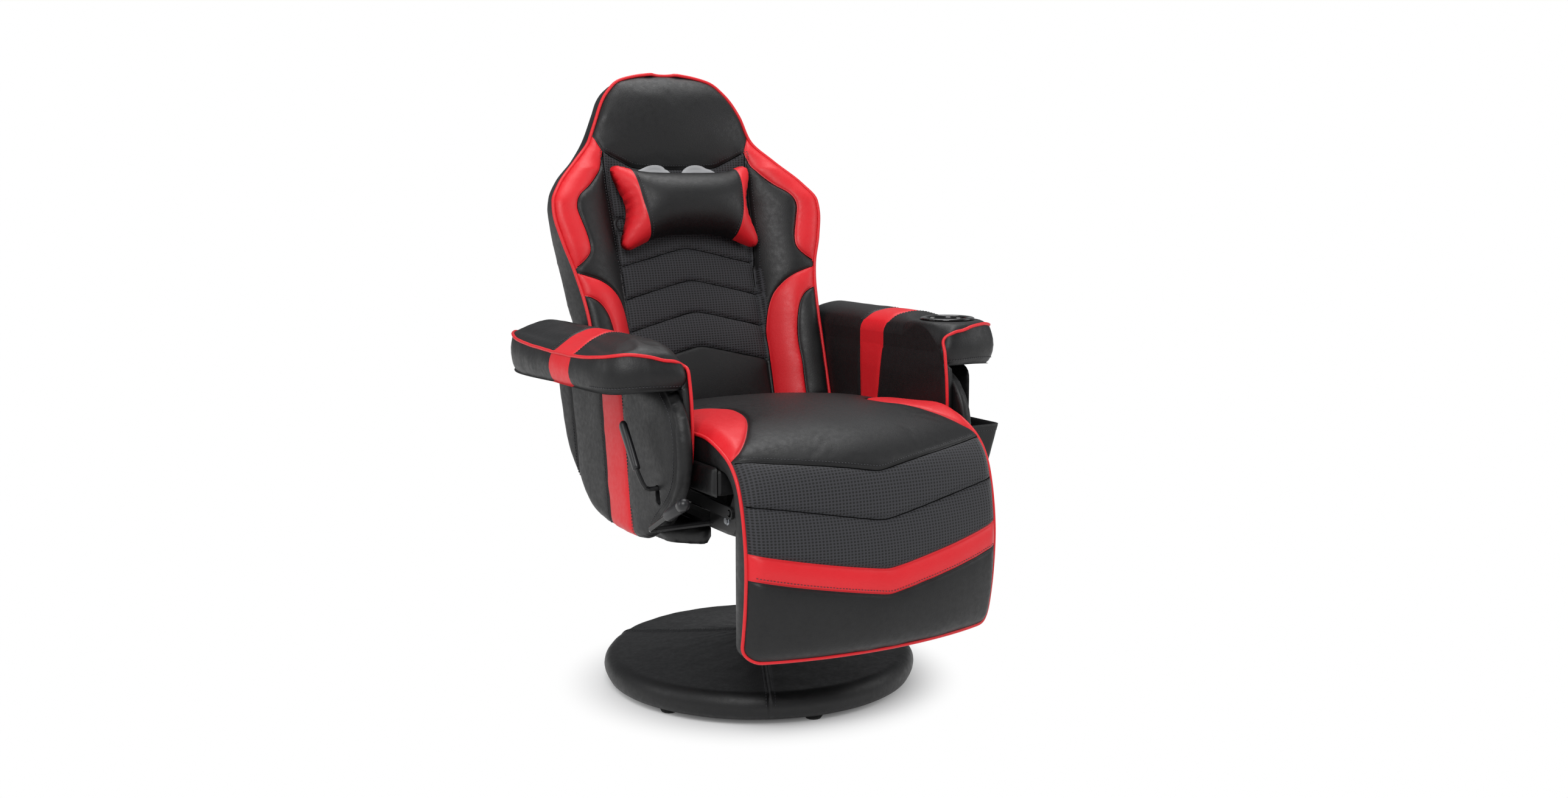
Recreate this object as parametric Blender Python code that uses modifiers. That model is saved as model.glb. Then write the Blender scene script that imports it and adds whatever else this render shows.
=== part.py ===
"""Gaming recliner: round swivel base, gas lift, reclining bucket back, linked footrest and massage handset.

Metres, +Z up. The chair faces -Y, left and right are the sitter's (left is +X), and the origin is on the
floor under the middle of the base.
"""

from math import atan2, cos, pi, radians, sin, sqrt

import bmesh
import bpy
from mathutils import Matrix, Vector

# Clearances
GAP = 0.0003             # between pieces that touch
RUNNING_GAP = 0.0005     # between plates that turn beside each other
PIN_PLAY = 0.0003        # between a pin and its bore, on the radius

# Half the seat's width, which the chassis, arms, back and footrest follow
SEAT_HALF_WIDTH = 0.236

# Round base and gas lift
BASE_RADIUS = 0.285
BASE_WAIST_Z = 0.031     # the widest ring of the cover
BASE_RIM_DROP = 0.026    # from the flat of the cover down to that ring
BASE_RIM_WIDTH = 0.023
BASE_CROWN = 0.027       # rise of the cover from its rim to the column
BASE_TUCK = 0.0075       # how far the cover draws in below its widest ring
COVER_WALL = 0.004
PLATE_THICKNESS = 0.006
FOOT_COUNT = 6
FOOT_HEIGHT = 0.012
FOOT_RADIUS = 0.016
FOOT_CIRCLE = BASE_RADIUS - 0.035
FOOT_START = radians(23)
HUB_WALL = 0.009
HUB_HEIGHT = 0.060
COLUMN_RADIUS = 0.025
COLUMN_TOP = 0.262
COLUMN_FLOOR = 0.028     # solid bottom of the lift's outer tube
PISTON_RADIUS = 0.014
PISTON_FOOT = 0.100      # height of the rod's lower end when the lift is down

# Chassis under the seat
RAIL_RADIUS = 0.0125
RAIL_X = SEAT_HALF_WIDTH - 0.051
RAIL_Z = 0.348
RAIL_FRONT = -0.290
RAIL_REAR = 0.105
RAIL_CORNER = 0.040
CROSS_Y = 0.085
POST_WIDTH = 0.024
POST_LENGTH = 0.060
POST_Y = (-0.225, 0.060)
EAR_THICKNESS = 0.008
EAR_OFFSET = 0.0135      # middle of an ear outboard of the rail's middle
PAN_HALF_X = 0.115
PAN_HALF_Y = 0.110
PAN_DEPTH = 0.034
PAN_WALL = 0.004
SOCKET_RADIUS = 0.030
SOCKET_DROP = 0.026      # below the pan

# Recline and footrest axes, both along X, and the drive links between them
RECLINE_Y = 0.150
RECLINE_Z = 0.455
BACK_TILT = radians(17.5)
KNEE_Y = -0.318
KNEE_Z = 0.420
CRANK_RADIUS = 0.0652
CRANK_ANGLE = radians(24.9)    # behind straight down, at rest
TOGGLE_RADIUS = 0.045
TOGGLE_ANGLE = radians(36.5)
LINK_PLATE = 0.004
LINK_HALF_WIDTH = 0.009
LINK_LIFT = 0.0009             # the free eye sits this far off the pin, so its play is shared
LINK_PLAY = 0.0025
BRACKET_PLATE = 0.0045
PIVOT_RADIUS = 0.006
STUB_RADIUS = 0.004
HINGE_ROD_RADIUS = 0.005
EYE_RADIUS = 0.018

# Seat
SEAT_REAR = 0.122
SEAT_BOX_FRONT = -0.300
SEAT_BOX_HEIGHT = 0.043
SEAT_EDGE_Z = 0.513
SEAT_CROWN = 0.013
SEAT_REAR_FALL = 0.026   # the top slopes down to the back
NOSE_EDGE = 0.062        # radius of the seat's nose about the knee, at the sides
NOSE_CROWN = 0.030       # and how much more at the middle
NOSE_INNER = 0.037
SEAM_DEPTH = 0.005
SEAT_SEAM_SIDE = radians(124)
SEAT_SEAM_MIDDLE = radians(158)

# Footrest
FOOTREST_HALF_WIDTH = SEAT_HALF_WIDTH + 0.002
FOOTREST_BOTTOM = 0.153
FOOTREST_BACK = -0.352
FOOTREST_LIP = 0.012     # thickness of the pad over the nose
FOOTREST_BELLY = 0.016   # extra swell at the middle of the pad
KNEE_GAP = 0.0015
BOARD_THICKNESS = 0.0115
BOARD_TOP = 0.324
BOARD_BOTTOM = 0.195
BOARD_HALF_WIDTH = FOOTREST_HALF_WIDTH - 0.028
FOOTREST_SEAM_ENDS = (0.405, 0.342, 0.301)
FOOTREST_SEAM_DROP = 0.041
FOOTREST_BACK_TUCK = 0.014

# Back, measured up the back from the recline axis, sideways, and forward of the tilted plane
BACK_BOTTOM = 0.045
BACK_TOP = 0.700
BACK_PANEL_HALF = 0.144
BACK_REAR = -0.062       # rear of the padding
BACK_PANEL_DEPTH = -0.036
CHEVRON_TOPS = (0.156, 0.2205, 0.287, 0.349)
CHEVRON_DROP = 0.037
CHEVRON_HALF = 0.012
REAR_COVER_DEPTH = 0.026
REAR_COVER_WALL = 0.003
FRAME_TUBE_RADIUS = 0.009
FRAME_HALF_WIDTH = RAIL_X + 0.0085
MOTOR_RADIUS = 0.034
MOTOR_THICKNESS = 0.0175
MOTOR_PLACES = (("upper", 0.335), ("lower", 0.150))
HARNESS_CENTRE = (0.063, 0.470)
HARNESS_LENGTH = 0.092
HARNESS_WIDTH = 0.052
HARNESS_SLANT = radians(-33)
HARNESS_WALL = 0.004
GROMMET_CENTRE = (0.128, 0.400)
GROMMET_FLANGE = 0.017
GROMMET_LIP = 0.003
GROMMET_SLEEVE = 0.010
GROMMET_BORE = 0.007

# Head pillow, on the same measures as the back
PILLOW_HALF_WIDTH = 0.147
PILLOW_CENTRE = 0.420
PILLOW_HALF_MIDDLE = 0.060
PILLOW_HALF_END = 0.082
PILLOW_THICKNESS = 0.088
STRAP_RADIUS = 0.003

# Arms
ARM_INNER = SEAT_HALF_WIDTH + 0.0135
ARM_WALL = 0.012
ARM_FRONT = -0.235
ARM_REAR = 0.280
ARM_WIDTH = 0.1425
ARM_OUTER = ARM_INNER + ARM_WIDTH
ARM_SLANT = 0.46         # the front of the pad runs back this much for each unit outwards
PAD_BOTTOM = 0.5793
PAD_EDGE_Z = 0.642
PAD_CROWN_Z = 0.668
PAD_DROOP = 0.020        # fall of the pad at its outer edge
PAD_REAR_FALL = 0.014    # and of its top towards the rear
SIDE_PAD = 0.028         # thickness of the padded outer side
ARM_FOOT_INNER = RAIL_X - 0.0125
ARM_FOOT_FRONT = -0.140
ARM_FOOT_REAR = 0.100
ARM_FOOT_DEPTH = 0.029
SIDE_OUTLINE = ((0.268, 0.579), (0.222, 0.436), (0.153, 0.362), (0.085, 0.319), (-0.028, 0.308),
                (-0.105, 0.310), (-0.185, 0.352), (-0.247, 0.405), (-0.270, 0.469), (-0.255, 0.533),
                (-0.200, 0.579))

# Cup holder, in the left arm
CUP_X = ARM_INNER + 0.0625
CUP_Y = -0.146
CUP_RADIUS = 0.0395
CUP_WALL = 0.002
CUP_RIM = 0.006
CUP_SEAT = 0.657         # height of the flat that the rim sits on
CUP_FLOOR = 0.592

# Side pouch, on the left arm
POUCH_BACK = ARM_INNER + 0.0685
POUCH_FRONT = -0.205
POUCH_REAR = 0.055
POUCH_BOTTOM = 0.345
POUCH_TOP = 0.468
POUCH_DEPTH_BOTTOM = 0.036
POUCH_DEPTH_TOP = 0.0735
POUCH_WALL = 0.003

# Recline lever, a bent rod through the right arm
LEVER_ROD_RADIUS = 0.004
RECLINE_LEVER_Y = -0.050
RECLINE_LEVER_Z = 0.414
RECLINE_LEVER_REACH = 0.140
LEVER_SLOT_DROP = 0.022
LEVER_SLOT_PLAY = 0.0015
LEVER_STANDOFF = 0.024   # outer part of the rod, out from the side pad
PADDLE_LENGTH = 0.092
PADDLE_WIDTH = 0.021
PADDLE_THICKNESS = 0.0125
PADDLE_GRIP = 0.024      # depth of the rod in the paddle
PADDLE_LEAN = radians(39)

# Height lever, a shaft across the chassis with an arm and a domed grip
HEIGHT_LEVER_Y = -0.190
HEIGHT_LEVER_Z = 0.346
HEIGHT_LEVER_INNER = 0.120
HEIGHT_LEVER_RADIUS = 0.005
HEIGHT_LEVER_LENGTH = 0.085
HEIGHT_LEVER_RISE = radians(27)
HEIGHT_GRIP_RADIUS = 0.0105
HEIGHT_GRIP_LENGTH = 0.072
HEIGHT_LEVER_STANDOFF = 0.016

# Massage control box and its cord
CONTROL_SIZE = (0.110, 0.080, 0.032)
CONTROL_X = -0.015
CONTROL_Y = -0.012
GLAND_RADIUS = 0.006
GLAND_LENGTH = 0.012
CORD_RADIUS = 0.0025
COIL_X = 0.098
COIL_Y = 0.014
COIL_OUTER = 0.036
COIL_PITCH = 0.0057
COIL_TURNS = 1.875       # in each of the two layers
COIL_STEPS = 24

# Handset
HANDSET_WIDTH = 0.052
HANDSET_HEIGHT = 0.150
HANDSET_Y = -0.040
HANDSET_BOTTOM = 0.400
HANDSET_BACK_DEPTH = 0.010
HANDSET_FRONT_DEPTH = 0.0105
HANDSET_CORNER = 0.007
PANEL_MARGIN = 0.004
PANEL_THICKNESS = 0.0010
BUTTON_PLAY = 0.0005
BUTTON_PROUD = 0.0014
BUTTON_FLOOR = 0.0015    # free travel behind a button
RELIEF_RADIUS = 0.0048
RELIEF_LENGTH = 0.021

# Heights and widths that follow from the sizes above
BASE_BOTTOM = FOOT_HEIGHT + GAP
RAIL_TOP = RAIL_Z + RAIL_RADIUS
RAIL_UNDER = RAIL_Z - RAIL_RADIUS
SEAT_PAD_BOTTOM = KNEE_Z + NOSE_INNER
SEAT_BOX_TOP = SEAT_PAD_BOTTOM - GAP
SEAT_BOX_BOTTOM = SEAT_BOX_TOP - SEAT_BOX_HEIGHT
EAR_INNER = RAIL_X + EAR_OFFSET - EAR_THICKNESS / 2
EAR_OUTER = RAIL_X + EAR_OFFSET + EAR_THICKNESS / 2
BRACKET_INNER = EAR_OUTER + GAP
BRACKET_OUTER = BRACKET_INNER + BRACKET_PLATE
LINK_INNER = BRACKET_OUTER + RUNNING_GAP
LINK_OUTER = LINK_INNER + LINK_PLATE
SIDE_INNER = ARM_INNER + ARM_WALL + GAP
SIDE_OUTER = SIDE_INNER + SIDE_PAD
POUCH_FLAP_TOP = PAD_BOTTOM - 2 * GAP
HANDSET_BACK_X = POUCH_BACK + POUCH_WALL + 0.0005 + GAP
HANDSET_SPLIT_X = HANDSET_BACK_X + HANDSET_BACK_DEPTH
HANDSET_FACE_X = HANDSET_SPLIT_X + GAP + HANDSET_FRONT_DEPTH
PANEL_FACE_X = HANDSET_FACE_X - PANEL_THICKNESS / 2
CRANK_PIN = (RECLINE_Y + CRANK_RADIUS * sin(CRANK_ANGLE), RECLINE_Z - CRANK_RADIUS * cos(CRANK_ANGLE))
TOGGLE_PIN = (KNEE_Y + TOGGLE_RADIUS * sin(TOGGLE_ANGLE), KNEE_Z - TOGGLE_RADIUS * cos(TOGGLE_ANGLE))


for old in list(bpy.data.objects):
    bpy.data.objects.remove(old, do_unlink=True)

parts = bpy.data.collections.new("gaming_recliner")
cutters = bpy.data.collections.new("cutters")
bpy.context.scene.collection.children.link(parts)
bpy.context.scene.collection.children.link(cutters)


def finish(name, hex_colour, roughness, metallic=0.0):
    """Principled material from an sRGB hex colour."""
    channels = [int(hex_colour[i:i + 2], 16) / 255 for i in (1, 3, 5)]
    linear = [c / 12.92 if c <= 0.04045 else ((c + 0.055) / 1.055) ** 2.4 for c in channels]
    made = bpy.data.materials.new(name)
    made.use_nodes = True
    shader = made.node_tree.nodes["Principled BSDF"]
    shader.inputs["Base Color"].default_value = (*linear, 1)
    shader.inputs["Roughness"].default_value = roughness
    shader.inputs["Metallic"].default_value = metallic
    return made


black_leather = finish("black_leather", "#242426", 0.5)
red_leather = finish("red_leather", "#d3202b", 0.45)
black_steel = finish("black_steel", "#1a1a1b", 0.4, 0.8)
chrome = finish("chrome", "#c8c8ca", 0.15, 1.0)
black_plastic = finish("black_plastic", "#161617", 0.35)
grey_plastic = finish("grey_plastic", "#b2b2b4", 0.4)
plywood = finish("plywood", "#a98a62", 0.7)
rubber = finish("rubber", "#18181a", 0.8)


def axis_empty(name, place, tilt=0.0, carrier=None):
    """An empty on a joint's axis, which carries the pieces that move about it."""
    empty = bpy.data.objects.new(name, None)
    parts.objects.link(empty)
    world = Matrix.Translation(place) @ Matrix.Rotation(tilt, 4, "X")
    if carrier:
        empty.parent = carrier
        empty.matrix_parent_inverse = Matrix(carrier["world"]).inverted()
    empty.matrix_basis = world
    empty["world"] = [list(row) for row in world]
    return empty


def place(piece, material, carrier=None, local=False):
    """Put a piece in the chair; its shape is in world places, or in its carrier's own where local."""
    parts.objects.link(piece)
    piece.data.materials.clear()
    piece.data.materials.append(material)
    if carrier:
        piece.parent = carrier
        if not local:
            piece.matrix_parent_inverse = Matrix(carrier["world"]).inverted()
    return piece


def mesh_piece(name, shape, smooth=35):
    """Object from a bmesh, with its faces turned outwards."""
    shape.normal_update()
    bmesh.ops.recalc_face_normals(shape, faces=shape.faces)
    mesh = bpy.data.meshes.new(name)
    shape.to_mesh(mesh)
    shape.free()
    mesh.shade_smooth()
    mesh.set_sharp_from_angle(angle=radians(smooth))
    return bpy.data.objects.new(name, mesh)


def box(name, low, high, bevel=0.0, segments=2):
    """Box between two corners, with rounded edges where asked."""
    shape = bmesh.new()
    bmesh.ops.create_cube(shape, size=1)
    low = Vector(low)
    size = Vector(high) - low
    for vert in shape.verts:
        vert.co = [low[i] + (vert.co[i] + 0.5) * size[i] for i in range(3)]
    piece = mesh_piece(name, shape)
    if bevel:
        round_edges(piece, bevel, segments)
    return piece


def round_edges(piece, width, segments=2):
    bevel = piece.modifiers.new("rounded", "BEVEL")
    bevel.width = width
    bevel.segments = segments
    bevel.limit_method = "ANGLE"
    bevel.angle_limit = radians(40)


def rod(name, start, end, radius, sides=16):
    """Round bar between two points."""
    start = Vector(start)
    along = Vector(end) - start
    shape = bmesh.new()
    bmesh.ops.create_cone(shape, cap_ends=True, segments=sides, radius1=radius, radius2=radius,
                          depth=along.length)
    turn = along.to_track_quat("Z", "Y").to_matrix().to_4x4()
    shape.transform(Matrix.Translation(start + along / 2) @ turn)
    return mesh_piece(name, shape)


def turned(name, profile, steps=32, closed=False, turn=None):
    """Turned piece from (radius, height) points that run down its outer side."""
    mesh = bpy.data.meshes.new(name)
    edges = [(i, i + 1) for i in range(len(profile) - 1)]
    if closed:
        edges.append((len(profile) - 1, 0))
    mesh.from_pydata([(radius, 0, height) for radius, height in profile], edges, [])
    piece = bpy.data.objects.new(name, mesh)
    screw = piece.modifiers.new("turn", "SCREW")
    screw.steps = steps
    screw.render_steps = steps
    screw.use_merge_vertices = True
    screw.merge_threshold = 0.00001
    if turn:
        piece.matrix_basis = turn
    return piece


def tube(name, points, radius, resolution=2, cyclic=False):
    """Tube along points."""
    curve = bpy.data.curves.new(name, "CURVE")
    curve.dimensions = "3D"
    curve.bevel_depth = radius
    curve.bevel_resolution = resolution
    curve.use_fill_caps = not cyclic
    spline = curve.splines.new("POLY")
    spline.points.add(len(points) - 1)
    for knot, point in zip(spline.points, points):
        knot.co = (*point, 1)
    spline.use_cyclic_u = cyclic
    return bpy.data.objects.new(name, curve)


def to_mesh(curve_piece):
    """Mesh copy of a curve piece, with its caps welded."""
    scene_objects = bpy.context.scene.collection.objects
    scene_objects.link(curve_piece)
    solid = curve_piece.evaluated_get(bpy.context.evaluated_depsgraph_get())
    mesh = bpy.data.meshes.new_from_object(solid)
    name = curve_piece.name
    bpy.data.objects.remove(curve_piece)
    shape = bmesh.new()
    shape.from_mesh(mesh)
    bpy.data.meshes.remove(mesh)
    bmesh.ops.remove_doubles(shape, verts=shape.verts, dist=0.000001)
    return mesh_piece(name, shape)


YZ_PLANE = Matrix(((0, 0, 1, 0), (1, 0, 0, 0), (0, 1, 0, 0), (0, 0, 0, 1)))
XZ_PLANE = Matrix(((1, 0, 0, 0), (0, 0, -1, 0), (0, 1, 0, 0), (0, 0, 0, 1)))


def plate(name, outlines, low, high, plane=YZ_PLANE):
    """Flat piece from its outline and any holes, between two distances along the plane's normal."""
    curve = bpy.data.curves.new(name, "CURVE")
    curve.dimensions = "2D"
    curve.fill_mode = "BOTH"
    curve.extrude = (high - low) / 2
    for outline in outlines:
        spline = curve.splines.new("POLY")
        spline.points.add(len(outline) - 1)
        for knot, point in zip(spline.points, outline):
            knot.co = (*point, 0, 1)
        spline.use_cyclic_u = True
    piece = to_mesh(bpy.data.objects.new(name, curve))
    piece.data.transform(plane @ Matrix.Translation((0, 0, (low + high) / 2)))
    return piece


def loft(name, rings, smooth=50):
    """Skin through rings of points, closed by a flat face at each end."""
    shape = bmesh.new()
    rows = [[shape.verts.new(point) for point in ring] for ring in rings]
    count = len(rows[0])
    for row, following in zip(rows, rows[1:]):
        for i in range(count):
            j = (i + 1) % count
            shape.faces.new((row[i], row[j], following[j], following[i]))
    shape.faces.new(rows[0])
    shape.faces.new(rows[-1])
    return mesh_piece(name, shape, smooth)


def boolean(piece, tool, operation, carrier=None, local=False):
    """Cut a piece by a tool, or join the tool to it."""
    cutters.objects.link(tool)
    tool.hide_render = True
    tool.display_type = "WIRE"
    if carrier:
        tool.parent = carrier
        if not local:
            tool.matrix_parent_inverse = Matrix(carrier["world"]).inverted()
    step = piece.modifiers.new(tool.name, "BOOLEAN")
    step.operation = operation
    step.object = tool


def arc(centre, radius, start, end, steps):
    """Points on an arc, angles in radians."""
    angles = [start + (end - start) * i / steps for i in range(steps + 1)]
    return [(centre[0] + radius * cos(a), centre[1] + radius * sin(a)) for a in angles]


def circle(centre, radius, steps=16):
    return arc(centre, radius, 0, 2 * pi * (steps - 1) / steps, steps - 1)


def rounded_rectangle(width, height, corner, centre=(0, 0), turn=0.0, steps=3):
    """Rectangle with round corners, turned about its middle."""
    points = []
    for quarter, (side, level) in enumerate(((1, 1), (-1, 1), (-1, -1), (1, -1))):
        middle = (side * (width / 2 - corner), level * (height / 2 - corner))
        points += arc(middle, corner, quarter * pi / 2, (quarter + 1) * pi / 2, steps)
    return [(centre[0] + x * cos(turn) - y * sin(turn), centre[1] + x * sin(turn) + y * cos(turn))
            for x, y in points]


def ellipse(length, width, slant, centre, steps=16):
    """Slanted oval."""
    points = []
    for i in range(steps):
        a = 2 * pi * i / steps
        x = length / 2 * cos(a)
        y = width / 2 * sin(a)
        points.append((centre[0] + x * cos(slant) - y * sin(slant),
                       centre[1] + x * sin(slant) + y * cos(slant)))
    return points


def smooth_route(knots, per_span):
    """Points on a smooth curve through knots."""
    knots = [Vector(k) for k in knots]
    ends = [knots[0] * 2 - knots[1]] + knots + [knots[-1] * 2 - knots[-2]]
    points = []
    for before, start, end, after in zip(ends, ends[1:], ends[2:], ends[3:]):
        for i in range(per_span):
            t = i / per_span
            points.append(0.5 * (2 * start + (end - before) * t
                                 + (2 * before - 5 * start + 4 * end - after) * t * t
                                 + (3 * start - before - 3 * end + after) * t ** 3))
    return points + [knots[-1]]


def along(pairs, value):
    """Value on a line through (place, value) pairs, eased between them."""
    for (low, at_low), (high, at_high) in zip(pairs, pairs[1:]):
        if value <= high:
            t = max(0.0, (value - low) / (high - low))
            return at_low + (at_high - at_low) * t * t * (3 - 2 * t)
    return pairs[-1][1]


def mirrored(points):
    return [(-x, y) for x, y in points]


swivel_axis = axis_empty("swivel_axis", (0, 0, COLUMN_TOP))
back_axis = axis_empty("back_axis", (0, RECLINE_Y, RECLINE_Z), -BACK_TILT, swivel_axis)
knee_axis = axis_empty("knee_axis", (0, KNEE_Y, KNEE_Z), 0.0, swivel_axis)
lever_place = (0, RECLINE_LEVER_Y, RECLINE_LEVER_Z)
recline_lever_axis = axis_empty("recline_lever_axis", lever_place, 0.0, swivel_axis)
height_lever_axis = axis_empty("height_lever_axis", (0, HEIGHT_LEVER_Y, HEIGHT_LEVER_Z), 0.0, swivel_axis)
crank_axis = axis_empty("crank_axis", (0, *CRANK_PIN), 0.0, back_axis)


def make_base():
    """Round weighted base: feet, steel plate with the column's hub, and the upholstered cover."""
    column_bore = COLUMN_RADIUS + PIN_PLAY
    hub_radius = COLUMN_RADIUS + HUB_WALL
    cover_foot = BASE_RADIUS - BASE_TUCK
    plate_radius = cover_foot - COVER_WALL - GAP
    plate_top = BASE_BOTTOM + PLATE_THICKNESS
    hub_top = BASE_BOTTOM + HUB_HEIGHT
    plate_profile = [(column_bore, hub_top), (hub_radius, hub_top), (hub_radius, plate_top),
                     (plate_radius, plate_top), (plate_radius, BASE_BOTTOM), (column_bore, BASE_BOTTOM)]
    place(turned("base_plate", plate_profile, 36, closed=True), black_steel)

    def cover_side(inset):
        wide = BASE_RIM_WIDTH - inset
        deep = BASE_RIM_DROP - inset
        rim = [(BASE_RADIUS - BASE_RIM_WIDTH + wide * cos(a), BASE_WAIST_Z + deep * sin(a))
               for a in (pi / 2, pi / 3, pi / 6, 0)]
        crown = BASE_WAIST_Z + BASE_RIM_DROP + BASE_CROWN - inset
        return [(hub_radius + GAP, crown), (0.45 * BASE_RADIUS, crown - 0.36 * BASE_CROWN)] + rim + [
            (cover_foot - inset, BASE_BOTTOM)]

    cover = cover_side(0) + cover_side(COVER_WALL)[::-1]
    place(turned("base_cover", cover, 36, closed=True), black_leather)
    for i in range(FOOT_COUNT):
        turn = FOOT_START + 2 * pi * i / FOOT_COUNT
        spot = Matrix.Translation((FOOT_CIRCLE * cos(turn), FOOT_CIRCLE * sin(turn), 0))
        foot = [(0, FOOT_HEIGHT), (0.8 * FOOT_RADIUS, FOOT_HEIGHT), (FOOT_RADIUS, 0.3 * FOOT_HEIGHT),
                (0.85 * FOOT_RADIUS, 0), (0, 0)]
        place(turned("base_foot_%d" % (i + 1), foot, 12, turn=spot), rubber)
    bore = PISTON_RADIUS + PIN_PLAY
    column = [(0, COLUMN_FLOOR + BASE_BOTTOM), (bore, COLUMN_FLOOR + BASE_BOTTOM), (bore, COLUMN_TOP),
              (COLUMN_RADIUS - 0.002, COLUMN_TOP), (COLUMN_RADIUS, COLUMN_TOP - 0.002),
              (COLUMN_RADIUS, BASE_BOTTOM), (0, BASE_BOTTOM)]
    place(turned("column_tube", column, 24), black_steel)


def make_lift():
    """Chromed rod of the gas lift, whose top sits in the socket of the seat plate."""
    top = RAIL_UNDER - GAP - PAN_WALL - GAP
    rod_profile = [(0, top), (PISTON_RADIUS - 0.002, top), (PISTON_RADIUS, top - 0.004),
                   (PISTON_RADIUS, PISTON_FOOT), (0, PISTON_FOOT)]
    place(turned("lift_piston", rod_profile, 24), chrome)


def make_seat_plate():
    """Pressed pan under the chassis, with the socket that takes the lift's rod."""
    top = RAIL_UNDER - GAP
    pan = box("seat_plate", (-PAN_HALF_X, -PAN_HALF_Y, top - PAN_DEPTH), (PAN_HALF_X, PAN_HALF_Y, top),
              0.006)
    hollow = box("pan_hollow", (PAN_WALL - PAN_HALF_X, PAN_WALL - PAN_HALF_Y, top - 2 * PAN_DEPTH),
                 (PAN_HALF_X - PAN_WALL, PAN_HALF_Y - PAN_WALL, top - PAN_WALL))
    boolean(pan, hollow, "DIFFERENCE", swivel_axis)
    socket_bottom = top - PAN_DEPTH - SOCKET_DROP
    socket = rod("pan_socket", (0, 0, socket_bottom), (0, 0, top - PAN_WALL / 2), SOCKET_RADIUS, 24)
    boolean(pan, socket, "UNION", swivel_axis)
    bore = rod("pan_bore", (0, 0, socket_bottom - 0.01), (0, 0, top - PAN_WALL),
               PISTON_RADIUS + PIN_PLAY, 24)
    boolean(pan, bore, "DIFFERENCE", swivel_axis)
    place(pan, black_steel, swivel_axis)


def ear_outline(pivot, foot_front, foot_rear, radius):
    """Hinge cheek: a foot on the rail and a round head about the pivot."""
    head = arc(pivot, radius, -0.15 * pi, 1.15 * pi, 7)
    return [(foot_front, RAIL_Z), (foot_rear, RAIL_Z)] + head


def make_chassis():
    """Welded tube frame: a ring of rail, two cross tubes, four seat posts and the cheeks of both hinges."""
    corner_turns = ((RAIL_X, RAIL_REAR, 0), (-RAIL_X, RAIL_REAR, 1), (-RAIL_X, RAIL_FRONT, 2),
                    (RAIL_X, RAIL_FRONT, 3))
    ring = []
    for x, y, quarter in corner_turns:
        inward = (x - RAIL_CORNER if x > 0 else x + RAIL_CORNER,
                  y - RAIL_CORNER if y > 0 else y + RAIL_CORNER)
        bend = arc(inward, RAIL_CORNER, quarter * pi / 2, (quarter + 1) * pi / 2, 5)
        ring += [(px, py, RAIL_Z) for px, py in bend]
    frame = to_mesh(tube("chassis_frame", ring, RAIL_RADIUS, 2, cyclic=True))
    for side in (-1, 1):
        cross = rod("cross_tube", (-RAIL_X, side * CROSS_Y, RAIL_Z), (RAIL_X, side * CROSS_Y, RAIL_Z),
                    RAIL_RADIUS * 0.92, 8)
        boolean(frame, cross, "UNION", swivel_axis)
        for y in POST_Y:
            post = box("seat_post", (side * RAIL_X - POST_WIDTH / 2, y - POST_LENGTH / 2, RAIL_Z),
                       (side * RAIL_X + POST_WIDTH / 2, y + POST_LENGTH / 2, SEAT_BOX_BOTTOM - GAP))
            boolean(frame, post, "UNION", swivel_axis)
        low, high = sorted((side * EAR_INNER, side * EAR_OUTER))
        rear = ear_outline((RECLINE_Y, RECLINE_Z), RAIL_REAR - 2 * RAIL_CORNER, RECLINE_Y, EYE_RADIUS)
        rear.insert(2, (RECLINE_Y + 0.7 * EYE_RADIUS, RAIL_Z + 0.02))
        rear += [(SEAT_REAR + 0.008, SEAT_BOX_BOTTOM), (SEAT_REAR - 0.02, SEAT_BOX_BOTTOM - 0.015)]
        boolean(frame, plate("rear_cheek", [rear], low, high), "UNION", swivel_axis)
        front = [(RAIL_FRONT, RAIL_Z), (RAIL_FRONT + 2 * RAIL_CORNER, RAIL_Z),
                 (SEAT_BOX_FRONT - 0.004, SEAT_BOX_BOTTOM - 0.012)]
        front += arc((KNEE_Y, KNEE_Z), 0.75 * EYE_RADIUS, -0.1 * pi, 1.1 * pi, 6)
        boolean(frame, plate("front_cheek", [front], low, high), "UNION", swivel_axis)
        for pivot, radius in (((RECLINE_Y, RECLINE_Z), PIVOT_RADIUS), ((KNEE_Y, KNEE_Z), HINGE_ROD_RADIUS)):
            bore = rod("cheek_bore",
                       (side * (EAR_INNER - 0.01), *pivot), (side * (EAR_OUTER + 0.01), *pivot),
                       radius + 2 * PIN_PLAY, 12)
            boolean(frame, bore, "DIFFERENCE", swivel_axis)
    lever_bore = rod("lever_bore", (-RAIL_X - 0.03, HEIGHT_LEVER_Y, HEIGHT_LEVER_Z),
                     (-RAIL_X + 0.03, HEIGHT_LEVER_Y, HEIGHT_LEVER_Z), HEIGHT_LEVER_RADIUS + PIN_PLAY, 12)
    boolean(frame, lever_bore, "DIFFERENCE", swivel_axis)
    place(frame, black_steel, swivel_axis)


def nose_radius(u):
    """Radius of the seat's nose about the knee, fuller towards the middle of the seat."""
    return NOSE_EDGE + NOSE_CROWN * max(0.0, 1 - u * u) ** 0.8


SEAT_STATIONS = (-1, -0.985, -0.94, -0.82, -0.6, -0.3, 0, 0.3, 0.6, 0.82, 0.94, 0.985, 1)


def side_tuck(u, depth):
    """How far a pad's outline draws in at its sides."""
    return depth * max(0.0, (abs(u) - 0.9) / 0.1) ** 2


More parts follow.
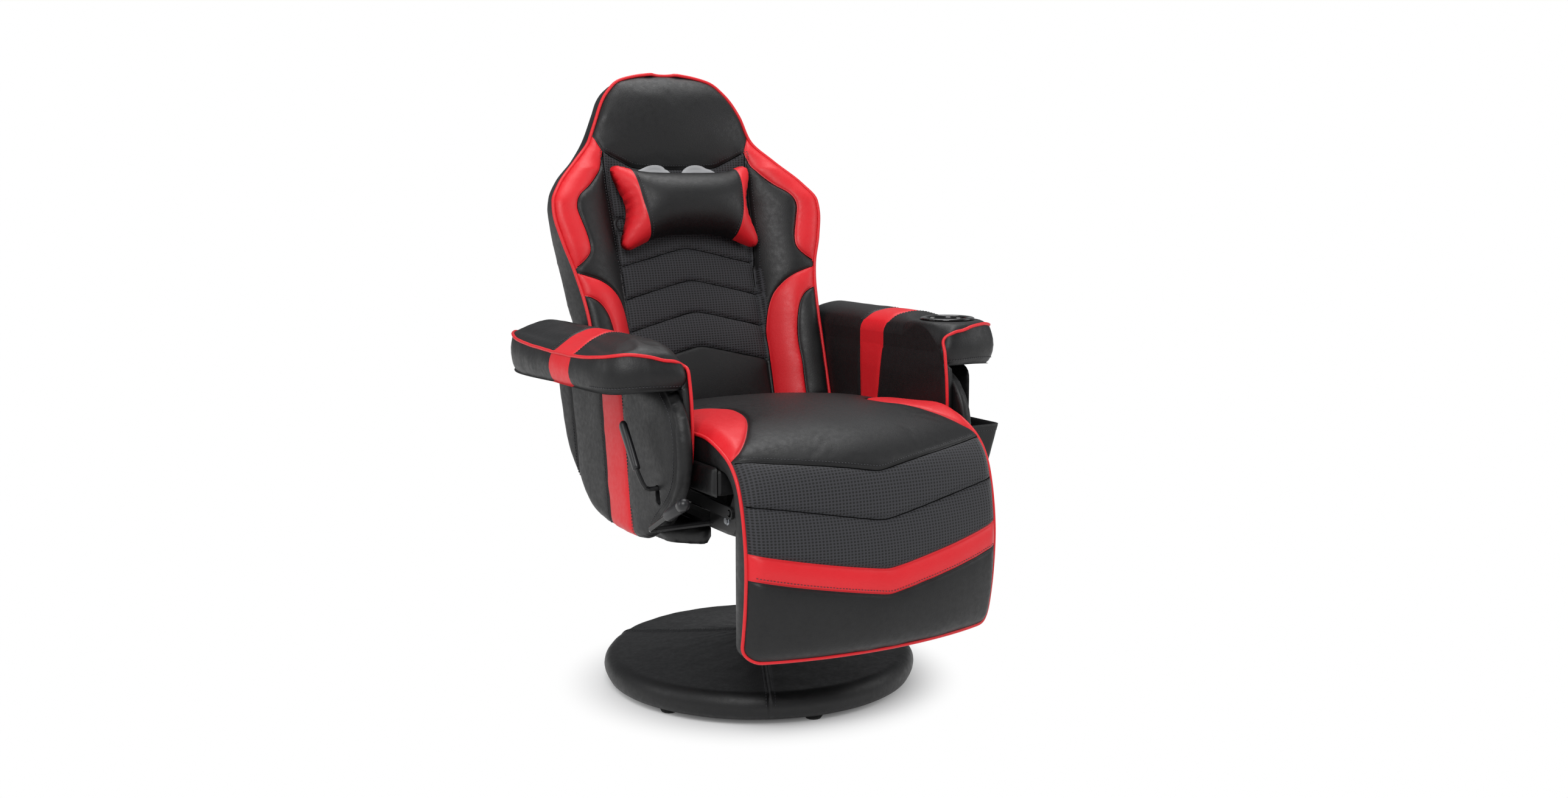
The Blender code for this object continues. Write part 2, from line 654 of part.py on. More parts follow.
def seat_section(u):
    """Outline of the seat pad in y and z: crowned top, nose over the knee and a hollow round the hinge."""
    tuck = side_tuck(u, 0.012)
    top = SEAT_EDGE_Z + SEAT_CROWN * (1 - u * u) - tuck
    nose = nose_radius(u) - tuck
    rear = SEAT_REAR - tuck
    low = top - SEAT_REAR_FALL
    points = [(rear, SEAT_PAD_BOTTOM), (rear, low - 0.018), (rear - 0.018, low - 0.004)]
    run = rear - 0.018 - KNEE_Y
    for t in (0.25, 0.5, 0.72, 0.88):
        y = rear - 0.018 - run * t
        points.append((y, along(((0, low), (0.55, top), (1, KNEE_Z + nose)), t)))
    seam = SEAT_SEAM_MIDDLE + (SEAT_SEAM_SIDE - SEAT_SEAM_MIDDLE) * abs(u)
    half = radians(7)
    first = pi / 2
    angles = [(first, 0), ((first + seam - half) / 2, 0), (seam - half, 0), (seam, SEAM_DEPTH),
              (seam + half, 0),
              ((seam + half + pi) / 2, 0), (pi, 0)]
    points += [(KNEE_Y + (nose - dip) * cos(a), KNEE_Z + (nose - dip) * sin(a)) for a, dip in angles]
    points += arc((KNEE_Y, KNEE_Z), NOSE_INNER, pi, pi / 2, 4)
    return points


def make_seat():
    """Wrapped seat box and the crowned seat pad that hooks over the knee."""
    low = (-SEAT_HALF_WIDTH, SEAT_BOX_FRONT, SEAT_BOX_BOTTOM)
    high = (SEAT_HALF_WIDTH, SEAT_REAR, SEAT_BOX_TOP)
    place(box("seat_box", low, high, 0.006), black_leather, swivel_axis)
    rings = [[(u * SEAT_HALF_WIDTH, y, z) for y, z in seat_section(u)] for u in SEAT_STATIONS]
    place(loft("seat_cushion", rings), black_leather, swivel_axis)


def footrest_section(u):
    """Outline of the footrest pad in y and z: lip over the nose, cup round the knee, sewn channels."""
    tuck = side_tuck(u, 0.010)
    cup = nose_radius(u) + KNEE_GAP
    lip_y = KNEE_Y - cup - FOOTREST_LIP + 0.5 * tuck
    dip = SEAM_DEPTH * (1 - u ** 8)
    belly = FOOTREST_BELLY * max(0.0, 1 - u * u)
    bottom = FOOTREST_BOTTOM + 2 * tuck
    drop = FOOTREST_SEAM_DROP * (1 - abs(u))
    swell = ((bottom, -0.014), (bottom + 0.02, 0.25 * belly), (0.30, belly), (KNEE_Z, 0.0))
    levels = [(KNEE_Z, 0)]
    for end in FOOTREST_SEAM_ENDS:
        seam = end - drop
        levels += [(seam + 0.007, 0), (seam, dip), (seam - 0.007, 0)]
    levels += [(bottom + 0.045, 0), (bottom + 0.016, 0), (bottom + 0.004, 0)]
    points = [(lip_y - along(swell, z) + deep, z) for z, deep in levels]
    back = FOOTREST_BACK - side_tuck(u, FOOTREST_BACK_TUCK)
    points += [(back - 0.012, bottom), (back, bottom + 0.012)]
    end_angle = pi + atan2(sqrt(cup ** 2 - (back - KNEE_Y) ** 2), KNEE_Y - back)
    points += arc((KNEE_Y, KNEE_Z), cup, end_angle, pi, 5)
    return points


def make_footrest():
    """Footrest board, its pad and the two hinge brackets on the knee axis."""
    rings = [[(u * FOOTREST_HALF_WIDTH, y, z) for y, z in footrest_section(u)] for u in SEAT_STATIONS]
    place(loft("footrest_cushion", rings), black_leather, knee_axis)
    board_front = FOOTREST_BACK + GAP
    board_back = board_front + BOARD_THICKNESS
    place(box("footrest_board", (-BOARD_HALF_WIDTH, board_front, BOARD_BOTTOM),
              (BOARD_HALF_WIDTH, board_back, BOARD_TOP), 0.003), plywood, knee_axis)
    foot = board_back + GAP
    head = 0.7 * EYE_RADIUS
    for side, name in ((1, "left"), (-1, "right")):
        outline = [(foot, BOARD_BOTTOM + 0.01), (foot + 0.02, BOARD_BOTTOM + 0.01),
                   (foot + 0.022, TOGGLE_PIN[1] - 0.03)]
        outline += arc(TOGGLE_PIN, 0.010, -0.4 * pi, 0.35 * pi, 5)
        outline += arc((KNEE_Y, KNEE_Z), head, 0.2 * pi, 1.05 * pi, 6)
        outline += [(KNEE_Y - 0.006, KNEE_Z - NOSE_INNER), (foot, BOARD_TOP)]
        low, high = sorted((side * BRACKET_INNER, side * BRACKET_OUTER))
        bracket = plate("footrest_bracket_" + name,
                        [outline, circle((KNEE_Y, KNEE_Z), HINGE_ROD_RADIUS + PIN_PLAY)], low, high)
        stub = rod("toggle_stub", (side * (BRACKET_INNER + 0.001), *TOGGLE_PIN),
                   (side * (LINK_OUTER + 0.0015), *TOGGLE_PIN), STUB_RADIUS, 12)
        boolean(bracket, stub, "UNION", knee_axis)
        place(bracket, black_steel, knee_axis)
    hinge_end = BRACKET_OUTER + 0.006
    hinge_rod = rod("footrest_hinge_rod", (-hinge_end, KNEE_Y, KNEE_Z), (hinge_end, KNEE_Y, KNEE_Z),
                    HINGE_ROD_RADIUS, 16)
    place(hinge_rod, chrome, swivel_axis)


def make_links():
    """Drive links from the crank of the back to the toggle of the footrest, one each side."""
    run = Vector((TOGGLE_PIN[0] - CRANK_PIN[0], TOGGLE_PIN[1] - CRANK_PIN[1] - LINK_LIFT))
    heading = atan2(run.y, run.x)
    free_eye = (TOGGLE_PIN[0], TOGGLE_PIN[1] - LINK_LIFT)
    outline = arc(CRANK_PIN, LINK_HALF_WIDTH, heading + pi / 2, heading + 1.5 * pi, 8)
    outline += arc(free_eye, LINK_HALF_WIDTH + 0.001, heading - pi / 2, heading + pi / 2, 8)
    holes = [circle(CRANK_PIN, STUB_RADIUS + PIN_PLAY, 12), circle(free_eye, STUB_RADIUS + LINK_PLAY, 12)]
    for side, name in ((1, "left"), (-1, "right")):
        low, high = sorted((side * LINK_INNER, side * LINK_OUTER))
        place(plate("drive_link_" + name, [outline] + holes, low, high), black_steel, crank_axis)


WIDE = SEAT_HALF_WIDTH
BACK_WIDTHS = ((0.0, WIDE + 0.0065), (0.262, WIDE + 0.0075), (0.30, WIDE + 0.018), (0.36, WIDE + 0.039),
               (0.426, WIDE + 0.054), (0.470, WIDE + 0.026), (0.520, 0.205), (0.569, 0.170), (0.610, 0.160),
               (0.655, 0.138), (0.680, 0.106), (0.694, 0.06), (BACK_TOP, 0.026))
BACK_EDGE = ((0.0, 0.010), (0.20, 0.018), (0.30, 0.011), (0.426, 0.029), (0.569, -0.024), (BACK_TOP, -0.034))
BACK_MIDDLE = ((0.0, BACK_PANEL_DEPTH), (0.30, BACK_PANEL_DEPTH), (0.50, BACK_PANEL_DEPTH - 0.006),
               (0.56, -0.012), (0.64, -0.008), (BACK_TOP, -0.036))


BACK_REAR_INSET = ((0.0, 0.006), (0.25, 0.010), (0.40, 0.034), (0.45, 0.034), (0.56, 0.014),
                   (BACK_TOP, 0.006))


def rear_half(s):
    """Half width of the rear of the back, which is narrower than its piped edge."""
    return along(BACK_WIDTHS, s) - along(BACK_REAR_INSET, s)


def chevron_fade(s):
    """The sewn rows of the back are bent into chevrons between the loins and the shoulders."""
    return along(((0.08, 0.0), (0.15, 1.0), (0.36, 1.0), (0.43, 0.0)), s)


def back_section(s, dip):
    """One ring of the back padding: bolster, sunken panel, bolster, and the flat rear."""
    bend = CHEVRON_DROP * chevron_fade(s)
    half = along(BACK_WIDTHS, s - bend)
    panel = min(BACK_PANEL_HALF, 0.7 * half)
    edge = along(BACK_EDGE, s - bend)
    middle = along(BACK_MIDDLE, s)
    head = along(((0.50, 0.0), (0.56, 1.0)), s)
    seam = 0.005 * (1 - head)
    puff = 0.016 * (1 - head)
    front = [(0.0, middle - dip), (0.5 * panel, middle - dip - 0.001), (panel - 0.004, middle - dip - seam),
             (panel + 0.3 * (half - panel), middle + 0.45 * (edge - middle) + puff),
             (panel + 0.72 * (half - panel), edge + 0.006 * (1 - head)), (half, edge)]
    rear = rear_half(s - bend)
    sides = [(0.35 * rear + 0.65 * half, edge - 0.4 * (edge - BACK_REAR)), (rear, BACK_REAR)]
    right = front + sides + [(0.55 * rear, BACK_REAR)]
    ring = [(-w, n) for w, n in right[:0:-1]] + right
    points = []
    for w, n in ring:
        rise = s - bend * min(1.0, abs(w) / BACK_PANEL_HALF)
        points.append((w, -n, rise))
    return points


def back_stations():
    """Heights of the rings, with three at each sewn chevron."""
    rows = [(BACK_BOTTOM, 0), (BACK_BOTTOM + 0.03, 0), (0.112, 0)]
    for top in CHEVRON_TOPS:
        rows += [(top - CHEVRON_HALF, 0), (top, SEAM_DEPTH), (top + CHEVRON_HALF, 0)]
    rows += [(s, 0) for s in (0.395, 0.426, 0.448, 0.470, 0.495, 0.520, 0.545, 0.569, 0.600, 0.630, 0.655,
                              0.672, 0.686, 0.695, BACK_TOP)]
    return rows


def oval_sleeve(name, side, grow, low, high, bore=None):
    """Slanted oval bar through the back, hollow where a bore is given."""
    outlines = [ellipse(HARNESS_LENGTH + grow, HARNESS_WIDTH + grow, HARNESS_SLANT, HARNESS_CENTRE)]
    if bore is not None:
        outlines.append(ellipse(HARNESS_LENGTH + bore, HARNESS_WIDTH + bore, HARNESS_SLANT, HARNESS_CENTRE))
    if side < 0:
        outlines = [mirrored(outline) for outline in outlines]
    return plate(name, outlines, low, high, XZ_PLANE)


def back_openings(piece):
    """Cut the two harness openings and the two strap grommets through a layer of the back."""
    for side in (1, -1):
        hole = oval_sleeve("harness_hole", side, 2 * GAP, -0.15, 0.05)
        boolean(piece, hole, "DIFFERENCE", back_axis, True)
        spot = (side * GROMMET_CENTRE[0], GROMMET_CENTRE[1])
        hole = plate("grommet_hole", [circle(spot, GROMMET_SLEEVE + 2 * GAP, 14)], -0.15, 0.05, XZ_PLANE)
        boolean(piece, hole, "DIFFERENCE", back_axis, True)


def rear_cover_grid():
    """Open surface of the rear cover: rows up the back, columns from one rim to the other."""
    rows = []
    heights = (BACK_BOTTOM + 0.004, 0.12, 0.20, 0.262, 0.30, 0.345, 0.382, 0.4225, 0.445, 0.468, 0.493,
               0.519, 0.545, 0.569, 0.61, 0.655, 0.680, 0.694)
    rim = BACK_REAR - GAP
    for s in heights:
        half = rear_half(s) - 0.001
        depths = ((0.0, REAR_COVER_DEPTH), (0.53, REAR_COVER_DEPTH), (0.66, 0.014), (BACK_TOP, 0.007))
        depth = along(depths, s)
        round_in = min(0.035, 0.3 * half)
        right = [(0.0, depth), (0.5 * half, depth), (half - round_in, 0.985 * depth),
                 (half - 0.3 * round_in, 0.84 * depth), (half, 0.45 * depth), (half, 0.0)]
        line = [(-w, d) for w, d in right[:0:-1]] + right
        rows.append([(w, -(rim - d), s) for w, d in line])
    return rows


def make_back():
    """Reclining back: tube frame, padding with bolsters and sewn chevrons, rear cover, motors and trims."""
    padding = loft("back_cushion", [back_section(s, dip) for s, dip in back_stations()])
    back_openings(padding)
    place(padding, black_leather, back_axis, local=True)

    rows = rear_cover_grid()
    shape = bmesh.new()
    grid = [[shape.verts.new(point) for point in row] for row in rows]
    for row, following in zip(grid, grid[1:]):
        for i in range(len(row) - 1):
            shape.faces.new((row[i], row[i + 1], following[i + 1], following[i]))
    cover = mesh_piece("back_cover", shape, 50)
    if cover.data.polygons[len(cover.data.polygons) // 2].normal.y < 0:
        cover.data.flip_normals()
    wall = cover.modifiers.new("wall", "SOLIDIFY")
    wall.thickness = REAR_COVER_WALL
    wall.offset = -1
    back_openings(cover)
    place(cover, black_leather, back_axis, local=True)

    frame_y = -(BACK_REAR - GAP - FRAME_TUBE_RADIUS)
    half_frame = [(FRAME_HALF_WIDTH, -0.008), (FRAME_HALF_WIDTH, 0.12), (FRAME_HALF_WIDTH, 0.26),
                  (FRAME_HALF_WIDTH, 0.40), (0.165, 0.475), (0.120, 0.522), (0.05, 0.534)]
    knots = [(w, frame_y, s) for w, s in half_frame] + [(-w, frame_y, s) for w, s in half_frame[::-1]]
    route = smooth_route(knots, 2)
    place(tube("back_frame", route, FRAME_TUBE_RADIUS, 2), black_steel, back_axis, local=True)

    for name, s in MOTOR_PLACES:
        front = -(BACK_REAR - GAP)
        motor = rod("massage_motor_" + name, (0, front, s), (0, front + MOTOR_THICKNESS, s),
                    MOTOR_RADIUS, 24)
        round_edges(motor, 0.003, 1)
        place(motor, black_plastic, back_axis, local=True)

    sleeve_rear = BACK_REAR - GAP - REAR_COVER_DEPTH - 0.002
    for side, name in ((1, "left"), (-1, "right")):
        trim_front = along(BACK_MIDDLE, HARNESS_CENTRE[1]) + 0.002
        trim = oval_sleeve("harness_trim_" + name, side, 0, sleeve_rear, trim_front, -2 * HARNESS_WALL)
        place(trim, grey_plastic, back_axis, local=True)
        front = along(BACK_MIDDLE, GROMMET_CENTRE[1]) + GAP
        spot = Matrix.Translation((side * GROMMET_CENTRE[0], -front, GROMMET_CENTRE[1]))
        turn = spot @ Matrix.Rotation(pi / 2, 4, "X")
        sleeve = front - sleeve_rear
        ring = [(GROMMET_BORE, GROMMET_LIP), (GROMMET_FLANGE - 0.001, GROMMET_LIP), (GROMMET_FLANGE, 0.001),
                (GROMMET_FLANGE, 0), (GROMMET_SLEEVE, 0), (GROMMET_SLEEVE, -sleeve), (GROMMET_BORE, -sleeve)]
        grommet = turned("strap_grommet_" + name, ring, 14, closed=True, turn=turn)
        place(grommet, black_plastic, back_axis, True)


def make_pillow():
    """Dog-bone head pillow, flat where it rests, and the elastic cord that holds it through the grommets."""
    rest = along(BACK_MIDDLE, GROMMET_CENTRE[1]) + GROMMET_LIP + 2 * GAP
    rings = []
    for u in (-1, -0.97, -0.88, -0.72, -0.45, 0, 0.45, 0.72, 0.88, 0.97, 1):
        swell = 1 - 0.55 * max(0.0, (abs(u) - 0.72) / 0.28) ** 2
        tall = along(((0, PILLOW_HALF_MIDDLE), (0.75, PILLOW_HALF_END - 0.004), (0.9, PILLOW_HALF_END),
                      (1, 0.8 * PILLOW_HALF_END)), abs(u))
        ring = []
        floor = rest + 1.2 * max(0.0, abs(u) * PILLOW_HALF_WIDTH - BACK_PANEL_HALF + 0.006)
        for i in range(16):
            a = 2 * pi * (i + 0.5) / 16
            n = max(floor, rest + PILLOW_THICKNESS * swell * (0.42 + 0.58 * sin(a)))
            ring.append((u * PILLOW_HALF_WIDTH, -n, PILLOW_CENTRE + tall * cos(a)))
        rings.append(ring)
    place(loft("head_pillow", rings, 60), red_leather, back_axis, local=True)

    rear = -(BACK_REAR - GAP - REAR_COVER_DEPTH - 0.002 - STRAP_RADIUS - GAP)
    front = -(rest - GAP - STRAP_RADIUS)
    x, s = GROMMET_CENTRE
    hold = front + 0.004
    half = [(x, hold, s), (x, hold + 0.012, s), (x, 0.6 * rear, s), (x - 0.001, rear - 0.006, s),
            (x - 0.010, rear + 0.0005, s), (0.6 * x, rear + 0.001, s), (0.25 * x, rear + 0.001, s)]
    knots = half + [(-w, y, z) for w, y, z in half[::-1]]
    strap = tube("pillow_strap", smooth_route(knots, 2), STRAP_RADIUS, 1)
    place(strap, black_leather, back_axis, local=True)


def make_recline_brackets():
    """Steel brackets of the back, each with its eye on the recline axis and a crank for the drive link."""
    up = Vector((sin(BACK_TILT), cos(BACK_TILT)))
    rearward = Vector((cos(BACK_TILT), -sin(BACK_TILT)))
    pivot = Vector((RECLINE_Y, RECLINE_Z))
    tube_n = -(BACK_REAR - GAP - FRAME_TUBE_RADIUS)

    def spot(s, rear):
        return tuple(pivot + up * s + rearward * rear)

    lean = atan2(up.y, up.x)
    head = 0.72 * EYE_RADIUS
    outline = arc(tuple(pivot), head, lean - 0.1 * pi, lean + 0.62 * pi, 5)
    outline += arc(CRANK_PIN, 0.009, 0.95 * pi, 1.95 * pi, 6)
    outline += [spot(-0.022, tube_n), spot(-0.010, tube_n + 0.009), spot(0.15, tube_n + 0.008),
                spot(0.155, tube_n), spot(0.15, tube_n - 0.008), spot(0.03, tube_n - 0.009)]
    for side, name in ((1, "left"), (-1, "right")):
        low, high = sorted((side * BRACKET_INNER, side * BRACKET_OUTER))
        bracket = plate("recline_bracket_" + name,
                        [outline, circle(tuple(pivot), PIVOT_RADIUS + PIN_PLAY)], low, high)
        stub = rod("crank_stub", (side * (BRACKET_INNER + 0.001), *CRANK_PIN),
                   (side * (LINK_OUTER + 0.0015), *CRANK_PIN), STUB_RADIUS, 12)
        boolean(bracket, stub, "UNION", back_axis)
        place(bracket, black_steel, back_axis)
        start = side * (EAR_INNER - 0.003)
        end = side * (BRACKET_OUTER + GAP)
        pin = rod("recline_pin_" + name, (start, *pivot), (end, *pivot), PIVOT_RADIUS, 16)
        cap = rod("pin_cap", (end - side * 0.0001, *pivot), (end + side * 0.004, *pivot),
                  1.7 * PIVOT_RADIUS, 16)
        boolean(pin, cap, "UNION", swivel_axis)
        place(pin, chrome, swivel_axis)


def arm_section(y_along, shrink, side):
    """One ring of an arm pad in x and z, sheared so that the front runs back outwards."""
    t = (y_along - ARM_FRONT) / (ARM_REAR - ARM_FRONT)
    outer = along(((0, ARM_OUTER - 0.008), (0.3, ARM_OUTER), (0.8, ARM_OUTER - 0.004),
                   (1, ARM_OUTER - 0.018)), t)
    width = outer - ARM_INNER
    crown = along(((0, PAD_EDGE_Z + 0.012), (0.1, PAD_CROWN_Z - 0.003), (0.3, PAD_CROWN_Z),
                   (0.8, PAD_CROWN_Z - 0.002), (1, PAD_EDGE_Z + 0.008)), t)
    slant = ARM_SLANT * along(((0, 1), (0.45, 0), (0.75, 0), (1, -0.5)), t)
    ring = [(0.10, PAD_BOTTOM), (0.54, PAD_BOTTOM), (0.86, PAD_BOTTOM), (0.97, PAD_BOTTOM + 0.014),
            (1.0, PAD_BOTTOM + 0.035), (0.975, PAD_EDGE_Z - 0.004), (0.88, PAD_EDGE_Z + 0.011),
            (0.62, crown - 0.001), (0.40, crown), (0.18, PAD_EDGE_Z + 0.014), (0.05, PAD_EDGE_Z),
            (0.0, PAD_EDGE_Z - 0.025), (0.0, PAD_BOTTOM + 0.012)]
    fall = along(((0.45, 0.0), (1, PAD_REAR_FALL)), t)
    middle_z = (PAD_BOTTOM + crown) / 2
    points = []
    for across, z in ring:
        x = ARM_INNER + width * (0.5 + (across - 0.5) * shrink)
        z = middle_z + (z - middle_z) * shrink
        z -= PAD_DROOP * max(0.0, (across - 0.55) / 0.45) ** 2
        z -= fall * max(0.0, (z - PAD_BOTTOM) / (PAD_CROWN_Z - PAD_BOTTOM))
        points.append((side * x, y_along + slant * (x - ARM_INNER), z))
    return points


def side_ring(inset, x):
    """Outline of the arm's padded side, drawn in towards its middle."""
    knots = [(0, y, z) for y, z in SIDE_OUTLINE]
    points = []
    for knot, after in zip(knots, knots[1:] + knots[:1]):
        points += [Vector(knot), (Vector(knot) + Vector(after)) / 2]
    middle = sum(points, Vector()) / len(points)
    reach = max((p - middle).length for p in points)
    return [(x, *(middle + (p - middle) * (1 - inset / reach)).yz) for p in points]


def make_arm(side, name):
    """One arm: wrapped board with an inward foot, padded outer side and the padded rest."""
    wall_low, wall_high = sorted((side * ARM_INNER, side * (ARM_INNER + ARM_WALL)))
    top_z = max(z for y, z in SIDE_OUTLINE)
    outline = [(y, top_z if z > top_z - 0.01 else z) for x, y, z in side_ring(0.006, 0)]
    wall = plate("arm_wall_" + name, [outline], wall_low, wall_high)
    foot_low, foot_high = sorted((side * ARM_FOOT_INNER, side * (ARM_INNER + ARM_WALL / 2)))
    foot_top = RAIL_UNDER - GAP
    foot = box("arm_foot", (foot_low, ARM_FOOT_FRONT, foot_top - ARM_FOOT_DEPTH),
               (foot_high, ARM_FOOT_REAR, foot_top))
    boolean(wall, foot, "UNION", swivel_axis)

    layers = ((0.006, SIDE_INNER), (0.0, SIDE_INNER + 0.25 * SIDE_PAD), (0.0, SIDE_INNER + 0.6 * SIDE_PAD),
              (0.010, SIDE_INNER + 0.88 * SIDE_PAD), (0.035, SIDE_OUTER))
    rings = [side_ring(inset, side * x) for inset, x in layers]
    panel = loft("arm_side_panel_" + name, rings)
    stations = [(ARM_FRONT, 0.90), (ARM_FRONT + 0.006, 0.97), (ARM_FRONT + 0.022, 1.0)]
    stations += [(ARM_FRONT + (ARM_REAR - ARM_FRONT) * t, 1.0) for t in (0.2, 0.4, 0.6, 0.8)]
    stations += [(ARM_REAR - 0.02, 1.0), (ARM_REAR - 0.006, 0.96), (ARM_REAR, 0.88)]
    pad = loft("arm_pad_" + name, [arm_section(y, shrink, side) for y, shrink in stations])
    if side > 0:
        hole = rod("cup_hole", (CUP_X, CUP_Y, CUP_FLOOR - GAP), (CUP_X, CUP_Y, PAD_CROWN_Z + 0.05),
                   CUP_RADIUS + 2 * GAP, 28)
        boolean(pad, hole, "DIFFERENCE", swivel_axis)
        flat = rod("cup_flat", (CUP_X, CUP_Y, CUP_SEAT), (CUP_X, CUP_Y, PAD_CROWN_Z + 0.05),
                   CUP_RADIUS + CUP_RIM + 2 * GAP, 28)
        boolean(pad, flat, "DIFFERENCE", swivel_axis)
    else:
        slot_y = RECLINE_LEVER_Y - RECLINE_LEVER_REACH
        slot = box("lever_slot", (-SIDE_OUTER - 0.05, slot_y - LEVER_ROD_RADIUS - 2 * LEVER_SLOT_PLAY,
                                  RECLINE_LEVER_Z - LEVER_ROD_RADIUS - LEVER_SLOT_DROP - LEVER_SLOT_PLAY),
                   (-ARM_INNER + 0.05, slot_y + LEVER_ROD_RADIUS + 2 * LEVER_SLOT_PLAY,
                    RECLINE_LEVER_Z + LEVER_ROD_RADIUS + LEVER_SLOT_PLAY))
        boolean(wall, slot, "DIFFERENCE", swivel_axis)
        panel_slot = slot.copy()
        panel_slot.modifiers.clear()
        boolean(panel, panel_slot, "DIFFERENCE", swivel_axis)
        bore = rod("lever_pivot_bore", (-SIDE_INNER - 0.002, RECLINE_LEVER_Y, RECLINE_LEVER_Z),
                   (-ARM_INNER + 0.002, RECLINE_LEVER_Y, RECLINE_LEVER_Z), LEVER_ROD_RADIUS + PIN_PLAY, 12)
        boolean(wall, bore, "DIFFERENCE", swivel_axis)
    place(wall, black_leather, swivel_axis)
    place(panel, black_leather, swivel_axis)
    place(pad, black_leather, swivel_axis)


def make_cup_holder():
    """Pressed cup with a rolled rim, dropped into the left arm."""
    rim_z = CUP_SEAT + GAP
    outer = CUP_RADIUS
    bore = outer - CUP_WALL
    profile = [(0, CUP_FLOOR + CUP_WALL), (bore, CUP_FLOOR + CUP_WALL), (bore, rim_z + 0.002),
               (outer + 0.5 * CUP_RIM, rim_z + 0.0045), (outer + CUP_RIM, rim_z + 0.002),
               (outer + CUP_RIM, rim_z), (outer, rim_z), (outer, CUP_FLOOR), (0, CUP_FLOOR)]
    spot = Matrix.Translation((CUP_X, CUP_Y, 0))
    cup = turned("cup_holder", profile, 28, turn=spot)
    place(cup, black_plastic, swivel_axis)


def make_pouch():
    """Open pouch that hangs from a flap on the outer side of the left arm."""
    back = POUCH_BACK
    wall = POUCH_WALL
    low_x = back + POUCH_DEPTH_BOTTOM
    top_x = back + POUCH_DEPTH_TOP
    section = [(back, POUCH_BOTTOM), (low_x, POUCH_BOTTOM), (top_x, POUCH_TOP), (back + wall, POUCH_TOP),
               (back + wall, POUCH_FLAP_TOP), (back, POUCH_FLAP_TOP)]
    pouch = plate("side_pouch", [section], -POUCH_REAR, -POUCH_FRONT, XZ_PLANE)
    inner = back + wall + 0.0005
    floor = POUCH_BOTTOM + wall
    slope = (top_x - low_x) / (POUCH_TOP - POUCH_BOTTOM)
    over = POUCH_TOP + 0.02
    hollow = [(inner, floor), (low_x + slope * wall - wall, floor),
              (low_x + slope * (over - POUCH_BOTTOM) - wall, over), (inner, over)]
    hollow_piece = plate("pouch_hollow", [hollow], wall - POUCH_REAR, -POUCH_FRONT - wall, XZ_PLANE)
    boolean(pouch, hollow_piece, "DIFFERENCE", swivel_axis)
    place(pouch, black_leather, swivel_axis)


def make_recline_lever():
    """Bent release rod: its pivot in the arm board, its run behind the board, and the paddle outside."""
    radius = LEVER_ROD_RADIUS
    inside_x = -(ARM_INNER - radius - 0.001)
    y, z = RECLINE_LEVER_Y, RECLINE_LEVER_Z
    slot_y = y - RECLINE_LEVER_REACH
    outside_x = -(SIDE_OUTER + LEVER_STANDOFF)
    bend = 0.010
    tight = 0.0045
    lean = PADDLE_LEAN
    heading = Vector((0, sin(lean), cos(lean)))
    sideways = Vector((0, cos(lean), -sin(lean)))
    neck = Vector((outside_x - 0.003, slot_y + 0.014, z + 0.025))
    foot = neck + heading * 0.006
    route = [(-(ARM_INNER + ARM_WALL - 0.002), y, z), (inside_x - tight, y, z),
             (inside_x - 0.3 * tight, y - 0.3 * tight, z), (inside_x, y - tight, z),
             (inside_x, slot_y + tight, z), (inside_x - 0.3 * tight, slot_y + 0.3 * tight, z),
             (inside_x - tight, slot_y, z), (outside_x + bend, slot_y, z),
             (outside_x + 0.3 * bend, slot_y - 0.001, z + 0.3 * bend), (outside_x, slot_y + 0.004, z + bend),
             tuple(neck), tuple(foot + heading * PADDLE_GRIP)]
    place(tube("recline_lever_rod", route, radius, 2), black_steel, recline_lever_axis)
    small = 0.75 * PADDLE_WIDTH / 2
    large = PADDLE_WIDTH / 2
    outline = []
    for reach, across in (arc((PADDLE_LENGTH - large, 0), large, -pi / 2, pi / 2, 8)
                          + arc((small, 0), small, pi / 2, 1.5 * pi, 8)):
        point = foot + heading * reach + sideways * across
        outline.append((point.y, point.z))
    half = PADDLE_THICKNESS / 2
    paddle = plate("recline_lever_grip", [outline], neck.x - half, neck.x + half)
    round_edges(paddle, 0.0025, 1)
    socket = rod("paddle_socket", foot - heading * 0.004, foot + heading * (PADDLE_GRIP + GAP),
                 radius + GAP, 12)
    boolean(paddle, socket, "DIFFERENCE", recline_lever_axis)
    place(paddle, black_plastic, recline_lever_axis)


def make_height_lever():
    """Shaft across the chassis with a bent arm outside the right arm, and its domed grip."""
    radius = HEIGHT_LEVER_RADIUS
    y, z = HEIGHT_LEVER_Y, HEIGHT_LEVER_Z
    outer_x = -(SIDE_OUTER + HEIGHT_LEVER_STANDOFF)
    heading = Vector((0, -cos(HEIGHT_LEVER_RISE), sin(HEIGHT_LEVER_RISE)))
    corner = Vector((outer_x, y, z))
    bend = 0.012
    arm_end = corner + heading * HEIGHT_LEVER_LENGTH
    route = [(-HEIGHT_LEVER_INNER, y, z), (-RAIL_X, y, z), (outer_x + bend, y, z),
             tuple(corner + Vector((0.3 * bend, 0, 0)) + heading * 0.3 * bend),
             tuple(corner + heading * bend), tuple(arm_end)]
    place(tube("height_lever_arm", route, radius, 2), black_steel, height_lever_axis)
    r = HEIGHT_GRIP_RADIUS
    length = HEIGHT_GRIP_LENGTH
    dome = [(r * sin(a), length - r + r * cos(a)) for a in (0, pi / 8, pi / 4, 3 * pi / 8, pi / 2)]
    profile = dome + [(0.92 * r, 0.5 * length), (r, 0.006), (0.8 * r, 0), (0, 0)]
    start = arm_end + heading * GAP
    turn = Matrix.Translation(start) @ heading.to_track_quat("Z", "Y").to_matrix().to_4x4()
    place(turned("height_lever_grip", profile, 16, turn=turn), black_plastic, height_lever_axis)


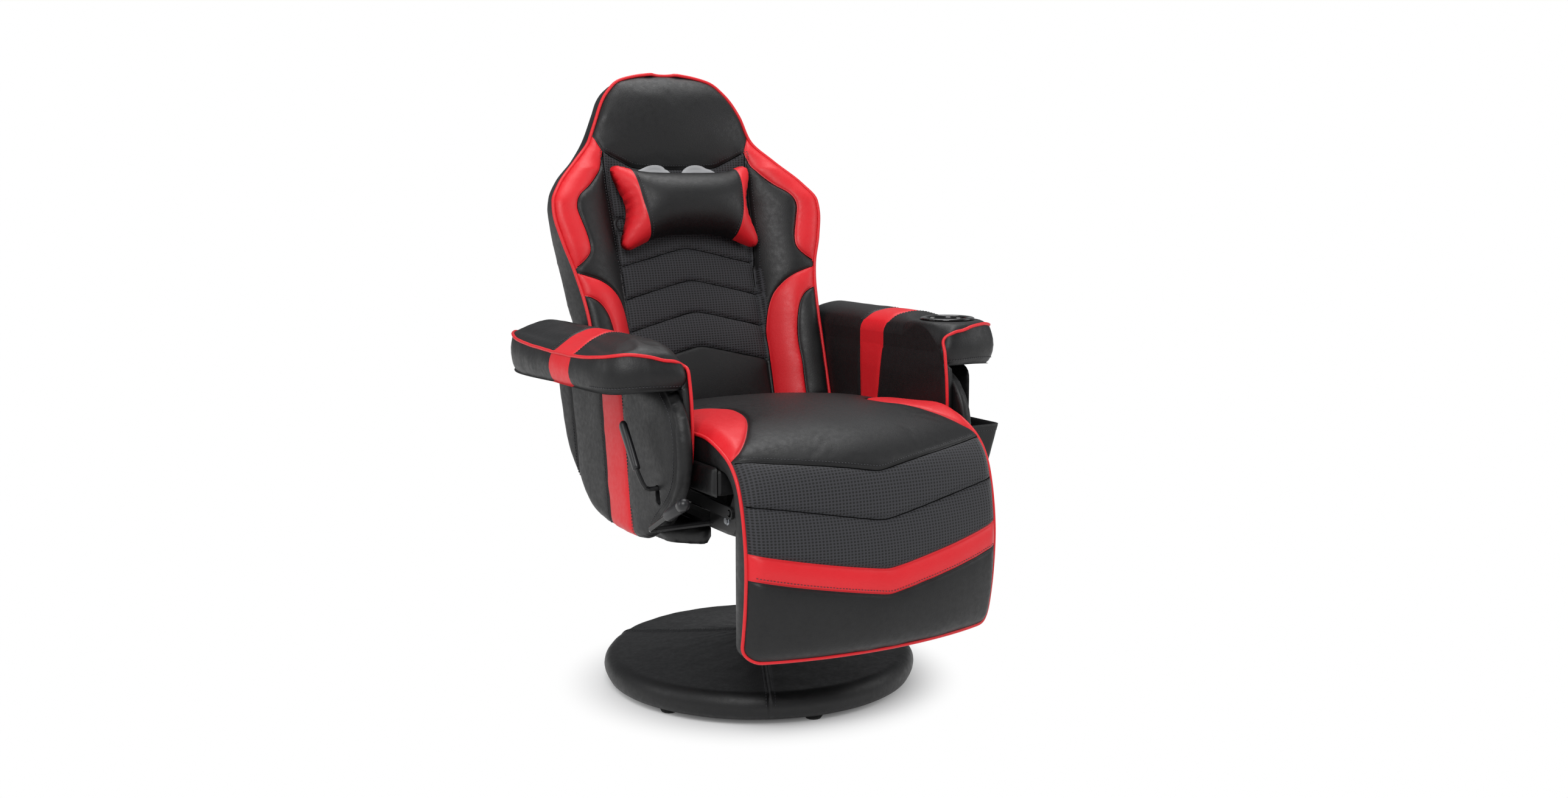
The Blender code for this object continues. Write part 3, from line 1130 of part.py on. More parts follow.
def coil_points():
    """Cord wound in two flat layers: in along the lower one, up in half a turn, out along the upper one."""
    top = SEAT_BOX_BOTTOM - GAP - CORD_RADIUS
    low = top - COIL_PITCH
    climb = 0.5
    total = 2 * COIL_TURNS + climb
    steps = round(total * COIL_STEPS)
    gland_x = CONTROL_X + CONTROL_SIZE[0] / 2 + GLAND_LENGTH + GAP
    points = [Vector((gland_x, COIL_Y - COIL_OUTER, low)),
              Vector((gland_x + 4 * CORD_RADIUS, COIL_Y - COIL_OUTER, low))]
    for i in range(steps + 1):
        turns = total * i / steps
        inward = min(turns, COIL_TURNS)
        outward = max(0.0, turns - COIL_TURNS - climb)
        rise = min(1.0, max(0.0, (turns - COIL_TURNS) / climb))
        dip = climb * min(rise, 1 - rise)
        radius = COIL_OUTER - COIL_PITCH * (inward - outward + dip)
        angle = 2 * pi * turns - pi / 2
        points.append(Vector((COIL_X + radius * cos(angle), COIL_Y + radius * sin(angle),
                              low + (top - low) * rise * rise * (3 - 2 * rise))))
    points.append(points[-1] + Vector((0, 2 * CORD_RADIUS, 0)))
    return points


def least_self_gap(points, diameter):
    """Least gap between stretches of a tube that aren't neighbours along it."""
    length = [0.0]
    for start, end in zip(points, points[1:]):
        length.append(length[-1] + (end - start).length)
    least = 1.0
    for i, one in enumerate(points):
        for j in range(i + 1, len(points)):
            if length[j] - length[i] > 4 * diameter:
                least = min(least, (points[j] - one).length - diameter)
    return least


def make_cord():
    """Control box under the seat, and the handset's cord: a tied coil beside it and the run to the pouch."""
    top = SEAT_BOX_BOTTOM - GAP
    half_x, half_y = CONTROL_SIZE[0] / 2, CONTROL_SIZE[1] / 2
    control = box("control_box", (CONTROL_X - half_x, CONTROL_Y - half_y, top - CONTROL_SIZE[2]),
                  (CONTROL_X + half_x, CONTROL_Y + half_y, top), 0.004)
    coil = coil_points()
    gland_y, gland_z = coil[0].y, coil[0].z
    gland_start = CONTROL_X + half_x - 0.004
    gland = rod("gland", (gland_start, gland_y, gland_z),
                (CONTROL_X + half_x + GLAND_LENGTH, gland_y, gland_z),
                GLAND_RADIUS, 12)
    boolean(control, gland, "UNION", swivel_axis)
    place(control, black_plastic, swivel_axis)
    place(tube("handset_cord_coil", coil, CORD_RADIUS, 1), rubber, swivel_axis)
    print("coil: least self gap %.2f mm" % (1000 * least_self_gap(coil, 2 * CORD_RADIUS)))

    start = coil[-1] + Vector((0, GAP, 0))
    relief_end = Vector((HANDSET_SPLIT_X, HANDSET_Y, HANDSET_BOTTOM - GAP - RELIEF_LENGTH - GAP))
    side_x = SIDE_OUTER + GAP + CORD_RADIUS + 0.001
    in_x = HANDSET_SPLIT_X + 0.001
    rim_z = POUCH_TOP + CORD_RADIUS + GAP
    floor_z = POUCH_BOTTOM + POUCH_WALL + CORD_RADIUS + 0.002
    knots = [start, start + Vector((0, 0.006, 0)), start + Vector((0, 0.014, -0.0012)),
             (0.140, 0.072, 0.399),
             (0.152, 0.105, 0.372), (0.168, 0.132, 0.344), (0.198, 0.148, 0.327), (0.240, 0.156, 0.321),
             (side_x - 0.018, 0.158, 0.322), (side_x + 0.004, 0.150, 0.340), (side_x + 0.002, 0.134, 0.375),
             (side_x + 0.004, 0.116, 0.418), (side_x + 0.012, 0.096, 0.454), (in_x - 0.012, 0.076, rim_z),
             (in_x, POUCH_REAR, rim_z + 0.005), (in_x, 0.037, rim_z - 0.008), (in_x, 0.023, 0.435),
             (in_x, 0.013, 0.400), (in_x, 0.000, floor_z + 0.012), (in_x, -0.020, floor_z),
             relief_end + Vector((0, 0, -0.010)), relief_end + Vector((0, 0, -0.005)), relief_end]
    route = smooth_route(knots, 2)
    place(tube("handset_cord", route, CORD_RADIUS, 2), rubber, swivel_axis)
    length = sum((b - a).length for run in (coil, route) for a, b in zip(run, run[1:]))
    print("cord: %.3f m" % length)


BUTTONS = (("massage_zone_button", 0.013, 0.007, 0.0015, -0.0120, 0.073, 0.0),
           ("intensity_button", 0.013, 0.007, 0.0015, 0.0130, 0.073, 0.0),
           ("timer_button", 0.0095, 0.008, 0.002, -0.0085, 0.045, radians(28)),
           ("level_rocker", 0.0115, 0.026, 0.003, 0.0065, 0.0535, radians(28)),
           ("power_button", 0.010, 0.010, 0.0049, 0.0, 0.029, 0.0))


def button_outline(width, height, corner, across, up, turn, grow=0.0):
    """Outline of a handset button in y and z."""
    centre = (HANDSET_Y + across, HANDSET_BOTTOM + up)
    return rounded_rectangle(width + 2 * grow, height + 2 * grow, corner + grow, centre, turn, 2)


def make_handset():
    """Massage handset that stands in the pouch: two half cases, inset panel, buttons and strain relief."""
    middle = (HANDSET_Y, HANDSET_BOTTOM + HANDSET_HEIGHT / 2)
    outline = rounded_rectangle(HANDSET_WIDTH, HANDSET_HEIGHT, HANDSET_CORNER, middle)
    rear = plate("handset_case_back", [outline], HANDSET_BACK_X, HANDSET_SPLIT_X)
    round_edges(rear, 0.002, 1)
    place(rear, black_plastic, swivel_axis)
    front = plate("handset_case_front", [outline], HANDSET_SPLIT_X + GAP, HANDSET_FACE_X)
    round_edges(front, 0.002, 1)
    panel_bottom = 0.018
    panel_width = HANDSET_WIDTH - 2 * PANEL_MARGIN
    panel_height = HANDSET_HEIGHT - panel_bottom - 4 * PANEL_MARGIN
    panel_centre = (HANDSET_Y, HANDSET_BOTTOM + panel_bottom + panel_height / 2)
    pocket = rounded_rectangle(panel_width + 2 * GAP, panel_height + 2 * GAP, 0.004, panel_centre)
    seat_x = PANEL_FACE_X - PANEL_THICKNESS - GAP
    boolean(front, plate("panel_pocket", [pocket], seat_x, HANDSET_FACE_X + 0.01), "DIFFERENCE", swivel_axis)
    holes = [button_outline(*sizes, grow=BUTTON_PLAY) for name, *sizes in BUTTONS]
    for hole in holes:
        cutter = plate("button_hole", [hole], HANDSET_SPLIT_X - 0.01, HANDSET_FACE_X + 0.01)
        boolean(front, cutter, "DIFFERENCE", swivel_axis)
    place(front, black_plastic, swivel_axis)
    face = rounded_rectangle(panel_width, panel_height, 0.004, panel_centre)
    place(plate("handset_panel", [face] + holes, seat_x + GAP, PANEL_FACE_X), black_plastic, swivel_axis)
    for name, *sizes in BUTTONS:
        start = HANDSET_SPLIT_X + GAP + BUTTON_FLOOR
        button = plate(name, [button_outline(*sizes)], start, PANEL_FACE_X + BUTTON_PROUD)
        round_edges(button, 0.0005, 1)
        place(button, black_plastic, swivel_axis)
    spot = Matrix.Translation((HANDSET_SPLIT_X, HANDSET_Y, HANDSET_BOTTOM - GAP - RELIEF_LENGTH))
    relief = [(0, RELIEF_LENGTH), (RELIEF_RADIUS, RELIEF_LENGTH)]
    ribs = 5
    for i in range(ribs):
        wide = RELIEF_RADIUS - 0.0014 * i / ribs
        level = RELIEF_LENGTH * (1 - (i + 0.55) / ribs)
        relief += [(wide, level + 0.0004), (wide - 0.0009, level - 0.0004), (wide - 0.0009, level - 0.0016)]
    relief = relief[:-1] + [(relief[-1][0], 0), (0, 0)]
    place(turned("handset_strain_relief", relief, 12, turn=spot), rubber, swivel_axis)


make_base()
make_lift()
make_seat_plate()
make_chassis()
make_seat()
make_footrest()
make_links()
make_back()
make_pillow()
make_recline_brackets()
make_arm(1, "left")
make_arm(-1, "right")
make_cup_holder()
make_pouch()
make_recline_lever()
make_height_lever()
make_cord()
make_handset()
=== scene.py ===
"""Looks of a gaming recliner in black and red leatherette: camera and studio, then the chair piece by piece."""
from math import cos, exp, hypot, pi, radians, sin, sqrt

import bmesh
import bpy
import numpy as np
from mathutils import Matrix, Vector, noise
from mathutils.bvhtree import BVHTree
from mathutils.geometry import delaunay_2d_cdt


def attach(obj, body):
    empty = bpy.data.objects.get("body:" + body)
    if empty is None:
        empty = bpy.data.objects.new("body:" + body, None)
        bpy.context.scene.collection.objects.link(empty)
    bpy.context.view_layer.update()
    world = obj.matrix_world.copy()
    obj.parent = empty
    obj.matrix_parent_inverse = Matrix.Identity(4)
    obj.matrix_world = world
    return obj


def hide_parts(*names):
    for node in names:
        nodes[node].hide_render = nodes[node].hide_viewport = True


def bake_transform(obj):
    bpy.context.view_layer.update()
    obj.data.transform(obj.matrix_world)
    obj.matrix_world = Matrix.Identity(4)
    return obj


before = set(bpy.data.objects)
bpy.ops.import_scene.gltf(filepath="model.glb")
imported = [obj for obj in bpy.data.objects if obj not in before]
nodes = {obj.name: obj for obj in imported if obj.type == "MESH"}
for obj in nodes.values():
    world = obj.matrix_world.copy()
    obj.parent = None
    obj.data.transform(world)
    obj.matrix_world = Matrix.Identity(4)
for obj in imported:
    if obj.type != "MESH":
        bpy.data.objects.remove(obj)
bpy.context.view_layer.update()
scene = bpy.context.scene
scene.view_settings.view_transform = "Standard"


# ----------------------------------------------------------
# Camera: a 34 mm lens 0.9 m above the floor, to the right of the sitter, that looks a little down on the seat.
# It stands 2.7 m off and is turned 30 degrees from the chair's front.
# ----------------------------------------------------------
def linked(name, data):
    """A new object in the scene."""
    made = bpy.data.objects.new(name, data)
    scene.collection.objects.link(made)
    return made


camera = linked("camera", bpy.data.cameras.new("camera"))
camera.data.lens = 34.34
camera.data.sensor_width = 36.0
camera.location = (-1.282, -2.354, 0.899)
camera.rotation_euler = (radians(81.85), radians(0.13), radians(-29.6))
scene.camera = camera


# ----------------------------------------------------------
# Studio: a white paper floor that runs out into a white room, four soft boxes and the room's own light.
# The paper keeps the chair's shadow close to the base and is plain white further out.
# ----------------------------------------------------------
def linear(code):
    """An sRGB hex colour as the linear colour that a shader takes."""
    parts = [int(code[i:i + 2], 16) / 255 for i in (1, 3, 5)]
    return (*[c / 12.92 if c <= 0.04045 else ((c + 0.055) / 1.055) ** 2.4 for c in parts], 1.0)


def add_node(tree, kind, inputs=None, **settings):
    """One node with its settings. An input takes a plain value or another node's output."""
    node = tree.nodes.new(kind)
    for name, value in settings.items():
        setattr(node, name, value)
    for name, value in (inputs or {}).items():
        if isinstance(value, bpy.types.NodeSocket):
            tree.links.new(value, node.inputs[name])
        else:
            node.inputs[name].default_value = value
    return node


def empty_material(name):
    """A material with nothing in it but its output."""
    material = bpy.data.materials.new(name)
    material.use_nodes = True
    material.node_tree.nodes.clear()
    return material, material.node_tree, add_node(material.node_tree, "ShaderNodeOutputMaterial")


def mesh_piece(name, points, faces, materials, face_materials=None, smooth=True):
    """A mesh object at the origin, from points and faces."""
    mesh = bpy.data.meshes.new(name)
    mesh.from_pydata([tuple(p) for p in points], [], [tuple(int(i) for i in f) for f in faces])
    for material in materials:
        mesh.materials.append(material)
    if face_materials is not None:
        mesh.polygons.foreach_set("material_index", np.asarray(face_materials, dtype=np.int32))
    mesh.polygons.foreach_set("use_smooth", np.full(len(mesh.polygons), smooth))
    return linked(name, mesh)


FLOOR_HALF, SHADOW_INNER, SHADOW_OUTER = 9.0, 0.22, 0.38
LAMP_AIM = Vector((0, 0, 0.5))
paper, tree, out = empty_material("white_paper")
# Matt paper: even white, with a soft shadow near the base and none of it further out.
place = add_node(tree, "ShaderNodeTexCoord")
from_base = add_node(tree, "ShaderNodeVectorMath", {0: place.outputs["Object"]}, operation="LENGTH")
run_out = add_node(tree, "ShaderNodeMapRange", {"Value": from_base.outputs["Value"], "From Min": SHADOW_INNER,
                                                "From Max": SHADOW_OUTER}, interpolation_type="SMOOTHSTEP")
rays = add_node(tree, "ShaderNodeLightPath")
seen = add_node(tree, "ShaderNodeMath", {0: rays.outputs["Is Camera Ray"], 1: rays.outputs["Is Glossy Ray"]},
                operation="MAXIMUM")
seen = add_node(tree, "ShaderNodeMath", {0: seen.outputs[0], 1: rays.outputs["Is Transmission Ray"]},
                operation="MAXIMUM")
share = add_node(tree, "ShaderNodeMath", {0: run_out.outputs["Result"], 1: seen.outputs[0]},
                 operation="MULTIPLY")
matt = add_node(tree, "ShaderNodeBsdfDiffuse", {"Color": linear("#f4f4f4")})
white = add_node(tree, "ShaderNodeEmission", {"Color": (1, 1, 1, 1), "Strength": 1.0})
mix = add_node(tree, "ShaderNodeMixShader", {0: share.outputs[0], 1: matt.outputs[0], 2: white.outputs[0]})
tree.links.new(mix.outputs[0], out.inputs["Surface"])
floor = mesh_piece("floor", [(-FLOOR_HALF, -FLOOR_HALF, 0), (FLOOR_HALF, -FLOOR_HALF, 0),
                             (FLOOR_HALF, FLOOR_HALF, 0), (-FLOOR_HALF, FLOOR_HALF, 0)], [(0, 1, 2, 3)], [paper])

world = bpy.data.worlds.new("white_room")
scene.world = world
world.use_nodes = True
tree = world.node_tree
tree.nodes.clear()
rays = add_node(tree, "ShaderNodeLightPath")
seen = add_node(tree, "ShaderNodeMath", {0: rays.outputs["Is Camera Ray"], 1: rays.outputs["Is Transmission Ray"]},
                operation="MAXIMUM")
room = add_node(tree, "ShaderNodeBackground", {"Color": linear("#f3f5f8"), "Strength": 0.3})
white = add_node(tree, "ShaderNodeBackground", {"Color": (1, 1, 1, 1), "Strength": 1.0})
mix = add_node(tree, "ShaderNodeMixShader", {0: seen.outputs[0], 1: room.outputs[0], 2: white.outputs[0]})
add_node(tree, "ShaderNodeOutputWorld", {"Surface": mix.outputs[0]})

LAMPS = (("key_box", (-1.9, -2.6, 2.9), 1.6, 88.0), ("top_box", (0.5, 0.5, 3.2), 1.8, 46.0),
         ("fill_box", (2.8, -1.6, 1.7), 1.6, 24.0), ("side_box", (-2.9, 0.6, 1.5), 1.4, 18.0))
for name, spot, size, power in LAMPS:
    lamp = linked(name, bpy.data.lights.new(name, "AREA"))
    lamp.data.size = size
    lamp.data.energy = power
    lamp.location = spot
    lamp.rotation_euler = (LAMP_AIM - Vector(spot)).to_track_quat("-Z", "Y").to_euler()


# ----------------------------------------------------------
# Handset cord: a limp 5 mm lead in soft black PVC. It leaves the control box under the seat, lies in a coil of
# two layers on the box's shelf, runs out under the arm and hangs over the pouch's rim to the handset.
# ----------------------------------------------------------
def surface(name, pattern, inputs, tone, rough, relief=None, settings=None, **shine):
    """A material after one pattern. It mixes two tones and runs between two roughnesses, where two are given, and
    relief is the strength and depth of its bump."""
    material, tree, out = empty_material(name)
    place = add_node(tree, "ShaderNodeTexCoord")
    grain = add_node(tree, "ShaderNodeTex" + pattern, {"Vector": place.outputs["Object"], **inputs},
                     **(settings or {})).outputs["Fac"]
    if isinstance(tone, tuple):
        tone = add_node(tree, "ShaderNodeMix", {"Factor": grain, "A": linear(tone[0]), "B": linear(tone[1])},
                        data_type="RGBA").outputs["Result"]
    else:
        tone = linear(tone)
    if isinstance(rough, tuple):
        rough = add_node(tree, "ShaderNodeMapRange", {"Value": grain, "To Min": rough[0],
                                                      "To Max": rough[1]}).outputs["Result"]
    if relief:
        shine["Normal"] = add_node(tree, "ShaderNodeBump", {"Height": grain, "Strength": relief[0],
                                                            "Distance": relief[1]}).outputs["Normal"]
    shader = add_node(tree, "ShaderNodeBsdfPrincipled", {"Base Color": tone, "Roughness": rough, **shine})
    tree.links.new(shader.outputs[0], out.inputs["Surface"])
    return material


def smooth_route(knots, per_span, closed=False):
    """Points on a smooth curve through knots."""
    knots = [Vector(k) for k in knots]
    if closed:
        knots = [knots[-1]] + knots + knots[:2]
    else:
        knots = [knots[0] * 2 - knots[1]] + knots + [knots[-1] * 2 - knots[-2]]
    points = []
    for before, start, end, after in zip(knots, knots[1:], knots[2:], knots[3:]):
        for i in range(per_span):
            t = i / per_span
            points.append(0.5 * (2 * start + (end - before) * t
                                 + (2 * before - 5 * start + 4 * end - after) * t * t
                                 + (3 * start - before - 3 * end + after) * t ** 3))
    return points if closed else points + [knots[-2]]


def round_cord(name, lines, radius, material):
    """A round cord along lines of points, each with a mark that says if it is closed."""
    curve = bpy.data.curves.new(name, "CURVE")
    curve.dimensions = "3D"
    curve.bevel_depth = radius
    curve.bevel_resolution = 3
    curve.use_fill_caps = True
    for line, closed in lines:
        strand = curve.splines.new("POLY")
        strand.points.add(len(line) - 1)
        for point, place in zip(strand.points, line):
            point.co = (*[float(v) for v in place], 1.0)
        strand.use_cyclic_u = closed
    curve.materials.append(material)
    return linked(name, curve)


CORD_DIAMETER = 0.005
CORD_EXIT = (0.0523, -0.022, 0.4052)
COIL_CENTRE = (0.098, 0.014)
COIL_LOW, COIL_HIGH = 0.4052, 0.4109
COIL_OUTER, COIL_PITCH, COIL_LAYER, COIL_CLIMB, COIL_STEPS = 0.036, 0.0057, 1.875, 0.5, 24

coil = [Vector(CORD_EXIT), Vector(CORD_EXIT) + Vector((0.01, 0, 0))]
coil_turns = 2 * COIL_LAYER + COIL_CLIMB
for i in range(round(coil_turns * COIL_STEPS) + 1):
    turns = i / COIL_STEPS
    inward = min(turns, COIL_LAYER)
    outward = max(0.0, turns - COIL_LAYER - COIL_CLIMB)
    rise = min(1.0, max(0.0, (turns - COIL_LAYER) / COIL_CLIMB))
    radius = COIL_OUTER - COIL_PITCH * (inward - outward + 0.5 * min(rise, 1 - rise))
    angle = 2 * pi * turns - pi / 2
    coil.append(Vector((COIL_CENTRE[0] + radius * cos(angle), COIL_CENTRE[1] + radius * sin(angle),
                        COIL_LOW + (COIL_HIGH - COIL_LOW) * rise * rise * (3 - 2 * rise))))
coil.append(coil[-1] + Vector((0, 0.005, 0)))
start = coil[-1] + Vector((0, 0.0003, 0))
SIDE_X, IN_X, RIM_Z, POUCH_FLOOR_Z = 0.2936, 0.3328, 0.4708, 0.3525
RELIEF_END = Vector((0.3318, -0.04, 0.3784))
run = smooth_route([start, start + Vector((0, 0.006, 0)), start + Vector((0, 0.014, -0.0012)),
                    (0.14, 0.072, 0.399), (0.152, 0.105, 0.372), (0.168, 0.132, 0.344), (0.198, 0.148, 0.327),
                    (0.24, 0.156, 0.321), (SIDE_X - 0.018, 0.158, 0.322), (SIDE_X + 0.004, 0.15, 0.34),
                    (SIDE_X + 0.002, 0.134, 0.375), (SIDE_X + 0.004, 0.116, 0.418),
                    (SIDE_X + 0.012, 0.096, 0.454), (IN_X - 0.012, 0.076, RIM_Z), (IN_X, 0.055, RIM_Z + 0.005),
                    (IN_X, 0.037, RIM_Z - 0.008), (IN_X, 0.023, 0.435), (IN_X, 0.013, 0.4),
                    (IN_X, 0.0, POUCH_FLOOR_Z + 0.012), (IN_X, -0.02, POUCH_FLOOR_Z),
                    RELIEF_END + Vector((0, 0, -0.01)), RELIEF_END + Vector((0, 0, -0.005)), RELIEF_END], 3)
cord_points = coil + run
# Extruded soft PVC: dull black with a low satin shine and faint drag marks along its length.
pvc = surface("black_pvc_sheath", "Noise", {"Scale": 420.0, "Detail": 3.0}, "#1b1b1c", (0.4, 0.58), (0.15, 0.0004))
lead = round_cord("handset_lead", [(cord_points, False)], CORD_DIAMETER / 2, pvc)
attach(lead, "seat")
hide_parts("handset_cord", "handset_cord_coil")


# ----------------------------------------------------------
# Base: a weighted steel disc under a cover of black leatherette with a soft foam rim. The cover is sewn from
# three sectors, with a felled seam and two rows of stitches at each, and six rubber feet lift it off the floor.
# ----------------------------------------------------------
def leatherette(name, code, shade, roughness):
    """Embossed polyurethane leatherette: fine pebble grain of about 2 mm, satin, a little uneven in tone."""
    material, tree, out = empty_material(name)
    place = add_node(tree, "ShaderNodeTexCoord")
    # Pebbles 2.2 mm across, drawn a little coarser than the real 1 mm so that they show.
    pebbles = add_node(tree, "ShaderNodeTexVoronoi", {"Vector": place.outputs["Object"], "Scale": 1 / 0.0022},
                       feature="SMOOTH_F1")
    creases = add_node(tree, "ShaderNodeTexNoise", {"Vector": place.outputs["Object"], "Scale": 1 / 0.009,
                                                    "Detail": 4.0, "Roughness": 0.6})
    patches = add_node(tree, "ShaderNodeTexNoise", {"Vector": place.outputs["Object"], "Scale": 1 / 0.11,
                                                    "Detail": 2.0})
    tone = add_node(tree, "ShaderNodeMix", {"Factor": patches.outputs["Fac"], "A": linear(code),
                                            "B": linear(shade)}, data_type="RGBA")
    gloss = add_node(tree, "ShaderNodeMapRange", {"Value": creases.outputs["Fac"], "From Min": 0.3,
                                                  "From Max": 0.7, "To Min": roughness - 0.06,
                                                  "To Max": roughness + 0.07})
    height = add_node(tree, "ShaderNodeMath", {0: pebbles.outputs["Distance"], 1: creases.outputs["Fac"]},
                      operation="ADD")
    bump = add_node(tree, "ShaderNodeBump", {"Height": height.outputs[0], "Strength": 0.22, "Distance": 0.0006})
    shader = add_node(tree, "ShaderNodeBsdfPrincipled", {
        "Base Color": tone.outputs["Result"], "Roughness": gloss.outputs["Result"],
        "Normal": bump.outputs["Normal"], "Specular IOR Level": 0.42})
    tree.links.new(shader.outputs[0], out.inputs["Surface"])
    return material


black_leather = leatherette("black_leatherette", "#141415", "#0f0f10", 0.5)
red_leather = leatherette("red_leatherette", "#e0202a", "#d51a23", 0.47)


# Bonded nylon thread: a faint twist along each stitch and a soft shine.
black_thread = surface("black_nylon_thread", "Wave", {"Scale": 1 / 0.004, "Distortion": 1.0}, "#343438", (0.38, 0.55))


def node_group(name, values):
    """An empty tree of geometry nodes with its inputs, and the node that gives them."""
    tree = bpy.data.node_groups.new(name, "GeometryNodeTree")
    tree.interface.new_socket("Geometry", in_out="INPUT", socket_type="NodeSocketGeometry")
    for label, value in values:
        tree.interface.new_socket(label, in_out="INPUT", socket_type="NodeSocketFloat").default_value = value
    tree.interface.new_socket("Geometry", in_out="OUTPUT", socket_type="NodeSocketGeometry")
    return tree, add_node(tree, "NodeGroupInput")


def stitch_tree(name, material):
    """Geometry nodes: stitches set end to end along the edges of a mesh."""
    tree, given = node_group(name, (("Pitch", 0.0055), ("Stitch Length", 0.0042), ("Thread Radius", 0.0007)))
    line = add_node(tree, "GeometryNodeMeshToCurve", {"Mesh": given.outputs["Geometry"]})
    spaced = add_node(tree, "GeometryNodeResampleCurve", {"Curve": line.outputs[0],
                                                          "Length": given.outputs["Pitch"]}, mode="LENGTH")
    ball = add_node(tree, "GeometryNodeMeshIcoSphere", {"Radius": 1.0, "Subdivisions": 1})
    heading = add_node(tree, "GeometryNodeInputTangent")
    turn = add_node(tree, "FunctionNodeAlignRotationToVector", {"Vector": heading.outputs[0]}, axis="Z")
    half = add_node(tree, "ShaderNodeMath", {0: given.outputs["Stitch Length"], 1: 0.5}, operation="MULTIPLY")
    size = add_node(tree, "ShaderNodeCombineXYZ", {"X": given.outputs["Thread Radius"],
                                                   "Y": given.outputs["Thread Radius"], "Z": half.outputs[0]})
    rows = add_node(tree, "GeometryNodeInstanceOnPoints", {
        "Points": spaced.outputs[0], "Instance": ball.outputs["Mesh"], "Rotation": turn.outputs[0],
        "Scale": size.outputs[0]})
    real = add_node(tree, "GeometryNodeRealizeInstances", {"Geometry": rows.outputs[0]})
    soft = add_node(tree, "GeometryNodeSetShadeSmooth", {"Geometry": real.outputs[0]})
    dyed = add_node(tree, "GeometryNodeSetMaterial", {"Geometry": soft.outputs[0], "Material": material})
    add_node(tree, "NodeGroupOutput", {"Geometry": dyed.outputs[0]})
    return tree


black_stitches = stitch_tree("black_stitches", black_thread)


def sew(name, lines, tree, body):
    """Rows of stitches along lines of points, as one plain mesh on a body."""
    points, edges = [], []
    for line in lines:
        first = len(points)
        points += [tuple(p) for p in line]
        edges += [(first + i, first + i + 1) for i in range(len(line) - 1)]
    guide = bpy.data.meshes.new(name)
    guide.from_pydata(points, edges, [])
    piece = linked(name, guide)
    piece.modifiers.new("stitches", "NODES").node_group = tree
    return plain_mesh(piece, body)


def plain_mesh(piece, body):
    """The piece with its modifiers carried out and gone, riding on a body (None leaves it free for a blend)."""
    graph = bpy.context.evaluated_depsgraph_get()
    result = bpy.data.meshes.new_from_object(piece.evaluated_get(graph))
    piece.modifiers.clear()
    if piece.type == "MESH":
        piece.data = result
    else:
        name = piece.name
        bpy.data.objects.remove(piece)
        piece = linked(name, result)
    if body:
        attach(piece, body)
    return piece


def turned_piece(name, profile, angles, materials, centre=(0, 0), lift=None):
    """A closed ring of a profile of (radius, z) about an upright axis; a zero radius closes to a pole."""
    points, faces, rings = [], [], []
    for r, z in profile:
        if r == 0:
            rings.append([len(points)])
            points.append((centre[0], centre[1], z))
            continue
        rings.append(list(range(len(points), len(points) + len(angles))))
        for a in angles:
            out_r, out_z = lift(r, z, a) if lift else (r, z)
            points.append((centre[0] + out_r * cos(a), centre[1] + out_r * sin(a), out_z))
    count = len(angles)
    for low, high in zip(rings, rings[1:]):
        for i in range(count):
            j = (i + 1) % count
            if len(low) == 1 and len(high) == 1:
                continue
            if len(low) == 1:
                faces.append((low[0], high[j], high[i]))
            elif len(high) == 1:
                faces.append((low[i], low[j], high[0]))
            else:
                faces.append((low[i], low[j], high[j], high[i]))
    if len(rings[0]) > 1:
        low, high = rings[-1], rings[0]
        faces += [(low[i], low[(i + 1) % count], high[(i + 1) % count], high[i]) for i in range(count)]
    return mesh_piece(name, points, faces, materials)


BASE_RADIUS, BASE_FOOT_Z, BASE_WAIST_Z, RIM_DROP, RIM_WIDTH = 0.285, 0.0126, 0.031, 0.026, 0.023
BASE_CROWN, HUB_RADIUS, BASE_WALL = 0.027, 0.0345, 0.004
DOME_RADIUS, COVER_EDGE = BASE_RADIUS - RIM_WIDTH, BASE_RADIUS - 0.0113
BASE_SEAMS = (radians(244.7), radians(129.6), radians(7.0))


def base_top(r):
    """Height of the cover at a radius: a low dome that runs flat into the soft rim."""
    t = (r - HUB_RADIUS) / (DOME_RADIUS - HUB_RADIUS)
    return BASE_WAIST_Z + RIM_DROP + BASE_CROWN * (1 - t) ** 1.35


def base_lift(r, z, a):
    """The felled seams lie in a shallow groove with a raised lap beside it."""
    for seam in BASE_SEAMS:
        off = r * sin(a - seam)
        if cos(a - seam) > 0 and z > BASE_FOOT_Z + 0.004:
            lap = 0.002 * exp(-((off - 0.005) / 0.0035) ** 2) - 0.0026 * exp(-(off / 0.0016) ** 2)
            on_rim = min(1.0, max(0.0, (r - DOME_RADIUS) / RIM_WIDTH))
            z, r = z + lap, r + lap * on_rim
    ripple = 0.0007 * noise.noise((9 * cos(a), 9 * sin(a), 30 * r))
    return r + ripple, z + ripple


base_profile = [(r, base_top(r)) for r in (HUB_RADIUS + (DOME_RADIUS - HUB_RADIUS) * i / 30 for i in range(31))]
base_profile += [(DOME_RADIUS + RIM_WIDTH * sin(a), BASE_WAIST_Z + RIM_DROP * cos(a))
                 for a in (radians(8 * i) for i in range(1, 12))]
base_profile += [(BASE_RADIUS - 0.001, BASE_WAIST_Z - 0.005), (BASE_RADIUS - 0.0035, BASE_WAIST_Z - 0.011),
                 (BASE_RADIUS - 0.0075, BASE_FOOT_Z), (COVER_EDGE, BASE_FOOT_Z), (COVER_EDGE, BASE_WAIST_Z),
                 (DOME_RADIUS, BASE_WAIST_Z + RIM_DROP - BASE_WALL)]
base_profile += [(r, base_top(r) - BASE_WALL) for r in (0.2, 0.12, HUB_RADIUS)]
base_angles = sorted({round(2 * pi * i / 140, 5) for i in range(140)}
                     | {round((seam + step / 0.2) % (2 * pi), 5) for seam in BASE_SEAMS
                        for step in (-0.006, -0.003, -0.0015, 0.0, 0.0015, 0.003, 0.005, 0.007, 0.01)})
base_cover = turned_piece("base_cushion", base_profile[::-1], base_angles, [black_leather], lift=base_lift)
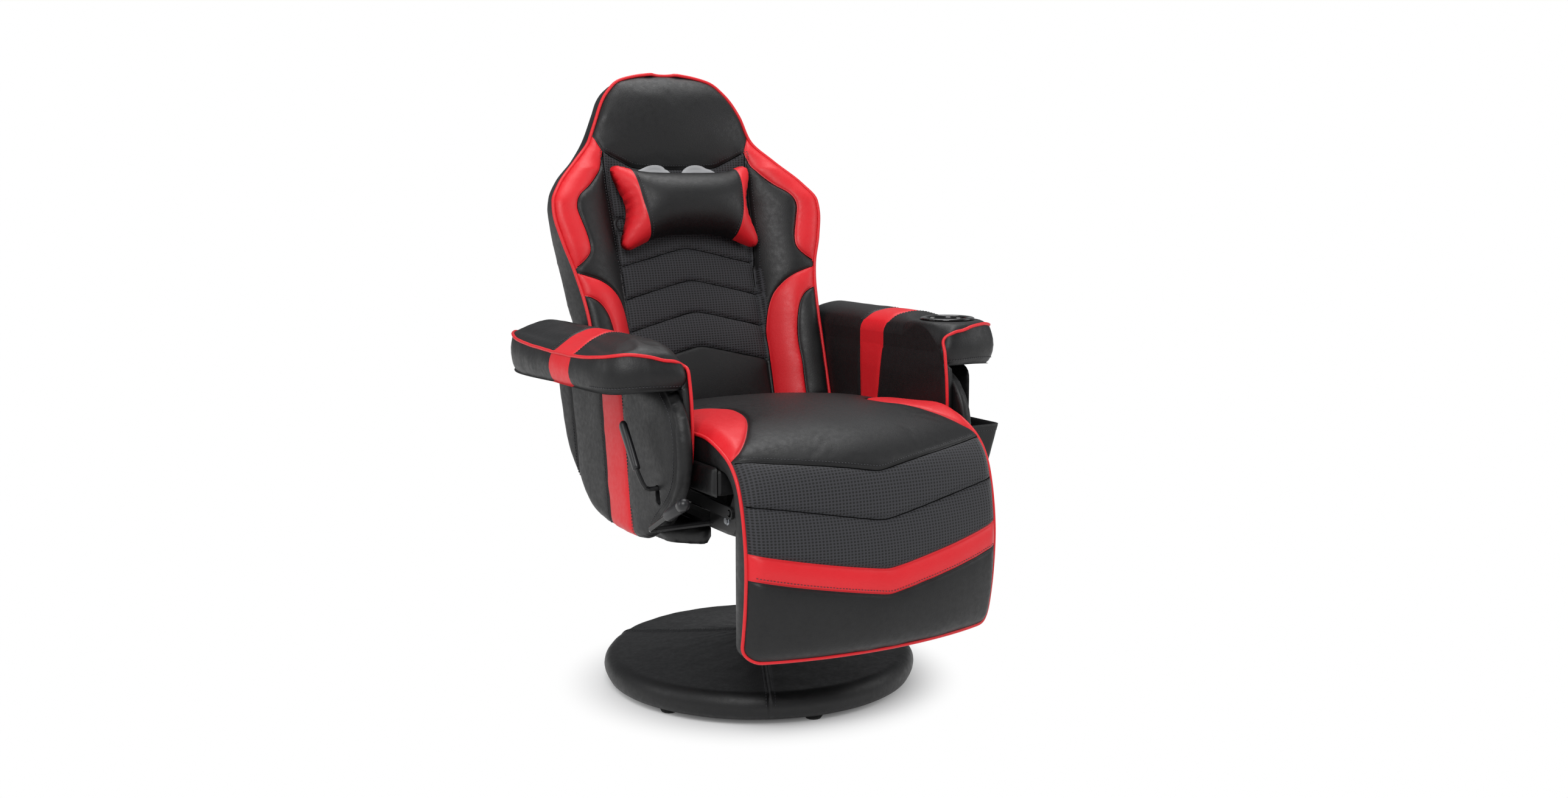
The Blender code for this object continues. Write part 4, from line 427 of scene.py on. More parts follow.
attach(base_cover, "base")
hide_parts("base_cover")

seam_rows = []
for seam in BASE_SEAMS:
    for side in (-0.0045, 0.0105):
        row = []
        for r, z in base_profile[2:40]:
            a = seam + side / r
            out_r, out_z = base_lift(r, z, a)
            row.append((out_r * cos(a), out_r * sin(a), out_z + 0.0002))
        seam_rows.append(row)
sew("base_stitches", seam_rows, black_stitches, "base")


# ----------------------------------------------------------
# Steel and rubber of the base and lift: powder-coated plate and column, chromed lift rod, moulded rubber feet.
# The same coat is on the chassis, brackets, links and lever rods. Boxes and the handset's case are moulded ABS.
# ----------------------------------------------------------
# Baked powder coat: even black, satin, with a fine orange-peel of about 1.5 mm.
powder_coat = surface("black_powder_coated_steel", "Noise", {"Scale": 1 / 0.0015, "Detail": 2.0}, "#161617",
                      (0.34, 0.5), (0.12, 0.0004))
# Ground and plated rod: bright mirror with faint rings left by the grinding.
chrome = surface("hard_chrome_plate", "Wave", {"Scale": 1 / 0.003, "Distortion": 2.0, "Detail": 2.0}, "#dfe1e4",
                 (0.07, 0.14), settings={"bands_direction": "Z"}, Metallic=1.0)
# Moulded rubber: dull black with a dusty bloom.
rubber = surface("moulded_rubber", "Noise", {"Scale": 1 / 0.008, "Detail": 3.0}, ("#131313", "#222222"), 0.8)
# Injection-moulded ABS: near-black with a fine spark-eroded grain of about 0.8 mm and a low shine.
black_abs = surface("moulded_black_abs", "Noise", {"Scale": 1 / 0.0008, "Detail": 2.0}, "#17171a", (0.32, 0.46),
                    (0.1, 0.0003))

lining_cloth, tree, out = empty_material("spun_bonded_lining")
# Spun-bonded lining: dull black fleece with rows of pressed dots 3 mm apart, no shine.
place = add_node(tree, "ShaderNodeTexCoord")
dots = add_node(tree, "ShaderNodeTexVoronoi", {"Vector": place.outputs["Object"], "Scale": 1 / 0.003,
                                               "Randomness": 0.0})
pressed = add_node(tree, "ShaderNodeMapRange", {"Value": dots.outputs["Distance"], "From Min": 0.15,
                                                "From Max": 0.45})
tone = add_node(tree, "ShaderNodeMix", {"Factor": pressed.outputs["Result"], "A": linear("#08080a"),
                                        "B": linear("#151517")}, data_type="RGBA")
shader = add_node(tree, "ShaderNodeBsdfPrincipled", {"Base Color": tone.outputs["Result"], "Roughness": 0.92})
tree.links.new(shader.outputs[0], out.inputs["Surface"])

FINISHES = (
    (powder_coat, ("base_plate", "column_tube", "seat_plate", "chassis_frame", "back_frame", "recline_bracket_left",
                   "recline_bracket_right", "footrest_bracket_left", "footrest_bracket_right", "drive_link_left",
                   "drive_link_right", "recline_lever_rod", "height_lever_arm")),
    (chrome, ("lift_piston", "recline_pin_left", "recline_pin_right", "footrest_hinge_rod")),
    (rubber, tuple("base_foot_%d" % (i + 1) for i in range(6))),
    (lining_cloth, ("footrest_board",)),
    (black_abs, ("control_box", "massage_motor_upper", "massage_motor_lower", "handset_case_front",
                 "handset_case_back")))


def coat(material, *names):
    """Give solids of the frame another material."""
    for name in names:
        nodes[name].data.materials.clear()
        nodes[name].data.materials.append(material)


for material, names in FINISHES:
    coat(material, *names)


# ----------------------------------------------------------
# Seat and footrest cover: one length of leatherette and spacer mesh sewn in panels, drawn over the seat's foam,
# down over the knee and round the footrest board, with red piping along both sides and round the bottom.
# ----------------------------------------------------------
def eased(pairs, value):
    """Values on a smooth line through (place, value) pairs that never overshoots them; takes arrays."""
    places = np.array([p for p, v in pairs], dtype=float)
    values = np.array([v for p, v in pairs], dtype=float)
    gaps = np.diff(places)
    rises = np.diff(values) / gaps
    slopes = np.zeros(len(places))
    for k in range(1, len(places) - 1):
        if rises[k - 1] * rises[k] > 0:
            before, after = 2 * gaps[k] + gaps[k - 1], gaps[k] + 2 * gaps[k - 1]
            slopes[k] = (before + after) / (before / rises[k - 1] + after / rises[k])
    slopes[0], slopes[-1] = rises[0], rises[-1]
    value = np.clip(np.asarray(value, dtype=float), places[0], places[-1])
    i = np.clip(np.searchsorted(places, value) - 1, 0, len(places) - 2)
    t = (value - places[i]) / gaps[i]
    return ((1 + 2 * t) * (1 - t) ** 2 * values[i] + t * (1 - t) ** 2 * gaps[i] * slopes[i]
            + t * t * (3 - 2 * t) * values[i + 1] + t * t * (t - 1) * gaps[i] * slopes[i + 1])


def ramp(values, reach):
    """Values as shares of a reach, held between 0 and 1."""
    return np.clip(values / reach, 0, 1)


def quarter(share):
    """Height of a quarter circle at a share of its width: steep at 0 and level at 1."""
    return np.sqrt(1 - (1 - share) ** 2)


def flat_curve(knots, per_span=6, closed=False):
    """A smooth flat line through knots."""
    return np.array([p.xy for p in smooth_route([(*k, 0) for k in knots], per_span, closed)])


def xyz(x, y, z):
    """Points from their three coordinates, of which some may be single values."""
    return np.stack(np.broadcast_arrays(x, y, z), axis=-1).astype(float)


def moved_aside(line, aside):
    """A flat line moved sideways."""
    heading = np.gradient(line, axis=0)
    heading /= np.maximum(np.linalg.norm(heading, axis=1), 1e-9)[:, None]
    return line + np.stack([-heading[:, 1], heading[:, 0]], axis=1) * aside


def ring_faces(rings, count, closed=False):
    """Faces between rings of as many points each, the last joined to the first or both closed by caps."""
    faces = []
    for k in range(rings if closed else rings - 1):
        a, b = k * count, (k + 1) % rings * count
        faces += [(a + i, a + (i + 1) % count, b + (i + 1) % count, b + i) for i in range(count)]
    if not closed:
        faces += [tuple(range(count)), tuple(range(rings * count - 1, (rings - 1) * count - 1, -1))]
    return faces


def spaced(line, step, closed=False):
    """Points along a line of points, about a step apart, with the ends kept."""
    points = [np.array(p, dtype=float) for p in line] + ([np.array(line[0], dtype=float)] if closed else [])
    lengths = np.cumsum([0.0] + [float(np.linalg.norm(b - a)) for a, b in zip(points, points[1:])])
    count = max(2, round(lengths[-1] / step) + 1)
    places = np.linspace(0.0, lengths[-1], count)
    stack = np.array(points)
    result = np.stack([np.interp(places, lengths, stack[:, k]) for k in range(stack.shape[1])], axis=1)
    return result[:-1] if closed else result


def off_lines(points, lines):
    """Distance of each flat point to the nearest of some lines of points."""
    best = np.full(len(points), 1e9)
    for line in lines:
        line = np.asarray(line, dtype=float)
        for a, b in zip(line, line[1:]):
            run_ab = b - a
            length = float(run_ab @ run_ab)
            if length == 0:
                continue
            t = np.clip(((points - a) @ run_ab) / length, 0.0, 1.0)
            best = np.minimum(best, np.linalg.norm(points - a - t[:, None] * run_ab, axis=1))
    return best


def off_outline(points, outline):
    """Distance of each flat point to a closed outline."""
    return off_lines(points, [np.vstack([outline, outline[:1]])])


SEAM_FADE, SEAM_WIDTH, LINE_STEP = 0.014, 0.0022, 0.006


def seam_swell(off, puff, dip):
    """Height of a padded panel at a distance from its seams: puffed up between them and drawn down along them."""
    return puff * (1 - np.exp(-off / SEAM_FADE)) - dip * np.exp(-(off / SEAM_WIDTH) ** 2)


def inside(points, outline):
    """Which flat points lie inside a closed outline."""
    result = np.zeros(len(points), dtype=bool)
    x, y = points[:, 0], points[:, 1]
    for (ax, ay), (bx, by) in zip(outline, np.roll(outline, -1, axis=0)):
        if ay == by:
            continue
        crossing = ((ay > y) != (by > y)) & (x < (bx - ax) * (y - ay) / (by - ay) + ax)
        result ^= crossing
    return result


SEAM_ROWS, SEAM_CLEAR = (-0.0048, -0.0023, 0.0023, 0.0048), 0.002


def cut_panel(outline, seams, step):
    """A flat panel cut to an outline and meshed so that its seams are mesh lines: points, triangles, rim."""
    rim = spaced(outline, step, closed=True)
    lines = [spaced(seam, step) for seam in seams]
    points = [tuple(p) for p in rim]
    edges = [(i, (i + 1) % len(rim)) for i in range(len(rim))]
    for line in lines:
        first = len(points)
        points += [tuple(p) for p in line]
        edges += [(first + i, first + i + 1) for i in range(len(line) - 1)]
    if lines:
        beside = np.vstack([moved_aside(line, off) for line in lines for off in SEAM_ROWS])
        beside = beside[inside(beside, rim)]
        beside = beside[np.minimum(off_outline(beside, rim), off_lines(beside, lines)) > SEAM_CLEAR]
        points += [tuple(p) for p in beside]
    low, high = rim.min(axis=0), rim.max(axis=0)
    row_step = step * sqrt(3) / 2
    grid = np.array([(low[0] + step * (i + 0.5 * (j % 2)), low[1] + row_step * j)
                     for j in range(int((high[1] - low[1]) / row_step) + 2)
                     for i in range(int((high[0] - low[0]) / step) + 2)])
    grid = grid[inside(grid, rim)]
    grid = grid[off_outline(grid, rim) > 0.55 * step]
    if lines:
        grid = grid[off_lines(grid, lines) > SEAM_ROWS[-1] + 0.45 * step]
    points += [tuple(p) for p in grid]
    made, _, triangles, _, _, _ = delaunay_2d_cdt([Vector(p) for p in points], edges, [], 0, 1e-6)
    flat = np.array([(p.x, p.y) for p in made])
    triangles = np.array([t for t in triangles if len(t) == 3])
    triangles = triangles[inside(flat[triangles].mean(axis=1), rim)]
    a, b, c = (flat[triangles[:, k]] for k in range(3))
    area = (b[:, 0] - a[:, 0]) * (c[:, 1] - a[:, 1]) - (c[:, 0] - a[:, 0]) * (b[:, 1] - a[:, 1])
    triangles = triangles[np.abs(area) > 1e-10]
    area = area[np.abs(area) > 1e-10]
    triangles[area < 0] = triangles[area < 0][:, ::-1]
    used = np.unique(triangles)
    renumber = np.full(len(flat), -1)
    renumber[used] = np.arange(len(used))
    flat, triangles = flat[used], renumber[triangles]
    pairs = {(int(t[k]), int(t[(k + 1) % 3])) for t in triangles for k in range(3)}
    following = {i: j for i, j in pairs if (j, i) not in pairs}
    start = next(iter(following))
    loop = [start]
    while following[loop[-1]] != start:
        loop.append(following[loop[-1]])
    return flat, triangles, loop


def pad_from_panel(name, flat, triangles, loop, front, back, sides, materials, panel_of=None, wall=0):
    """A closed pad: the panel's front, its back, and a wall of rings between their rims, with a UV in metres."""
    count = len(flat)
    points = np.vstack([front, back])
    faces = [tuple(t) for t in triangles] + [tuple(t[::-1] + count) for t in triangles]
    wall = np.broadcast_to(np.asarray(wall), len(loop))
    of_face = [0] * len(triangles) if panel_of is None else list(panel_of)
    of_face += [int(wall[0])] * len(triangles)
    rings = [[int(i) for i in loop]]
    for ring in sides:
        first = len(points)
        points = np.vstack([points, ring])
        rings.append(list(range(first, first + len(loop))))
    rings.append([int(i) + count for i in loop])
    for upper, lower in zip(rings, rings[1:]):
        for i in range(len(loop)):
            j = (i + 1) % len(loop)
            faces.append((upper[j], upper[i], lower[i], lower[j]))
            of_face.append(int(wall[i]))
    piece = mesh_piece(name, points, faces, materials, of_face)
    flat_all = np.vstack([flat, flat] + [flat[loop]] * len(sides))
    uv = piece.data.uv_layers.new(name="cloth")
    corner = np.zeros(len(piece.data.loops), dtype=np.int32)
    piece.data.loops.foreach_get("vertex_index", corner)
    uv.data.foreach_set("uv", flat_all[corner].astype(np.float32).ravel())
    return piece


def soft_block(name, low, high, radius, material, segments=3):
    """A block with round edges."""
    shape = bmesh.new()
    bmesh.ops.create_cube(shape, size=1.0)
    for vertex in shape.verts:
        vertex.co = [(a + b) / 2 + c * (b - a) for a, b, c in zip(low, high, vertex.co)]
    bmesh.ops.bevel(shape, geom=shape.edges[:], offset=radius, segments=segments, affect="EDGES", profile=0.5)
    mesh = bpy.data.meshes.new(name)
    shape.to_mesh(mesh)
    shape.free()
    mesh.materials.append(material)
    mesh.polygons.foreach_set("use_smooth", np.full(len(mesh.polygons), True))
    return linked(name, mesh)


def wrinkle(points, size, seed):
    """Smooth noise at each point, from -1 to 1."""
    return np.array([noise.noise(Vector((float(p[0]) / size + seed, float(p[1]) / size, 3.7 * seed)))
                     for p in points])


def piping(name, lines, radius, material, body):
    """Sewn piping: a round cord in a tube of leatherette along lines of points."""
    piece = plain_mesh(round_cord(name, lines, radius, material), body)
    piece.data.polygons.foreach_set("use_smooth", np.full(len(piece.data.polygons), True))
    return piece


def inflate(piece, free, cap, pressure=4.0, slack=0.0):
    """Cloth simulation: the cover swells off its foam where it is free, and at most by the cap."""
    rest = np.array([v.co for v in piece.data.vertices])
    held = piece.vertex_groups.new(name="held")
    for i, weight in enumerate(free):
        held.add([i], 1 - float(weight), "REPLACE")
    cloth = piece.modifiers.new("cloth", "CLOTH")
    cloth.settings.vertex_group_mass = "held"
    cloth.settings.quality = 5
    cloth.settings.use_pressure = True
    cloth.settings.uniform_pressure_force = pressure
    cloth.settings.effector_weights.gravity = 0.0
    cloth.settings.shrink_min = -slack
    cloth.settings.bending_stiffness = 0.4
    cloth.collision_settings.use_collision = False
    cloth.point_cache.frame_start, cloth.point_cache.frame_end = 1, 20
    for step in range(1, 21):
        scene.frame_set(step)
    graph = bpy.context.evaluated_depsgraph_get()
    swollen = np.array([v.co for v in piece.evaluated_get(graph).data.vertices])
    piece.modifiers.clear()
    piece.vertex_groups.clear()
    scene.frame_set(1)
    move = (swollen - rest) * np.asarray(free)[:, None]
    reach = np.linalg.norm(move, axis=1)
    move *= (np.tanh(reach / cap) * cap / np.maximum(reach, 1e-9))[:, None]
    piece.data.vertices.foreach_set("co", (rest + move).astype(np.float32).ravel())
    piece.data.update()


def laid_on(piece, lines, rise=0.0004):
    """Lines of points carried onto the nearest surface of a piece, and a little above it."""
    surface = BVHTree.FromPolygons([v.co for v in piece.data.vertices], [p.vertices for p in piece.data.polygons])
    result = []
    for line in lines:
        row = []
        for point in line:
            place, square, _, _ = surface.find_nearest(Vector([float(v) for v in point]))
            row.append(place + square * rise)
        result.append(row)
    return result


spacer_mesh, tree, out = empty_material("black_spacer_mesh")
# Knitted spacer mesh: open cells between raised yarns, dull, the cells painted near-black as the shade inside them. The
# real cells, 4.5 mm apart, are too fine to show, so they are drawn 6 mm apart.
MESH_PITCH = 0.006
cloth = add_node(tree, "ShaderNodeUVMap", uv_map="cloth")
cells = add_node(tree, "ShaderNodeVectorMath", {0: cloth.outputs["UV"], 1: (1 / MESH_PITCH, 1.25 / MESH_PITCH, 1)},
                 operation="MULTIPLY")
cell = add_node(tree, "ShaderNodeVectorMath", {0: cells.outputs[0]}, operation="FRACTION")
middle = add_node(tree, "ShaderNodeVectorMath", {0: cell.outputs[0], 1: (0.5, 0.5, 0.0)}, operation="SUBTRACT")
flat_place = add_node(tree, "ShaderNodeVectorMath", {0: middle.outputs[0], 1: (1, 1, 0)}, operation="MULTIPLY")
reach = add_node(tree, "ShaderNodeVectorMath", {0: flat_place.outputs[0]}, operation="LENGTH")
yarn = add_node(tree, "ShaderNodeMapRange", {"Value": reach.outputs["Value"], "From Min": 0.22, "From Max": 0.44},
                interpolation_type="SMOOTHSTEP")
# A is painted shade in the open cells, B the yarns' own tone.
tone = add_node(tree, "ShaderNodeMix", {"Factor": yarn.outputs["Result"], "A": linear("#020203"),
                                        "B": linear("#303034")}, data_type="RGBA")
bump = add_node(tree, "ShaderNodeBump", {"Height": yarn.outputs["Result"], "Strength": 0.5, "Distance": 0.0012})
shader = add_node(tree, "ShaderNodeBsdfPrincipled", {
    "Base Color": tone.outputs["Result"], "Roughness": 0.72, "Normal": bump.outputs["Normal"],
    "Sheen Weight": 0.12, "Sheen Roughness": 0.4})
tree.links.new(shader.outputs[0], out.inputs["Surface"])

COVER_HALF = 0.236
COVER_SIDE = ((0.122, 0.459), (0.112, 0.483), (0.02, 0.497), (-0.1, 0.509), (-0.2125, 0.513), (-0.267, 0.511),
              (-0.319, 0.496), (-0.354, 0.476), (-0.379, 0.443), (-0.395, 0.389), (-0.403, 0.3245),
              (-0.4, 0.256), (-0.3905, 0.196), (-0.38, 0.165))
COVER_MIDDLE = ((0.122, 0.459), (0.11, 0.497), (0.02, 0.511), (-0.1, 0.523), (-0.215, 0.526), (-0.275, 0.522),
                (-0.335, 0.508), (-0.378, 0.484), (-0.403, 0.454), (-0.4185, 0.385), (-0.433, 0.318),
                (-0.439, 0.257), (-0.435, 0.196), (-0.418, 0.163))
COVER_INNER = ((0.122, 0.4575), (0.112, 0.4572), (0.02, 0.4572), (-0.1, 0.4572), (-0.2125, 0.4572),
               (-0.262, 0.4572), (-0.3, 0.457), (-0.325, 0.452), (-0.345, 0.43), (-0.352, 0.389),
               (-0.352, 0.3245), (-0.352, 0.256), (-0.352, 0.196), (-0.352, 0.165))
COVER_FINE = 10
fine_side, fine_middle, fine_inner = (flat_curve(knots, COVER_FINE)
                                      for knots in (COVER_SIDE, COVER_MIDDLE, COVER_INNER))
steps_side = np.linalg.norm(np.diff((fine_side + fine_middle) / 2, axis=0), axis=1)
fine_run = np.concatenate([[0.0], np.cumsum(steps_side)])
COVER_LENGTH = fine_run[-1]


def cover_run(knot):
    """Length along the cover, from its rear edge, at a place counted in profile knots."""
    return float(np.interp(knot * COVER_FINE, np.arange(len(fine_run)), fine_run))


def cover_point(x, run_at):
    """Points on the cover's plain form, before its seams, at a place across and a length along it."""
    u = ramp(np.abs(x), COVER_HALF)
    fuller = (1 - u * u) ** 0.9
    edge = ramp(u - 0.9, 0.1) ** 2
    points = []
    for k in range(2):
        side = np.interp(run_at, fine_run, fine_side[:, k])
        middle = np.interp(run_at, fine_run, fine_middle[:, k])
        inner = np.interp(run_at, fine_run, fine_inner[:, k])
        place = side + (middle - side) * fuller
        depth = np.hypot(*(np.interp(run_at, fine_run, fine_inner[:, m]) -
                           np.interp(run_at, fine_run, fine_side[:, m]) for m in range(2)))
        points.append(place + (inner - place) * edge * np.clip(0.01 / np.maximum(depth, 0.012), 0, 0.6))
    # The left edge is stuffed a little fuller than the right one above the knee.
    fuller_left = ramp(x, COVER_HALF) ** 3 * np.exp(-((points[0] + 0.27) / 0.075) ** 2)
    return xyz(x, points[0] - 0.002 * fuller_left, points[1] + 0.009 * fuller_left)


def cover_inside(x, run_at):
    """Points on the underside of the cover's foam."""
    return xyz(0.985 * x, *(np.interp(run_at, fine_run, fine_inner[:, k]) for k in range(2)))


def cover_square(x, run_at):
    """Directions square to the cover's plain form, outwards."""
    small = 0.001
    across = cover_point(x + small, run_at) - cover_point(x - small, run_at)
    lengthways = cover_point(x, run_at + small) - cover_point(x, run_at - small)
    normals = np.cross(across, lengthways)
    normals /= np.maximum(np.linalg.norm(normals, axis=1), 1e-9)[:, None]
    normals[normals[:, 2] - normals[:, 1] < 0] *= -1
    return normals


def knot_at_y(y):
    """Place in profile knots on the top of the seat, for a place front to back."""
    return float(np.interp(-y, -fine_side[:, 0][:COVER_FINE * 8], np.arange(COVER_FINE * 8) / COVER_FINE))


CHEVRONS = ((6.9, 8.05), (8.57, 9.15), (9.73, 10.31), (10.34, 11.0))
LEAF_RIGHT = ((0.236, -0.035), (0.195, -0.048), (0.158, -0.063), (0.135, -0.082), (0.1226, -0.112),
              (0.122, -0.15), (0.131, -0.19), (0.145, -0.225), (0.17, -0.272), (0.205, -0.322))
LEAF_LEFT = ((0.236, -0.055), (0.215, -0.064), (0.19, -0.078), (0.17, -0.097), (0.157, -0.125), (0.15, -0.158),
             (0.15, -0.195), (0.157, -0.23), (0.175, -0.275), (0.207, -0.322))
CHEVRON_ROUND = 0.008
cover_chevrons = []
for side_knot, apex_knot in CHEVRONS:
    side_run, apex_run = cover_run(side_knot), cover_run(apex_knot)
    cover_chevrons.append(np.array([
        (x, apex_run + (side_run - apex_run) * (sqrt(x * x + CHEVRON_ROUND ** 2) - CHEVRON_ROUND)
         / (hypot(COVER_HALF, CHEVRON_ROUND) - CHEVRON_ROUND)) for x in np.linspace(-COVER_HALF, COVER_HALF, 61)]))
tip_run = cover_run(CHEVRONS[0][0])
leaves = []
for side, knots in ((1, LEAF_LEFT), (-1, LEAF_RIGHT)):
    leaf_knots = [(x, cover_run(knot_at_y(y))) for x, y in knots] + [(COVER_HALF, tip_run - 0.004)]
    leaf = flat_curve(leaf_knots)
    leaf[:, 0] = side * np.minimum(leaf[:, 0], COVER_HALF)
    leaves.append(leaf)
corner = 0.03
corner_right = [(COVER_HALF - corner + corner * cos(a), COVER_LENGTH - corner + corner * sin(a))
                for a in np.linspace(0, pi / 2, 8)]
cover_outline = [(-COVER_HALF, 0.0), (COVER_HALF, 0.0)] + corner_right + [(-x, r) for x, r in corner_right[::-1]]
cover_seams = cover_chevrons + leaves
COVER_PUFF, COVER_DIP, COVER_RIM = 0.004, 0.0036, 0.018
flat, triangles, loop = cut_panel(cover_outline, cover_seams, 0.0052)

off_seam = off_lines(flat, cover_seams)
off_rim = off_outline(flat, cover_outline)
puff = seam_swell(off_seam, COVER_PUFF, COVER_DIP) * ramp(off_rim, COVER_RIM)
puff += 0.0011 * wrinkle(flat, 0.03, 1.0) * np.exp(-np.minimum(off_seam, off_rim) / 0.018)
puff += 0.0012 * wrinkle(flat, 0.075, 2.0) * ramp(off_rim, 0.03)
cover_front = cover_point(*flat.T) + cover_square(*flat.T) * puff[:, None]
cover_back = cover_inside(*flat.T)
rim_front, rim_back = cover_front[loop], cover_back[loop]
wall_rings = []
for t in (0.15, 0.4, 0.7, 0.92):
    ring = rim_front + (rim_back - rim_front) * t
    swell = 0.0035 * sin(pi * t) * (1 + 0.5 * wrinkle(ring[:, 1:], 0.03, 5.0 + t))
    ring[:, 0] += np.sign(ring[:, 0]) * np.where(np.abs(ring[:, 0]) > 0.2, swell, 0)
    wall_rings.append(ring)

middles = flat[triangles].mean(axis=1)
cover_panel = np.zeros(len(middles), dtype=int)
for side, leaf in zip((1, -1), leaves):
    leaf_edge = np.interp(middles[:, 1], leaf[:, 1], side * leaf[:, 0], left=1.0, right=1.0)
    cover_panel[side * middles[:, 0] > leaf_edge] = 1
levels = [np.interp(middles[:, 0], c[:, 0], c[:, 1]) for c in cover_chevrons]
cover_panel[(middles[:, 1] > levels[0]) & (middles[:, 1] < levels[2])] = 2
cover_panel[(middles[:, 1] > levels[2]) & (middles[:, 1] < levels[3])] = 1
# The flat panel runs from the rear forwards, so its faces look down and are turned over.
cover = pad_from_panel("seat_and_footrest_cover", flat, triangles[:, ::-1], loop[::-1], cover_front, cover_back,
                       [ring[::-1] for ring in wall_rings], [black_leather, red_leather, spacer_mesh], cover_panel)
free = np.zeros(len(cover.data.vertices))
free[:len(flat)] = ramp(np.minimum(off_seam, off_rim), SEAM_FADE)
inflate(cover, free, 0.006)
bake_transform(cover)
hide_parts("seat_cushion", "footrest_cushion")


def on_cover(line, lift, aside=0.0):
    """A flat line of the cover carried onto its finished surface."""
    line = moved_aside(line, aside)
    rise = seam_swell(off_lines(line, cover_seams), COVER_PUFF, COVER_DIP)
    rise *= ramp(off_outline(line, cover_outline), COVER_RIM)
    return cover_point(*line.T) + cover_square(*line.T) * (rise + lift)[:, None]


# Painted seam shade: thin near-black cords laid in the grooves where two panels meet, standing in for the shade in
# them; dull, a little uneven.
seam_shade_cord = surface("painted_seam_shade", "Noise", {"Scale": 1 / 0.004, "Detail": 2.0}, "#020202", (0.8, 0.95),
                      **{"Specular IOR Level": 0.1})
SHADE_CORD_RADIUS, SHADE_CORD_RISE, STITCH_RISE, STITCH_ASIDE = 0.0012, 0.0003, 0.0004, 0.0065
# Painted seam shade along the cover's two upper chevron seams.
shade_lines = [on_cover(spaced(line, 0.005)[1:-1], 0.0) for line in cover_chevrons[:2]]
cover_seam_shade = piping("cover_painted_seam_shade", [(line, False) for line in laid_on(cover, shade_lines, SHADE_CORD_RISE)], SHADE_CORD_RADIUS,
                     seam_shade_cord, None)
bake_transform(cover_seam_shade)

cover_rows = [on_cover(spaced(line, LINE_STEP)[2:-2], STITCH_RISE, -STITCH_ASIDE) for line in cover_chevrons]
cover_stitches = sew("cover_stitches", laid_on(cover, cover_rows), black_stitches, None)
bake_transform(cover_stitches)

rim_line = spaced([(COVER_HALF, cover_run(0.6))] + corner_right + [(-x, r) for x, r in corner_right[::-1]]
                  + [(-COVER_HALF, cover_run(0.6))], LINE_STEP)
cover_piping = piping("cover_piping", [(cover_point(*rim_line.T), False)], 0.003, red_leather, None)
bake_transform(cover_piping)


# ----------------------------------------------------------
# Back padding: a sewn foam front with a sunken spacer-mesh panel in four chevrons between two bolsters, red
# wings at the shoulders, red bands at the loins and a black head panel, piped in red round its whole edge.
# ----------------------------------------------------------
HINGE_Y, HINGE_Z, BACK_TILT = 0.15, 0.455, radians(17.5)
BACK_WIDTHS = ((0, .2425), (.19, .2425), (.24, .246), (.3, .256), (.355, .272), (.41, .282), (.428, .281),
               (.465, .261), (.52, .212), (.561, .176), (.592, .162), (.614, .153), (.645, .137),
               (.665, .121), (.683, .1), (.695, .06), (.7, .026))
BACK_EDGE = ((0, .013), (.2, .019), (.3, .013), (.36, .016), (.426, .017), (.47, .004), (.52, -.014), (.57, -.026),
             (.614, -.019), (.7, -.022))
BACK_MIDDLE = ((0, -.036), (.3, -.036), (.46, -.04), (.51, -.036), (.58, -.012), (.64, -.007), (.7, -.03))
REAR_WIDTHS = ((0, .24), (.15, .2405), (.2, .243), (.25, .251), (.2925, .255), (.34, .2605), (.39, .265),
               (.43, .266), (.46, .26), (.4925, .2415), (.532, .205), (.5687, .1785), (.6247, .15), (.656, .1345),
               (.684, .104), (.696, .06), (.7, .03))
BACK_BOTTOM, BACK_TOP, PANEL_HALF, BACK_REAR = 0.024, 0.7, 0.144, -0.062
HARNESS_CENTRE, HARNESS_LENGTH, HARNESS_WIDTH, HARNESS_SLANT = (0.063, 0.47), 0.092, 0.052, radians(-33)
GROMMET_CENTRE, GROMMET_BORE, GROMMET_SLEEVE, SLEEVE_REAR = (0.128, 0.4), 0.007, 0.01, -0.0903


def back_place(w, n, s):
    """Points of the back from a place across, a height off its plane and a height up it."""
    w, n, s = (np.asarray(v, float) for v in (w, n, s))
    return xyz(w, HINGE_Y + s * sin(BACK_TILT) - n * cos(BACK_TILT), HINGE_Z + s * cos(BACK_TILT) + n * sin(BACK_TILT))


def back_form(w, s):
    """Height of the padding's plain form off the back's plane: sunken panel, bolsters, level head panel."""
    half = eased(BACK_WIDTHS, s)
    panel = np.minimum(PANEL_HALF, 0.7 * half)
    edge, middle = eased(BACK_EDGE, s), eased(BACK_MIDDLE, s)
    head = eased(((0.5, 0.0), (0.56, 1.0)), s)
    a = np.abs(w)
    d = np.maximum(half - panel, 1e-4)
    # A smooth hill over the bolster: up from the panel's seam, over the crest and down to the piping.
    t = ramp(a - panel, d)
    bolster = middle + (edge - middle) * t ** 0.7 + 0.014 * (1 - head) * np.sin(pi * t) ** 0.9
    hollow = middle - 0.004 * (1 - head) * np.exp(-((panel - a) / 0.012) ** 2)
    head_form = middle + (edge - middle) * ramp(a, half) ** 2.4
    plain = np.where(a <= panel, hollow, bolster)
    return plain * (1 - head) + head_form * head


def mirror_line(line):
    """A line of the back's other side."""
    return [(-w, s) for w, s in line]


def harness_oval(side, grow, count=48):
    """Outline of a harness opening in the back, grown all round."""
    angles = np.linspace(0, 2 * pi, count, endpoint=False)
    u, v = (HARNESS_LENGTH / 2 + grow) * np.cos(angles), (HARNESS_WIDTH / 2 + grow) * np.sin(angles)
    return np.stack([side * (HARNESS_CENTRE[0] + u * cos(HARNESS_SLANT) - v * sin(HARNESS_SLANT)),
                     HARNESS_CENTRE[1] + u * sin(HARNESS_SLANT) + v * cos(HARNESS_SLANT)], axis=1)


def grommet_ring(side, radius, count=32):
    """A circle about a grommet's middle."""
    angles = np.linspace(0, 2 * pi, count, endpoint=False)
    return np.stack([side * (GROMMET_CENTRE[0] + radius * np.cos(angles)),
                     GROMMET_CENTRE[1] + radius * np.sin(angles)], axis=1)


